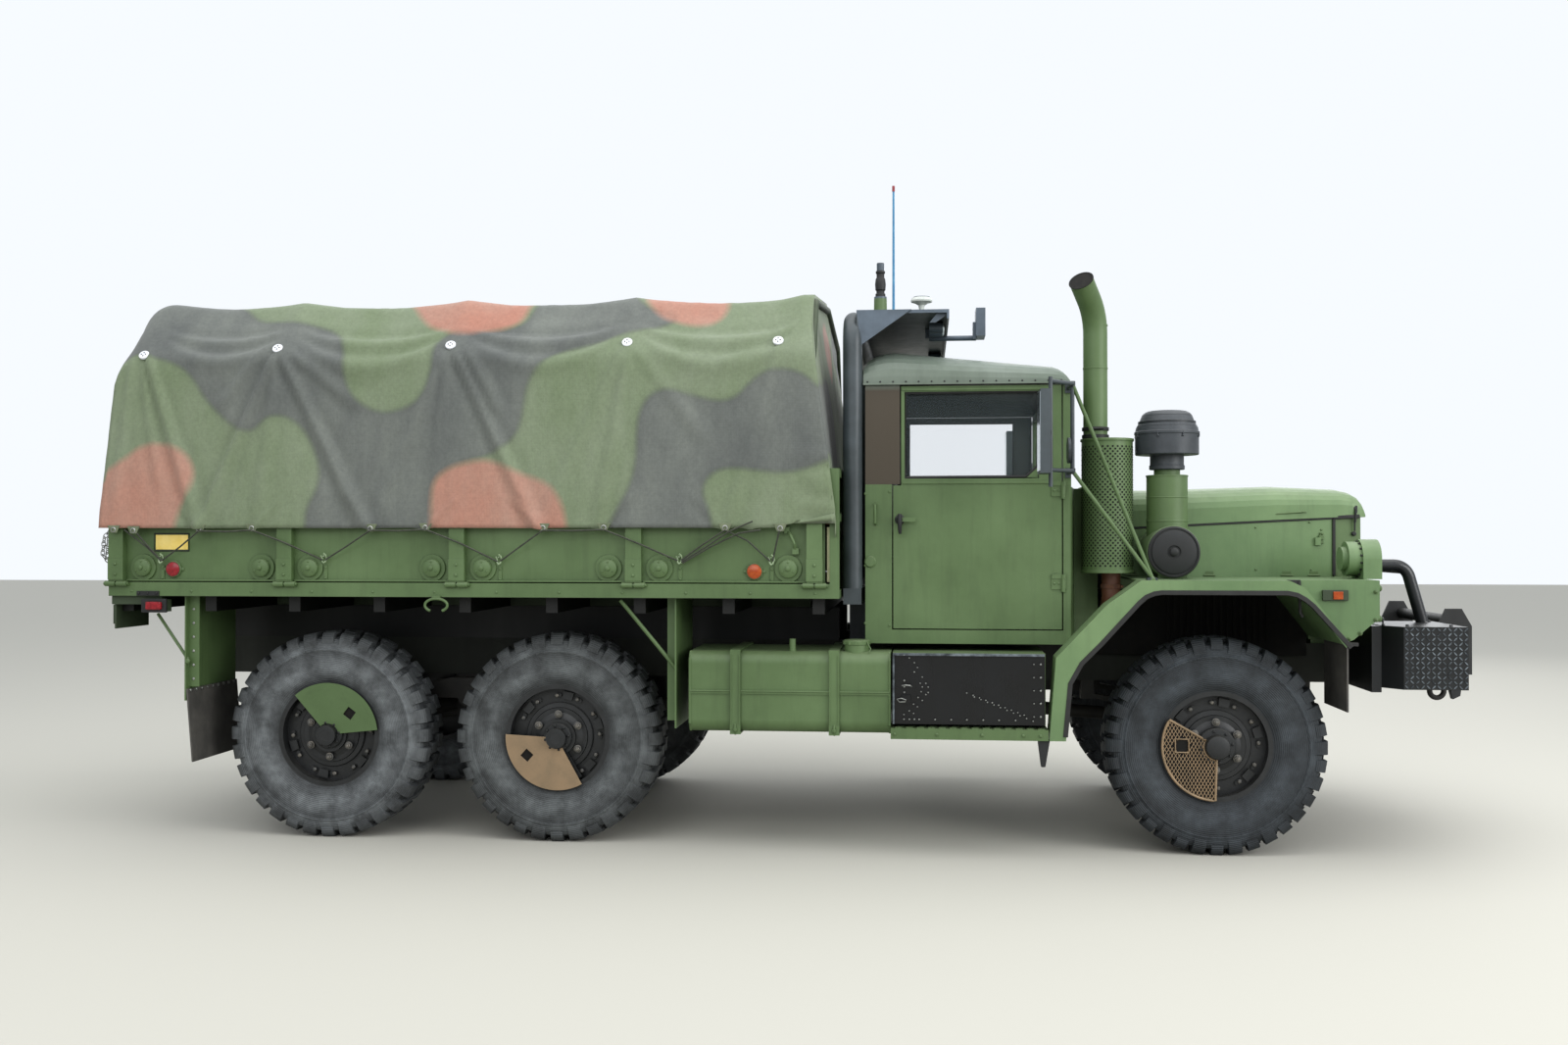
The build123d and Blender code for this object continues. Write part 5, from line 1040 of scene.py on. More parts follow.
def guard_lattice():
    """Lay the crossed strands of the front guard's expanded metal, clear of its opening."""
    start, end, (hu, hv) = WHEEL_GUARDS["front"][:3]
    lattice = Shape()
    for lean in (-1, 1):
        # the strands cross at 60 degrees
        du, dv = -lean * math.sin(math.radians(30)), math.cos(math.radians(30))
        for i in range(-26, 27):
            cu, cv = i * STRAND_GAP * dv, lean * i * STRAND_GAP * math.sin(math.radians(30))
            run = []
            for t in range(-280, 281, STRAND_STEP):
                u, v = cu + du * t, cv + dv * t
                clear = abs(u - hu) + abs(v - hv) > 48
                if clear and inside_sector(u, v, start, end, GUARD_HUB + 3, GUARD_RADIUS - 3, 2):
                    run.append(t)
            while run:
                stretch = [run.pop(0)]
                while run and run[0] - stretch[-1] == STRAND_STEP:
                    stretch.append(run.pop(0))
                if len(stretch) > 1:
                    ends = [(cu + du * t, lean * 0.6, cv + dv * t) for t in (stretch[0], stretch[-1])]
                    lattice.tube(ends, 2.3, 4)
    return skin("guard_lattice", lattice, TAN)


def guard_frame():
    """Edge the front guard and its opening with round bar."""
    start, end, place = WHEEL_GUARDS["front"][:3]
    border = Shape()
    border.tube([(u, 0.0, v) for u, v in ring_points(46, 4, place, 45)], 5.0, 8, closed=True)
    outline = sector(start, end, GUARD_RADIUS - 5, GUARD_HUB + 5)
    border.tube([(u, 0.0, v) for u, v in outline], 6.0, 8, closed=True)
    return skin("guard_frame", border, TAN)


def guard_opening(kind):
    """Fill the guard's opening with a near-black sheet, painted shade for the dark behind it."""
    place, turn, half = WHEEL_GUARDS[kind][2:]
    well = Shape()
    well.loops([[(u, y, v) for u, v in ring_points(half + 4, 4, place, turn)] for y in (-3, 3)])
    return skin("opening_" + kind, well, SOOT_AND_SHADE)


def nut(shape, u, v, out, radius, tall):
    """Add a hexagon nut on its washer with the end of its stud, facing out on the right side."""
    for profile, sides in (
        (((radius * 1.35, 0), (radius * 1.35, 3), (radius * 1.1, 4)), 16),
        (((radius, 3), (radius, tall), (radius * 0.8, tall + 2)), 6),
        (((radius * 0.5, tall), (radius * 0.5, tall + 8), (radius * 0.3, tall + 10)), 10),
    ):
        shape.turned((u, -out, v), OUT, profile, sides)


def wheel_nuts(kind):
    """Make the nuts of a wheel's disc and the bolts of its rim about its own centre."""
    shape = Shape()
    for i in range(6):
        nut(shape, *spoke(118, 30 + 60 * i), 108.0, 15.0, 16.0)
    for i in range(12):
        u, v = spoke(212, 30 * i + 4)
        shape.turned((u, -76, v), OUT, ((11, 0), (11, 9), (7, 13), (0, 14)), 8)
    return skin("nuts_" + kind, shape, NUT_STEEL)


def hub_cap(kind):
    """Make the hub's end about the wheel's own centre: a domed cap in a bolted flange."""
    profile, reach = HUB_CAPS["front" if kind == "front" else "driven"]
    shape = Shape()
    shape.turned((0, 0, 0), OUT, profile, 40)
    for i in range(8):
        u, v = spoke(reach, 45 * i + 10)
        shape.turned((u, -132, v), OUT, ((7, 0), (7, 9), (4, 11)), 6)
    return skin("hub_" + kind, shape, BLACK_SOFT)


def wheel_disc(kind):
    """Make the pressed rings of a wheel's disc and its rim clips about its own centre."""
    shape = Shape()
    shape.turned((0, 0, 0), OUT, DISC_STEPS, 56)
    for i in range(6):
        rows = []
        for turn in (-7, 7):
            c, s = spoke(1, 60 * i + 18 + turn)
            rows.append([(r * c, -y, r * s) for r, y in DISC_CLIP])
        shape.loops(rows)
    return skin("disc_" + kind, shape, RIM_AND_SHADE, 24)


def dress_wheels():
    """Put the guards, nuts and hub caps on the wheels."""
    guards = {kind: cut_sheet("guard_" + kind, guard_outlines(kind), 3.0, GUARD_FINISH[kind])
              for kind in WHEEL_GUARDS}
    openings = {kind: guard_opening(kind) for kind in WHEEL_GUARDS}
    fittings = {kind: (("wheel_nuts_", wheel_nuts(kind), 0.0), ("hub_cap_", hub_cap(kind), 0.8),
                       ("wheel_disc_", wheel_disc(kind), 0.0)) for kind in WHEEL_GUARDS}
    fronts = (("guard_frame_", guard_frame()), ("guard_lattice_", guard_lattice()))
    for name, x, side in WHEELS:
        kind = name.split("_")[0]
        body = "wheel_" + name
        out = side * (HALF_TRACK + GUARD_OUT)
        # The front guard's backing stands 5 mm behind its expanded metal
        back = 5.0 if kind == "front" else 0.0
        place = (x, out - side * back, AXLE_Z)
        show("wheel_guard_" + name, guards[kind], body, place, spin=(math.pi / 2, 0.0, 0.0))
        show("guard_opening_" + name, openings[kind], body, (x, out - side * 7, AXLE_Z))
        spin = (0.0, 0.0, 0.0 if side < 0 else math.pi)
        for label, mesh, edge in fittings[kind]:
            show(label + name, mesh, body, (x, side * HALF_TRACK, AXLE_Z), edge, spin)
        if kind == "front":
            for label, mesh in fronts:
                show(label + name, mesh, body, (x, out, AXLE_Z))


dress_wheels()


# Cargo bed: caps, folded lips, hooks and the lacing rope

CAPS = (-5427, -4792, -4536, -3895, -3634, -2992, -2735, -2093)
CAP_Z = 1407.0
CAP_DISC = ((68, -6), (68, 1), (66, 3), (49, 3))
CAP_DOME = ((47, 0), (47, 12), (44, 18), (38, 22), (20, 26), (13, 27), (12, 34), (8, 36), (0, 37))
GATE_Y = 1180.0
STAKES = (-5558, -4659, -3760, -2861, -1962)
HOOKS = ((-5323, 1448), (-4454, 1451), (-3545, 1446), (-2631, 1450), (-2173, 1446))
HOOK_BEND = ((0, 30), (10, 20), (12, 4), (6, -14), (-2, -19), (-9, -12), (-11, 6), (-15, 18))
ROPE_RUNS = (
    # points along one run: X, Z and how far out
    ((-5323, 1444, 1206), (-5390, 1510, 1216), (-5500, 1600, 1240)),
    ((-5318, 1440, 1206), (-5400, 1535, 1222), (-5446, 1598, 1242)),
    ((-5316, 1442, 1206), (-5210, 1512, 1224), (-5097, 1594, 1247), (-4950, 1590, 1249), (-4816, 1598, 1247),
     (-4650, 1534, 1230), (-4460, 1446, 1206)),
    ((-4448, 1446, 1206), (-4330, 1515, 1224), (-4195, 1597, 1247), (-4050, 1594, 1249), (-3911, 1601, 1247),
     (-3740, 1533, 1230), (-3552, 1440, 1206)),
    ((-3538, 1442, 1206), (-3425, 1520, 1224), (-3310, 1597, 1247), (-3160, 1594, 1249), (-3003, 1600, 1247),
     (-2830, 1530, 1230), (-2640, 1446, 1206)),
    ((-2622, 1448, 1206), (-2515, 1524, 1224), (-2398, 1597, 1247), (-2290, 1545, 1226), (-2180, 1444, 1206)),
    ((-2622, 1440, 1206), (-2500, 1512, 1224), (-2380, 1590, 1246), (-2262, 1640, 1250)),
    ((-2616, 1434, 1206), (-2470, 1516, 1226), (-2330, 1582, 1244), (-2222, 1598, 1250)),
    ((-2168, 1444, 1206), (-2150, 1520, 1222), (-2130, 1600, 1246)),
)
# Small heads that many pieces share, as radius and height
PIN = ((5, 0), (5, 4), (3, 6))
SCREW = ((6, 0), (6, 4), (3, 6))
BOLT = ((7, 0), (7, 4), (4, 6))


def on_both_sides(*makers):
    """Run each maker for the right side of the truck, then each for the left."""
    for side, label in ((-1, "right"), (1, "left")):
        for maker in makers:
            maker(side, label)


def gate_caps(side, label):
    """Set domed caps along the gate, each with a stud in its middle and three pins round it."""
    caps = Shape(side)
    for x in CAPS:
        for profile in (CAP_DISC, CAP_DOME):
            caps.stud((x, GATE_Y + 7, CAP_Z), profile, 32)
        for turn in (90, 210, 330):
            u, v = spoke(31, turn)
            caps.stud((x + u, GATE_Y + 29, CAP_Z + v), PIN, 6)
    piece("gate_caps_" + label, caps, GREEN, edge=0.8)


def gate_lips(side, label):
    """Fold the gate's lips between the stakes, bolt the sockets and pin the hinges."""
    lips = Shape(side)
    for start, end in zip(STAKES, STAKES[1:]):
        span = (start + 42, end - 42)
        lips.block(span, (GATE_Y - 2, GATE_Y + 16), (1337, 1346))
        lips.block(span, (GATE_Y - 2, GATE_Y + 10), (1622, 1638))
    for x in STAKES:
        lips.block((x - 41, x + 41), (1216, 1224), (1345, 1452))
        for z in (1372, 1424):
            lips.stud((x, 1223, z), ((8, 0), (8, 4), (5, 7), (0, 8)))
        lips.knob((x - 66, 1212, 1324), ((9, 0), (9, 6), (9, 126), (9, 132)), 12)
    for x in range(-5480, -1950, 320):
        lips.stud((x, 1199, 1286), ((7, 0), (7, 3), (4, 5), (0, 6)))
    piece("gate_lips_" + label, lips, GREEN, edge=1.5)


def rope_hooks(side, label):
    """Bend the lacing hooks of wire, each over its bracket on the gate."""
    wires = Shape(side)
    straps = Shape(side)
    for x, z in HOOKS:
        wires.wire([(x + u, 1199 + 0.5 * abs(v), z + v) for u, v in HOOK_BEND], 4.4, 8)
        wires.wire([(x - 2, 1184, z + 10), (x - 2, 1206, z + 16)], 4, 8)
        straps.block((x - 9, x + 9), (GATE_Y - 2, GATE_Y + 6), (z - 108, z - 30))
        for low in (z - 96, z - 44):
            straps.stud((x, GATE_Y + 5, low), ((6, 0), (6, 4), (4, 6), (0, 7)))
    piece("rope_hooks_" + label, wires, WIRE)
    piece("hook_straps_" + label, straps, GREEN, edge=1.0)


def lacing_rope(side, label):
    """Lace the rope from hook to eyelet."""
    ropes = Shape(side)
    for run in ROPE_RUNS:
        ropes.wire([(x, y, z) for x, z, y in run], 4.2, 7)
    piece("lacing_rope_" + label, ropes, ROPE)


on_both_sides(gate_caps, gate_lips)
on_both_sides(rope_hooks, lacing_rope)


# Finishes that change from place to place on one node

def tinted(name, material, at, width, below=None, over=None):
    """Copy a finish and give another colour below or over a height in millimetres, with a soft edge."""
    copy = material.copy()
    copy.name = name
    tree = copy.node_tree
    colour = tree.nodes["Principled BSDF"].inputs["Base Color"]
    plain = colour.links[0].from_socket
    height = put(tree, "SeparateXYZ", {0: put(tree, "TexCoord", out="Object")}, "Z")
    above = put(tree, "MapRange", {0: height, 1: at * 0.001, 2: (at + width) * 0.001})
    coat = put(tree, "Mix", {0: above, 6: below or plain, 7: over or plain}, **RGBA)
    tree.links.new(coat, colour)
    return copy


ZONED = (
    # node, name of the finish, its plain coat, height, soft width, colour below, colour over
    # Brown camouflage on the quarters under the hardtop's eaves
    ("hardtop", "roof_over_brown_quarters", GREEN_ROOF_SKY_TINTED, 2296, 34, "423a2d", None),
    # Underneath, below the rail, the bed is near black as painted shade
    ("cargo_bed", "green_bed_over_painted_shade", GREEN, 1256, 8, "070806", None),
    # The exhaust's pipe below its shield is bare and rusted brown
    ("exhaust", "green_shield_over_rusted_pipe", GREEN, 1384, 4, "5f4030", None),
    # The intake's riser ends in a black hose
    ("air_intake", "green_riser_under_black_hose", GREEN, 1903, 3, None, "25292c"),
)
for name, *zone in ZONED:
    nodes[name].data.materials[0] = tinted(*zone)
for name in ("fenders", "hood_sides", "door_right", "door_left", "cab_tub", "fuel_tank", "cargo_bed",
             "drop_sides", "radiator_grille", "mud_guards", "headlamps", "air_intake", "windshield_frame",
             "front_bumper", "side_box_lid", "winch", "roll_bar", "mirrors", "tailgate", "hood"):
    soften(nodes[name], 2.0, 30.0)


# Intake: a ribbed moulded cap on its hose, and the disc on the end of the cleaner

INTAKE = (-196, -750)
CLEANER_Z = 1488
CAP_RIBS = (
    (66, 1904), (85, 1905), (88, 1908), (88, 1926), (84, 1928), (84, 1976), (118, 1978), (155, 1980),
    (158, 1984), (158, 2082), (162, 2085), (162, 2096), (157, 2100), (153, 2120), (149, 2122), (149, 2128),
    (145, 2131), (140, 2150), (135, 2153), (129, 2170), (121, 2186), (108, 2197), (88, 2203), (0, 2205),
)
DISC_RINGS = (
    (128, -30), (128, 0), (126, 5), (119, 7), (117, 2), (110, 2), (108, 7), (102, 9), (34, 11), (28, 7),
    (22, 7), (20, 18), (12, 22), (0, 22),
)


def intake_cap():
    """Turn the ribbed cap and set clips round its edge."""
    x, y = INTAKE
    shape = Shape()
    shape.stack((x, y, 0), CAP_RIBS, 56)
    for i in range(8):
        out = spoke(1, 45 * i + 20)
        foot = shape.at(x + 158 * out[0], y + 158 * out[1], 2072)
        shape.turned(foot, (*out, 0), ((6, 0), (6, 5), (3, 8)), 8)
        shape.wire([(x + r * out[0], y + r * out[1], z) for r, z in ((161, 2094), (165, 2074))], 2.5, 6)
    piece("intake_cap", shape, NYLON, sharp=28)


def cleaner_disc():
    """Turn the disc on the cleaner's end, with a cross of wire in its middle."""
    x = INTAKE[0]
    shape = Shape()
    shape.turned(shape.at(x, -950, CLEANER_Z), (0, -1, 0), DISC_RINGS, 64)
    for turn in (20, 110):
        u, v = spoke(20, turn)
        shape.wire([(x - u, -966, CLEANER_Z - v), (x + u, -966, CLEANER_Z + v)], 3, 8)
    piece("cleaner_disc", shape, BLACK_SOFT, sharp=28)


def cleaner_bands():
    """Clamp the hose and the cleaner."""
    x, y = INTAKE
    shape = Shape()
    shape.stack((x, y, 0), ((102, 1868), (105, 1869), (105, 1876), (102, 1877)), 48)
    for z in (1640, 1760):
        shape.stack((x, y, 0), ((103, z), (104, z + 2), (104, z + 6), (103, z + 8)), 48)
    for y_at in (-935, -640):
        profile = ((128, -10), (131, -8), (131, 8), (128, 10))
        shape.turned(shape.at(x, y_at, CLEANER_Z), (0, 1, 0), profile, 48)
    piece("cleaner_bands", shape, GREEN)


intake_cap()
cleaner_disc()
cleaner_bands()


# Exhaust: perforated shield, stack with an open end, rusted pipe

SHIELD = (-497, -760)
SHIELD_RADIUS = 130.0
SHIELD_Z = (1382.0, 2061.0)
HOLE_RADIUS = 5.6
HOLE_PITCH = 25.6
STACK = (-554, -750)


def shield_holes():
    """Mark the shield's round holes as near-black hexagons, painted shade for the holes, in rows that are set
    off by half a pitch.
    """
    low, high = SHIELD_Z
    reach = SHIELD_RADIUS - 0.4
    holes = Shape()
    count = round(math.tau * SHIELD_RADIUS / HOLE_PITCH)
    for r in range(int((high - low - 60) / (HOLE_PITCH / 2))):
        z = low + 36 + r * HOLE_PITCH / 2
        for i in range(count):
            c, s = spoke(1, 360 * (i + (r % 2) / 2) / count)
            x, y, z = holes.at(SHIELD[0] + reach * c, SHIELD[1] + reach * s, z)
            first = len(holes.points)
            for u, v in ring_points(HOLE_RADIUS, 6):
                holes.points.append((x - s * u, y + c * u, z + v))
            holes.faces.append(tuple(range(first, first + 6)))
    piece("shield_holes", holes, SOOT_AND_SHADE)


def shield_trims():
    """Bead the shield's ends and screw its seam."""
    x, y = SHIELD
    low, high = SHIELD_Z
    trims = Shape()
    for z in (low - 2, high - 12):
        trims.stack((x, y, 0), ((129, z), (134, z + 1), (134, z + 13), (129, z + 14)), 56)
    trims.block((x - 12, x + 12), (y + 126, y + 133), SHIELD_Z)
    for z in (1450, 1720, 1990):
        trims.stud((x, y + 133, z), BOLT)
    piece("shield_trims", trims, GREEN, edge=1.0)


def stack_mouth():
    """Show the stack's end open across its lean: a lip round a shallow near-black floor, soot and painted
    shade for the pipe's inside.
    """
    mouth = Shape()
    tip = Vector(mouth.at(-640, -900, 2850))
    along = (tip - Vector(mouth.at(*STACK, 2700))).normalized()
    mouth.turned(tip, along, ((61, -1), (64, 0.5), (64, 3), (56, 3), (54, 1.6), (0, 1.6)), 40)
    piece("stack_mouth", mouth, SOOT_AND_SHADE)


def stack_rings():
    """Bead the stack and clamp its foot."""
    lip = Shape()
    for z in (2420, 2640):
        lip.stack((*STACK, 0), ((61, z), (63, z + 1), (63, z + 9), (61, z + 10)), 40)
    piece("stack_beads", lip, GREEN)
    collar = Shape()
    for z in (2066, 2104):
        collar.stack((*STACK, 0), ((62, z), (68, z + 2), (68, z + 18), (62, z + 20)), 40)
    collar.wire([(-520, -822, 2114), (-590, -822, 2114)], 6, 8)
    piece("stack_collar", collar, BLACK_SOFT)


def pipe_clamps():
    """Clamp the pipe under the shield."""
    clamp = Shape()
    for z in (1386, 1300):
        clamp.stack((-478, -750, 0), ((49, z), (53, z + 1), (53, z + 22), (49, z + 23)), 32)
        clamp.wire([(-424, -775, z + 11), (-424, -725, z + 11)], 6, 8)
    piece("pipe_clamps", clamp, RUSTED)


for maker in (shield_holes, shield_trims, stack_mouth, stack_rings, pipe_clamps):
    maker()


# Hood: rubber seam strips, latches, handles and louvres

def seam_z(x):
    """Give the height of the seam between the hood and its side panel."""
    return 1607 + 60 / 1220 * (min(x, 700) + 520)


def side_y(x):
    """Give how far out the hood's side panel lies."""
    return 554 - 0.0699 * (x + 520)


def strip(shape, path, wide, thick):
    """Run a flat rubber strip along a path of X, Z and Y on the shape's side."""
    rows = []
    for i, (x, z, y) in enumerate(path):
        before, after = path[max(i - 1, 0)], path[min(i + 1, len(path) - 1)]
        run = Vector((after[0] - before[0], after[1] - before[1])).normalized()
        u, v = -run.y * wide / 2, run.x * wide / 2
        rows.append([
            shape.at(x + u, y - 4, z + v), shape.at(x + u * 0.8, y + thick, z + v * 0.8),
            shape.at(x - u * 0.8, y + thick, z - v * 0.8), shape.at(x - u, y - 4, z - v),
        ])
    shape.loops(rows)


def hood_seam(side, label):
    """Fit the rubber strips round a side panel."""
    strips = Shape(side)
    strip(strips, [(x, seam_z(x) - 2, side_y(x) + 1) for x in range(-500, 721, 60)], 21, 5)
    nose = ((700, 1664, 2), (760, 1668, 10), (835, 1671, 8))
    strip(strips, [(x, z, side_y(x) + out) for x, z, out in nose], 20, 7)
    strip(strips, [(704, 1655, side_y(704) + 3), (704, 1362, side_y(704) + 3)], 17, 6)
    strip(strips, [(-508, 1606, side_y(-508) + 1), (-508, 1362, side_y(-508) + 1)], 17, 4)
    piece("hood_seam_" + label, strips, SEAM, edge=1.0)


PANEL_RIVETS = (
    (-396, 1602), (-22, 1665), (300, 1612), (578, 1640), (586, 1392), (300, 1392), (-120, 1394), (640, 1600),
    (-420, 1392),
)


def hood_fittings(side, label):
    """Fit the latches, rivets and hinges of a side panel."""
    metal = Shape(side)
    for x, z in ((-437, 1555), (640, 1560)):
        y = side_y(x)
        metal.block((x - 9, x + 9), (y - 2, y + 8), (z - 32, z + 26))
        metal.block((x - 14, x + 8), (y + 6, y + 14), (z - 10, z + 12))
        metal.stud((x + 2, y + 8, z + 20), SCREW)
        metal.stud((x - 4, y + 8, z - 26), ((5, 0), (5, 3), (3, 5)))
    for x, z in PANEL_RIVETS:
        y = side_y(x) if z < seam_z(x) else side_y(x) - 14
        metal.stud((x, y - 1, z), ((6, 0), (6, 3), (4, 5), (0, 6)))
    for x in (-340, 60, 460, 600):
        y = side_y(x)
        metal.wire([(x - 30, y + 3, 1362), (x + 30, y + 3, 1362)], 5, 8)
        metal.block((x - 22, x + 22), (y - 1, y + 3), (1362, 1384))
    piece("hood_fittings_" + label, metal, GREEN, edge=0.8)


def hood_grip(side, label):
    """Bend the handle that lifts the hood."""
    grip = Shape(side)
    y = side_y(480)
    grip.wire([(392, y - 16, 1676), (396, y + 12, 1681), (410, y + 16, 1684), (545, y + 12, 1694),
               (558, y + 8, 1694), (560, y - 22, 1692)], 4.5, 8)
    for x, z in ((392, 1677), (560, 1692)):
        grip.stud((x, side_y(x) - 20, z), ((12, 0), (12, 6), (6, 9)), 10)
    piece("hood_grip_" + label, grip, GREEN, body="hood")


def hood_catch(side, label):
    """Fit the spring catch at the hood's nose."""
    catch = Shape(side)
    y = side_y(810) + 4
    catch.wire([(812, y - 8, 1712), (814, y + 10, 1706), (812, y + 12, 1660), (810, y + 10, 1640)], 6, 8)
    catch.stud((812, y - 10, 1712), ((13, 0), (13, 12), (8, 16)), 12)
    catch.block((800, 824), (y - 12, y + 4), (1690, 1726))
    catch.wire([(809, y + 9, 1650 - 14 * i) for i in range(5)], 4, 6)
    catch.stud((806, y - 8, 1580), ((12, 0), (12, 14), (7, 18)), 12)
    piece("hood_catch_" + label, catch, BLACK_SOFT)


on_both_sides(hood_seam, hood_fittings, hood_grip, hood_catch)


# Fenders: rubber lip along the cut-out, bolts, signal lamp, well with louvres painted dark as shade, headlamp

FENDER_LIP = (
    (580, 1040), (408, 1236), (372, 1266), (333, 1288), (290, 1297), (-294, 1297), (-330, 1292), (-368, 1276),
    (-400, 1248), (-579, 1050), (-674, 954), (-728, 856), (-752, 600),
)
LAMP_Z = 1454


def fender_lip(side, label):
    """Edge the fender's cut-out with rubber and fill the gap beside it."""
    lip = Shape(side)
    strip(lip, [(x, z, 1197) for x, z in FENDER_LIP], 26, 7)
    strip(lip, [(583, 1050, 1104), (640, 1048, 1104)], 20, 6)
    piece("fender_lip_" + label, lip, SEAM, edge=1.2)
    gap = Shape(side)
    gap.block((312, 372), (1090, 1108), (1318, 1357))
    strip(gap, [(366, 1352, 1104), (370, 1200, 1104), (382, 1178, 1104)], 15, 8)
    piece("fender_gap_" + label, gap, SEAM, edge=1.0)


def fender_bolts(side, label):
    """Bolt the fender: nuts on washers on the right, plain heads on the left."""
    bolts = Shape(side)
    for x, z in ((722, 1300), (722, 1166), (650, 1102), (560, 1086), (598, 1074), (-328, 1330)):
        out = 1100 if x > 0 else 1150
        if side < 0:
            nut(bolts, ahead(x), z, out, 8, 7)
        else:
            bolts.stud((x, out, z), ((8, 0), (8, 8), (5, 11)), 6)
    for z in (1316, 1170):
        bolts.knob((741, 1060, z), ((16, 0), (16, 14), (10, 20), (0, 22)), 16)
    piece("fender_bolts_" + label, bolts, GREEN)


def signal_lamp(side, label):
    """Screw the signal lamp's base on the fender and set its lens."""
    base = Shape(side)
    base.block((474, 592), (1098, 1112), (1258, 1308))
    for x in (486, 580):
        base.stud((x, 1112, 1283), ((8, 0), (8, 4), (5, 6)), 10)
    piece("signal_base_" + label, base, BLACK_SOFT, edge=2.0)
    lens = Shape(side)
    for start, end, out in ((498, 520, 1117), (520, 566, 1124)):
        lens.block((start, end), (1108, out), (1264, 1302))
    piece("signal_lens_" + label, lens, AMBER, edge=3.0)


def well_louvres(side, label):
    """Close the wheel's well with a near-black louvred panel, painted shade for the dark well."""
    well = Shape(side)
    well.block((-566, 566), (452.5, 455), (940, 1286))
    for i in range(16):
        x = -150 + 34 * i
        well.block((x, x + 14), (450, 466), (1010, 1260))
    piece("well_louvres_" + label, well, SOOT_AND_SHADE, edge=2.0)


def headlamp(side, label):
    """Set the headlamp's glass, its bezel with three screws, and the tabs behind."""
    lamp = Shape(side)
    lamp.knob((728, 800, LAMP_Z), ((84, -4), (84, 9), (80, 13), (60, 24), (30, 31), (0, 33)), 40)
    piece("headlamp_lens_" + label, lamp, CLEAR)
    ring = Shape(side)
    ring.knob((726, 800, LAMP_Z), ((86, 0), (96, 2), (97, 12), (92, 17), (83, 17), (82, 12)), 40)
    for turn in (90, 210, 330):
        u, v = spoke(91, turn)
        ring.knob((742, 800 + side * u, LAMP_Z + v), SCREW)
    piece("headlamp_ring_" + label, ring, GREEN, sharp=25)
    tabs = Shape(side)
    for turn in range(0, 360, 24):
        u, v = spoke(88, turn)
        tabs.knob((724, 800 + side * u, LAMP_Z + v), ((5, -8), (5, 4), (3, 6)), 6)
    piece("headlamp_tabs_" + label, tabs, BLACK_SOFT)


on_both_sides(fender_lip, fender_bolts, signal_lamp, well_louvres, headlamp)


# Cover's fittings: white nylon buttons with a plain cross, eyelets and their patches

SLOPE = (0.82, 0.57)
SEWN_EYELETS = (
    (-5554, 1596), (-5448, 1592), (-5097, 1600), (-4816, 1603), (-4195, 1602), (-3911, 1606), (-3310, 1604),
    (-3003, 1606), (-2398, 1604), (-2127, 1602),
)
PATCH = ((-34, 26), (34, 26), (16, -12), (-16, -12))


def cover_buttons(side, label):
    """Sew a button at each bow and mark its slots with a plain cross of dark dots, painted shade in the
    slots.
    """
    buttons = Shape()
    crosses = Shape()
    normal = Vector((0, side * SLOPE[0], SLOPE[1]))
    up = Vector((0, -side * SLOPE[1], SLOPE[0]))
    for x, z in TIES:
        wall = 1160 - (z - 2480) * 0.71
        centre = Vector((ahead(x), side * wall, z)) + normal * 8
        buttons.turned(centre, normal, ((26, -9), (27, 0), (25, 3), (18, 4), (0, 5)), 24)
        for u, v in ((11, 0), (-11, 0), (0, 11), (0, -11)):
            crosses.turned(centre + Vector((u, 0, 0)) + up * v, normal, ((3.5, 3), (3.5, 6), (2, 7)), 6)
    piece("cover_buttons_" + label, buttons, WHITE)
    piece("cover_button_slots_" + label, crosses, SEAM)


def cover_eyelets(side, label):
    """Set the eyelets along the hem, each on its sewn patch."""
    eyelets = Shape(side)
    patches = Shape(side)
    for x, z in SEWN_EYELETS:
        eyelets.stud((x, 1246, z + 4), ((13, -3), (14, 3), (9, 5), (8, -3)), 16)
        patches.loops([[patches.at(x + u, y, z + v) for u, v in PATCH] for y in (1241, 1247)])
    piece("cover_eyelets_" + label, eyelets, ZINC)
    piece("cover_eyelet_patches_" + label, patches, HEM, edge=2.0)


on_both_sides(cover_buttons, cover_eyelets)


# Bed: reflectors, placard, tail and marker lamps, chains and a strap

def link(shape, centre, along, flat, long=17.0, wide=10.0, thick=2.6):
    """Add one oval chain link."""
    along = Vector(along).normalized()
    flat = (Vector(flat) - along * along.dot(Vector(flat))).normalized()
    path = []
    for i in range(12):
        a = math.tau * i / 12
        path.append(Vector(centre) + along * math.cos(a) * long + flat * math.sin(a) * wide)
    shape.tube(path, thick, 6, closed=True)


def chain(shape, path, pitch=24.0):
    """Hang links along a path, turning every other one."""
    path = [Vector(shape.at(*p)) for p in path]
    turned = False
    for start, end in zip(path, path[1:]):
        run = end - start
        count = max(1, round(run.length / pitch))
        for i in range(count):
            side = Vector((0, 1, 0)) if turned else run.cross(Vector((0, 1, 0)))
            link(shape, start + run * (i + 0.5) / count, run, side)
            turned = not turned


def reflectors(side, label):
    """Fit the round reflectors, red behind and amber ahead, each in its base with two ears."""
    bases, red, amber = Shape(side), Shape(side), Shape(side)
    for x, z, lens in ((-5264, 1398, red), (-2260, 1393, amber)):
        bases.stud((x, 1181, z), ((42, -2), (43, 8), (40, 12), (36, 12)), 28)
        for u in (47, -47):
            bases.stud((x + u, 1180, z), ((9, 0), (9, 5), (5, 8)), 10)
        lens.stud((x, 1181, z), ((37, 6), (36, 14), (28, 18), (0, 21)), 28)
    piece("reflector_bases_" + label, bases, GREEN)
    piece("reflector_red_" + label, red, RED)
    piece("reflector_amber_" + label, amber, AMBER)


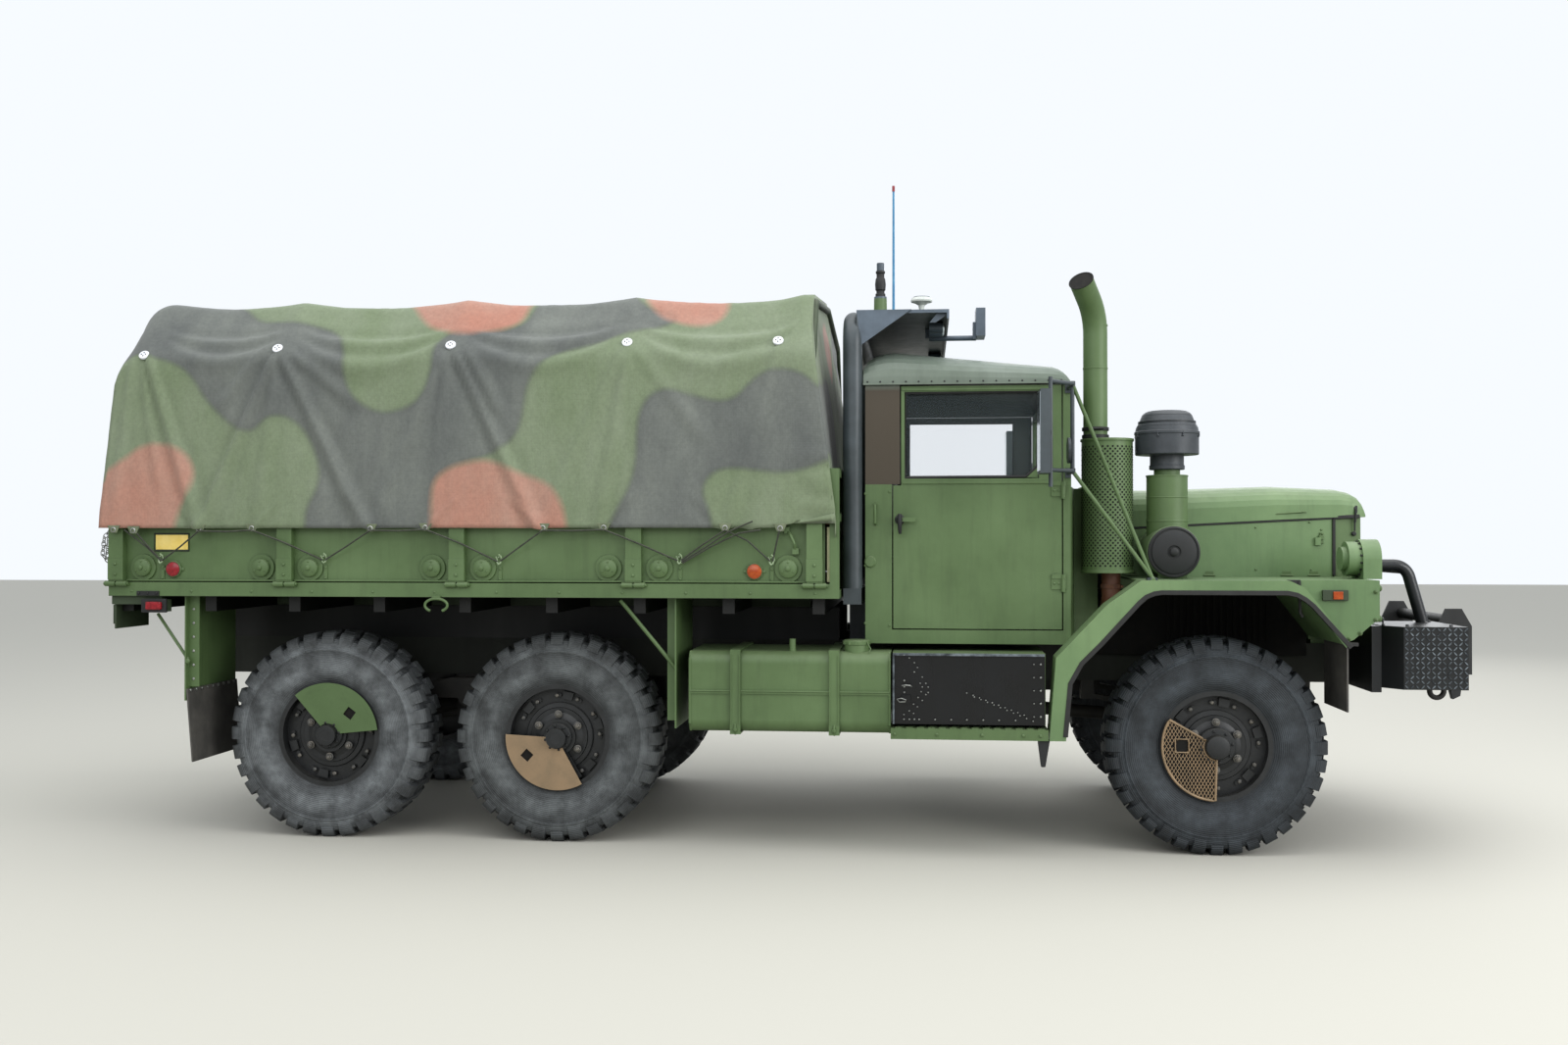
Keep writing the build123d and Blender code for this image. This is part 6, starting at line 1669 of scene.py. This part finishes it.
def placard(side, label):
    """Hang the bare yellow plate in its frame."""
    plate = Shape(side)
    plate.block((-5363, -5189), (1179, 1183), (1498, 1574))
    piece("placard_" + label, plate, PLACARD, edge=1.5)
    border = Shape(side)
    corners = ((-5369, 1492), (-5183, 1492), (-5183, 1580), (-5369, 1580))
    border.wire([(x, 1182, z) for x, z in corners], 3.5, 8, closed=True)
    piece("placard_frame_" + label, border, BLACK_SOFT)


def tie_ring(side, label):
    """Hang the tie-down ring under the sill."""
    ring = Shape(side)
    arc = ring_points(1.0, 24, start=-58, sweep=296, closed=False)
    ring.wire([(-3868 + 58 * u, 1207, 1220 + 33 * v) for u, v in arc], 7.5, 10)
    ring.block((-3890, -3846), (1196, 1212), (1246, 1268))
    piece("tie_ring_" + label, ring, GREEN, edge=1.0)


def gate_latch(side, label):
    """Bend the latch at the gate's front end."""
    latch = Shape(side)
    latch.wire([(-2099, 1190, 1596), (-2078, 1222, 1572), (-2060, 1222, 1530), (-2056, 1192, 1495)], 7, 10)
    latch.block((-2112, -2086), (1180, 1206), (1580, 1612))
    latch.block((-2072, -2040), (1180, 1206), (1478, 1508))
    piece("gate_latch_" + label, latch, GREEN, edge=1.0)


def rear_marker(side, label):
    """Fit the red marker lamp at the bed's rear corner."""
    base = Shape(side)
    base.block((-5426, -5292), (1194, 1208), (1176, 1246))
    base.block((-5452, -5332), (1196, 1206), (1262, 1286))
    for x in (-5440, -5392, -5344):
        base.stud((x, 1206, 1274), SCREW)
    piece("rear_marker_base_" + label, base, BLACK_SOFT, edge=4.0)
    lens = Shape(side)
    lens.block((-5398, -5314), (1200, 1224), (1190, 1232))
    piece("rear_marker_lens_" + label, lens, RED, edge=8.0)


def guard_fixings(side, label):
    """Stay and bolt the mud guard behind the rear wheels."""
    strut = Shape(side)
    strut.wire([(-5393, 1104, 1164), (-5209, 1134, 928)], 8, 10)
    strut.stud((-5206, 1150, 924), ((14, -8), (14, 4), (8, 9)), 10)
    piece("guard_strut_" + label, strut, GREEN)
    bolts = Shape(side)
    for i in range(9):
        y = 660 + 58 * i
        bolts.turned(bolts.at(-5216, y, 772), (-1, 0, 0), ((9, 0), (9, 12), (5, 15)), 8)
        bolts.knob((-5206, y, 772), ((9, 0), (9, 6), (5, 9)))
    for i in range(6):
        bolts.stud((-5190, 1117, 830 + 72 * i), BOLT)
    piece("guard_bolts_" + label, bolts, ZINC)


def tailgate_chain(side, label):
    """Hang the two chains at the tailgate's corner."""
    chains = Shape(side)
    chain(chains, ((-5612, 1150, 1620), (-5652, 1166, 1560), (-5660, 1168, 1470), (-5634, 1150, 1432)))
    chain(chains, ((-5616, 1140, 1610), (-5640, 1150, 1540), (-5646, 1150, 1480), (-5624, 1140, 1380)))
    piece("tailgate_chain_" + label, chains, ZINC)


def tie_strap(side, label):
    """Hang the webbing strap at the cover's front corner."""
    strap = Shape(side)
    band = ((0, 1186), (0, 1189), (22, 1189), (22, 1186))
    strap.loops([[strap.at(-1902 + u, y, z) for u, y in band] for z in (1612, 1500, 1390, 1342)])
    piece("tie_strap_" + label, strap, WEBBING, edge=0.8)


def tail_lenses(side, label):
    """Set the two red tail lenses."""
    lenses = Shape(side)
    for y in (940, 1050):
        lenses.turned(lenses.at(-5640, y, 1160), (-1, 0, 0), ((36, -4), (36, 6), (28, 12), (0, 14)), 24)
    piece("tail_lenses_" + label, lenses, RED)


def tailgate_ribs():
    """Press ribs in the tailgate and hang its two handles."""
    gate = Shape()
    for y in (-900, -450, 0, 450, 900):
        gate.block((-5620, -5604), (y - 22, y + 22), (1345, 1640))
    for heights in ((1622, 1646), (1340, 1362)):
        gate.block((-5618, -5604), (-1110, 1110), heights)
    for y in (-700, 700):
        handle = ((-5606, -70), (-5640, -66), (-5640, 66), (-5606, 70))
        gate.wire([(x, y + v, 1520) for x, v in handle], 7, 10)
    piece("tailgate_ribs", gate, GREEN, body="tailgate", edge=2.0)


on_both_sides(reflectors, placard, tie_ring, gate_latch, rear_marker, guard_fixings, tailgate_chain,
              tie_strap, tail_lenses)
tailgate_ribs()


# Cab: handles, sockets, hinges, window rubber, roof lamps and mirrors

def door_window(side, label):
    """Seal the door's window, fill its cut corner and rail the sill."""
    body = "door_" + label
    seal = Shape(side)
    corners = ((-1520, 1862), (-1520, 2286), (-863, 2286), (-863, 1918), (-925, 1862))
    seal.wire([(x, 984, z) for x, z in corners], 9, 8, closed=True)
    piece("window_rubber_" + label, seal, SEAM, body=body)
    rail = Shape(side)
    corner = ((-862, 1858), (-862, 1925), (-932, 1858))
    rail.loops([[rail.at(x, 972 + out, z) for x, z in corner] for out in (0.0, 18)])
    rail.block((-1538, -846), (996, 1006), (2296, 2308))
    rail.block((-1536, -760), (998, 1005), (1828, 1840))
    piece("window_corner_" + label, rail, GREEN, body=body, edge=2.0)


def door_handle(side, label):
    """Fit the door's lever on its rose."""
    lever = Shape(side)
    lever.stud((-1549, 998, 1650), ((25, 0), (25, 6), (15, 12), (13, 38)), 20)
    lever.wire([(-1549, 1040, 1676), (-1549, 1046, 1650), (-1548, 1046, 1600), (-1547, 1040, 1580)],
               (11, 12, 10, 7), 10)
    piece("door_handle_" + label, lever, BLACK_SOFT, body="door_" + label)


def door_fittings(side, label):
    """Fit the door's two hinges."""
    hinge = Shape(side)
    for z in (1333, 1794):
        hinge.wire([(-742, 1006, z - 42), (-742, 1006, z + 42)], 11, 12)
        hinge.block((-800, -742), (998, 1005), (z - 30, z + 30))
        for x in (-786, -764):
            hinge.stud((x, 1004, z), SCREW)
    piece("door_fittings_" + label, hinge, GREEN, body="door_" + label, edge=0.8)


def cab_grab(side, label):
    """Fit the grab handle, the round socket and the bolts behind the door."""
    grab = Shape(side)
    bend = ((985, 1626), (1030, 1634), (1036, 1678), (1030, 1722), (985, 1729))
    grab.wire([(-1672, y, z) for y, z in bend], 7, 10)
    grab.stud((-1697, 990, 1439), ((30, 0), (30, 14), (24, 20), (0, 21)), 20)
    for x, z in ((-1722, 1130), (-1722, 1420), (-1722, 1780), (-1600, 1120), (-1600, 1790)):
        grab.stud((x, 998, z), BOLT)
    piece("cab_grab_" + label, grab, GREEN)


def roof_gutter(side, label):
    """Run the gutter over the door, clear of it when it opens."""
    gutter = Shape(side)
    gutter.block((-1728, -712), (1000, 1012), (2324, 2334))
    for i in range(16):
        gutter.stud((-1710 + 64 * i, 1016, 2340), ((5, 0), (5, 3), (3, 5)))
    piece("roof_gutter_" + label, gutter, SEAM)


def mirror(side, label):
    """Dress the mirror: its frame and pivots, its silvered face and its braces."""
    fittings = Shape(side)
    for z in (1870, 2248):
        fittings.block((-884, -844), (1266, 1436), (z - 5, z + 5))
    fittings.knob((-843, 1350, 2060), ((20, 0), (20, 8), (12, 14)), 14)
    for z in (1880, 2300):
        fittings.stack((-716, 1200, z - 14), ((14, 0), (14, 28)), 12)
    piece("mirror_fittings_" + label, fittings, BLACK, edge=1.5)
    face = Shape(side)
    face.block((-890, -886), (1270, 1432), (1874, 2244))
    piece("mirror_face_" + label, face, SILVERED, edge=0.5)
    braces = Shape(side)
    for z in (1880, 2300):
        braces.wire([(-716, 1203, z), (-335, 1153, 1368)], 9.6, 10)
    braces.stud((-332, 1150, 1352), ((20, -10), (20, 14), (12, 22)), 14)
    piece("mirror_braces_" + label, braces, GREEN)


def cab_lamps(side, label):
    """Set the lenses of the two lamps on the shelf."""
    for name, y in (("cab_lamp_a_", 560), ("cab_lamp_b_", 700)):
        lens = Shape(side)
        lens.knob((-1330, y, 2655), ((27, -2), (26, 3), (16, 8), (0, 10)), 20)
        piece(name + label, lens, CLEAR)


on_both_sides(door_window, door_handle, door_fittings, cab_grab, roof_gutter, mirror, cab_lamps)


# Lower right: the tool box's riveted lid, the step's bolts, the tank's cap and bands

LID_CORNER = (-1582, 994)
LID_SCALE = 0.817
RIVETS = (
    # places on the lid from its upper rear corner, in units of 0.817 mm, each with a radius
    [(u, v, size) for v in (58, 136, 214, 290, 368) for u, size in ((875, 5.5), (835, 4.0))]
    + [(u, 391, 5.0) for u in (68, 100, 130, 158, 253, 348, 440, 537, 630, 727)]
    + [(70, v, 5.0) for v in (161, 198, 231)]
    + [(u, v, 4.2) for u, v in (
        (68, 9), (100, 26), (130, 54), (148, 82), (130, 109), (177, 139), (165, 176), (198, 176), (177, 198),
        (212, 198), (170, 226), (212, 230), (198, 243), (152, 261), (177, 278), (125, 301), (148, 316),
        (100, 341), (125, 356), (68, 363))]
    + [(u + step * i, v + climb * i, 4.2) for i in range(10)
       for u, step, v, climb in ((440, 37.5, 231, 14.1), (485, 38.3, 254, 15.5))]
)


def tool_lid():
    """Turn the lid's edges, rivet its two panels and bend its wire hasps."""
    edges = Shape()
    edges.block((-1580, -848), (-1183, -1179), (984, 997))
    edges.block((-1582, -1572), (-1184, -1179), (651, 992))
    rivets = Shape()
    for u, v, size in RIVETS:
        centre = rivets.at(LID_CORNER[0] + u * LID_SCALE, -1178, LID_CORNER[1] - v * LID_SCALE)
        rivets.turned(centre, (0, -1, 0), ((size, 0), (size * 0.95, 3), (size * 0.6, 5), (0, 5.6)), 8)
    piece("tool_lid_edge", edges, BLACK_WORN, body="side_box_lid", edge=1.0)
    piece("tool_lid_rivets", rivets, ZINC, body="side_box_lid")
    hasp = Shape()
    hasp.wire([(-1536, -1182, 838), (-1520, -1192, 842), (-1495, -1192, 840), (-1490, -1182, 834)], 3.5, 8)
    hasp.wire([(-1560, -1184, 772), (-1540, -1194, 778), (-1516, -1192, 770), (-1520, -1186, 760),
               (-1548, -1184, 758)], 3, 8, closed=True)
    piece("tool_lid_wire", hasp, ZINC, body="side_box_lid")


def cab_step():
    """Bolt the step, slot its tread and hang its bracket."""
    step = Shape()
    for x in (-1572, -1366, -1150, -952, -870):
        step.turned(step.at(x, -1199, 604), (0, -1, 0), ((8, 0), (8, 5), (5, 8)), 8)
    for i in range(14):
        x = -1570 + 53 * i
        step.block((x, x + 34), (-1196, -1150), (630, 635))
        step.block((x + 12, x + 46), (-1120, -1074), (630, 635))
    piece("step_bolts", step, GREEN, edge=1.0)
    bracket = Shape()
    outline = ((-882, 582), (-824, 582), (-846, 452), (-866, 452))
    bracket.loops([[bracket.at(x, y, z) for x, z in outline] for y in (-1186, -1150)])
    piece("step_bracket", bracket, BLACK_SOFT, edge=3.0)


TANK_SECTION = (
    (-1150, 640), (-1150, 956), (-1116, 990), (-660, 990), (-626, 956), (-626, 640), (-660, 602),
    (-1116, 602),
)


def tank_seams():
    """Bead the tank's ends, strap it and run its seam."""
    tank = Shape()
    for x in (-2588, -1597):
        tank.wire([(x, y, z) for y, z in TANK_SECTION], 7, 8, closed=True)
    for x in (-2359, -1869):
        for out in (-20, 20):
            tank.block((x + out - 3, x + out + 3), (-1168, -1158), (640, 980))
        tank.wire([(x, -1166, 640), (x, -1170, 604), (x, -1150, 588)], 6, 8)
        tank.turned(tank.at(x, -1168, 618), (0, 0, -1), ((11, 0), (11, 12), (7, 14)), 6)
    tank.wire([(-2588, -1158, 800), (-1597, -1158, 800)], 3.5, 8)
    piece("tank_seams", tank, GREEN, edge=0.8)


def tank_cap():
    """Turn the filler's gripped cap, its chain and the breather."""
    filler = Shape()
    profile = ((60, 1026), (66, 1030), (67, 1046), (60, 1052), (20, 1055), (0, 1055))
    filler.stack((-1762, -1060, 0), profile, 36)
    for i in range(12):
        u, v = spoke(64, 30 * i)
        filler.block((-1762 + u - 5, -1762 + u + 5), (-1060 + v - 5, -1060 + v + 5), (1030, 1048))
    filler.wire([(-1712, -1100, 1050), (-1690, -1120, 1010), (-1700, -1130, 992)], 3, 6)
    filler.stack((-2080, -1090, 990), ((18, 0), (18, 14), (10, 20), (10, 34), (0, 36)), 16)
    piece("tank_cap", filler, GREEN)


tool_lid()
cab_step()
tank_seams()
tank_cap()


# Front: chequered plate on the bumper boxes, winch rope and rollers, tow shackles, grille bars

LOZENGE = ((15, 0), (6, 3.6), (-6, 3.6), (-15, 0), (-6, -3.6), (6, -3.6))


def chequer(name, start, gap, columns, place):
    """Raise 13 rows of lozenges on a plate that place reaches by run, height and lift."""
    plate = Shape()
    for row in range(13):
        for column in range(columns):
            run = start + column * gap
            z = 842 + row * 23
            turn = 45 if (row + column) % 2 else -45
            c, s = math.cos(math.radians(turn)), math.sin(math.radians(turn))
            spots = [(a * c - b * s, a * s + b * c) for a, b in LOZENGE]
            plate.loops([[place(run + u * share, z + v * share, lift) for u, v in spots]
                         for share, lift in ((1, 0), (0.8, 4))])
    piece(name, plate, BLACK_WORN)


def bumper_plates(side, label):
    """Plate the outer side and the face of a bumper box."""
    chequer("chequer_side_" + label, 880, 25, 12, lambda x, z, lift: (ahead(x), side * (1049 + lift), z))
    chequer("chequer_face_" + label, 575, 24, 20, lambda y, z, lift: (ahead(1165 + lift), side * y, z))


def bumper_bolts(side, label):
    """Bolt a bumper box and bend the handle on its top."""
    bolts = Shape(side)
    for x, y in ((800, 960), (900, 1000), (1100, 1010), (1130, 620), (900, 620)):
        bolts.stack((x, y, 1130), ((9, 0), (9, 6), (6, 10)))
    bolts.wire([(815, 905, 1126), (818, 900, 1162), (822, 880, 1166)], 4, 8)
    for z in (880, 1060):
        bolts.knob((794, 900, z), ((13, 0), (13, 10), (8, 14)))
    piece("bumper_bolts_" + label, bolts, BLACK)


def tow_shackle(side, label):
    """Hang a tow shackle under the bumper."""
    shackle = Shape(side)
    arc = ring_points(34, 14, (1104, 800), start=180, sweep=180, closed=False)
    shackle.wire([(x, 800, z) for x, z in [(1070, 832)] + arc + [(1138, 832)]], 13, 12)
    piece("tow_shackle_" + label, shackle, GREASED)


def winch_gear():
    """Wind the rope on the drum and set the rollers that guide it."""
    rope = Shape()
    steps, turns = 16, 26
    path = []
    for i in range(turns * steps):
        u, v = spoke(92, 360 * i / steps)
        path.append((1128 + u, -270 + 540 * i / (turns * steps), 985 + v))
    rope.wire(path, 9.5, 6)
    piece("winch_rope", rope, ROPE_STEEL)
    rollers = Shape()
    for z in (930, 1040):
        ends = ((24, -190), (26, -186), (26, 186), (24, 190))
        rollers.turned(rollers.at(1440, 0, z), (0, 1, 0), ends, 20)
    for y in (-205, 205):
        rollers.stack((1462, y, 985), ((20, -80), (22, -76), (22, 76), (20, 80)), 20)
    piece("fairlead_rollers", rollers, ZINC)


def grille_bars():
    """Stand the grille's upright bars."""
    bars = Shape()
    for i in range(15):
        y = -350 + 50 * i
        bars.block((838, 848), (y - 9, y + 9), (1180, 1600))
    piece("grille_bars", bars, GREEN, edge=2.0)


on_both_sides(bumper_plates, bumper_bolts, tow_shackle)
winch_gear()
grille_bars()


# Aerials: a green base with a jointed top, a blue whip with a red tip, and a pale disc

JOINTED_TOP = (
    (27, 2850), (27, 2868), (22, 2872), (22, 2884), (27, 2890), (29, 2920), (26, 2948), (21, 2956),
    (21, 2976), (25, 2980), (25, 2990), (19, 2994), (19, 3034), (0, 3036),
)
GREEN_FOOT = ((62, 2702), (62, 2710), (44, 2716), (36, 2720), (34, 2846), (28, 2852), (0, 2853))
PALE_DISC = (
    (30, 2702), (30, 2708), (15, 2712), (14, 2812), (18, 2836), (40, 2850), (58, 2854), (60, 2862),
    (54, 2876), (34, 2884), (0, 2886),
)


def aerial(name, place, profile, finish, sides):
    """Turn one upright part of an aerial on the shelf over the cab."""
    shape = Shape()
    shape.stack((*place, 0), profile, sides)
    piece(name, shape, finish)


def whip(name, heights, radius, finish):
    """Run one length of the whip aerial up through its heights."""
    shape = Shape()
    shape.wire([(-1600, 0, z) for z in heights], radius, 12)
    piece(name, shape, finish)


aerial("aerial_base", (-1660, -500), GREEN_FOOT, GREEN, 32)
aerial("aerial_joint", (-1660, -500), JOINTED_TOP, BLACK_SOFT, 28)
whip("whip_spring", (2702, 2790), 12, ZINC)
whip("whip_rod", (2788, 3200, 3542), (8, 7, 6), WHIP_BLUE)
whip("whip_tip", (3540, 3572), 8, RED)
aerial("disc_aerial", (-1440, -300), PALE_DISC, PALE_NYLON, 36)


# Seats: crowned cushions with piping on steel pans

CROWN = 26
PLEAT_GAP = 92
PIPING = 4.5


def cushion_outline(half_u, half_v, inset, height, place):
    """Give the squared oval round a cushion at an inset, wavy where the pleats run."""
    sides, square = 64, 7.0
    points = []
    for i in range(sides):
        c, s = math.cos(math.tau * i / sides), math.sin(math.tau * i / sides)
        u = (half_u - inset) * math.copysign(abs(c) ** (2 / square), c)
        v = (half_v - inset) * math.copysign(abs(s) ** (2 / square), s)
        pleat = 5.0 * math.cos(math.tau * u / PLEAT_GAP) if inset > 60 else 0.0
        points.append(place(u, v, height + pleat))
    return points


def pad(name, half_u, half_v, thick, place):
    swell = ((34, 0.28), (66, 0.6), (105, 0.84), (150, 0.96), (min(half_u, half_v) - 6, 1))
    rings = [(10, 0), (0, 8), (0, thick - 24), (4, thick - 12), (15, thick - 3)]
    rings += [(inset, thick + CROWN * share) for inset, share in swell]
    shape = Shape()
    shape.loops([cushion_outline(half_u, half_v, inset, height, place) for inset, height in rings])
    for height in (12, thick - 14):
        shape.tube(cushion_outline(half_u, half_v, 0, height, place), PIPING, 6, closed=True)
    item = bpy.data.objects.new(name, skin(name, shape, SEAT, 45))
    bpy.context.scene.collection.objects.link(item)
    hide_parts("seats")
    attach(item, "chassis")


def seat(pans, label, low, high):
    """Stand a seat's pan and legs between two Y and lay its cushions on them."""
    lean = Vector((-0.0948, 0.9955))
    middle, half = (low + high) / 2, (high - low) / 2
    pans.block((-1632, -1158), (low + 6, high - 6), (1316, 1330))
    pans.block((-1588, -1192), (low + 42, high - 42), (1132, 1316))
    for x in (-1606, -1180):
        for y in (low + 34, high - 34):
            pans.wire([(x, y, 1126), (x, y, 1322)], 13, 10)
    for y in (low + 60, high - 60):
        pans.wire([(-1650, y, 1322), (-1688, y, 1480), (-1716, y, 1900)], 12, 10)
    pad("seat_cushion_" + label, half - 3, 244, 96,
        lambda u, v, h: (ahead(-1395) + v, middle + u, 1330 + h))
    pad("seat_back_" + label, half - 3, 254, 74,
        lambda u, v, h: (ahead(-1674) + lean.x * v + lean.y * h, middle + u, 1712 + lean.y * v - lean.x * h))


seat_pans = Shape()
seat(seat_pans, "driver", 230, 800)
seat(seat_pans, "crew", -880, 60)
piece("seat_pans", seat_pans, BLACK_SOFT, edge=3.0)


# Stringers under the bed, between the cross sills, where they rest on the long sills

def bed_stringers():
    """Fill the gap between the long sills and the floor, one board from sill to sill."""
    boards = Shape()
    first, last = ahead(-5606 + 60), ahead(-1950 - 60)
    for i in range(8):
        ends = [first + (last - first) * (i + step) / 8 for step in (0, 1)]
        for side in SIDES:
            boards.bar((ends[0] + 31, ends[1] - 31), (side * 380, side * 428), (1182, 1241))
    # The boards are dark as painted shade under the bed
    piece("bed_stringers", boards, GREEN_DIRT_AND_SHADE)


bed_stringers()
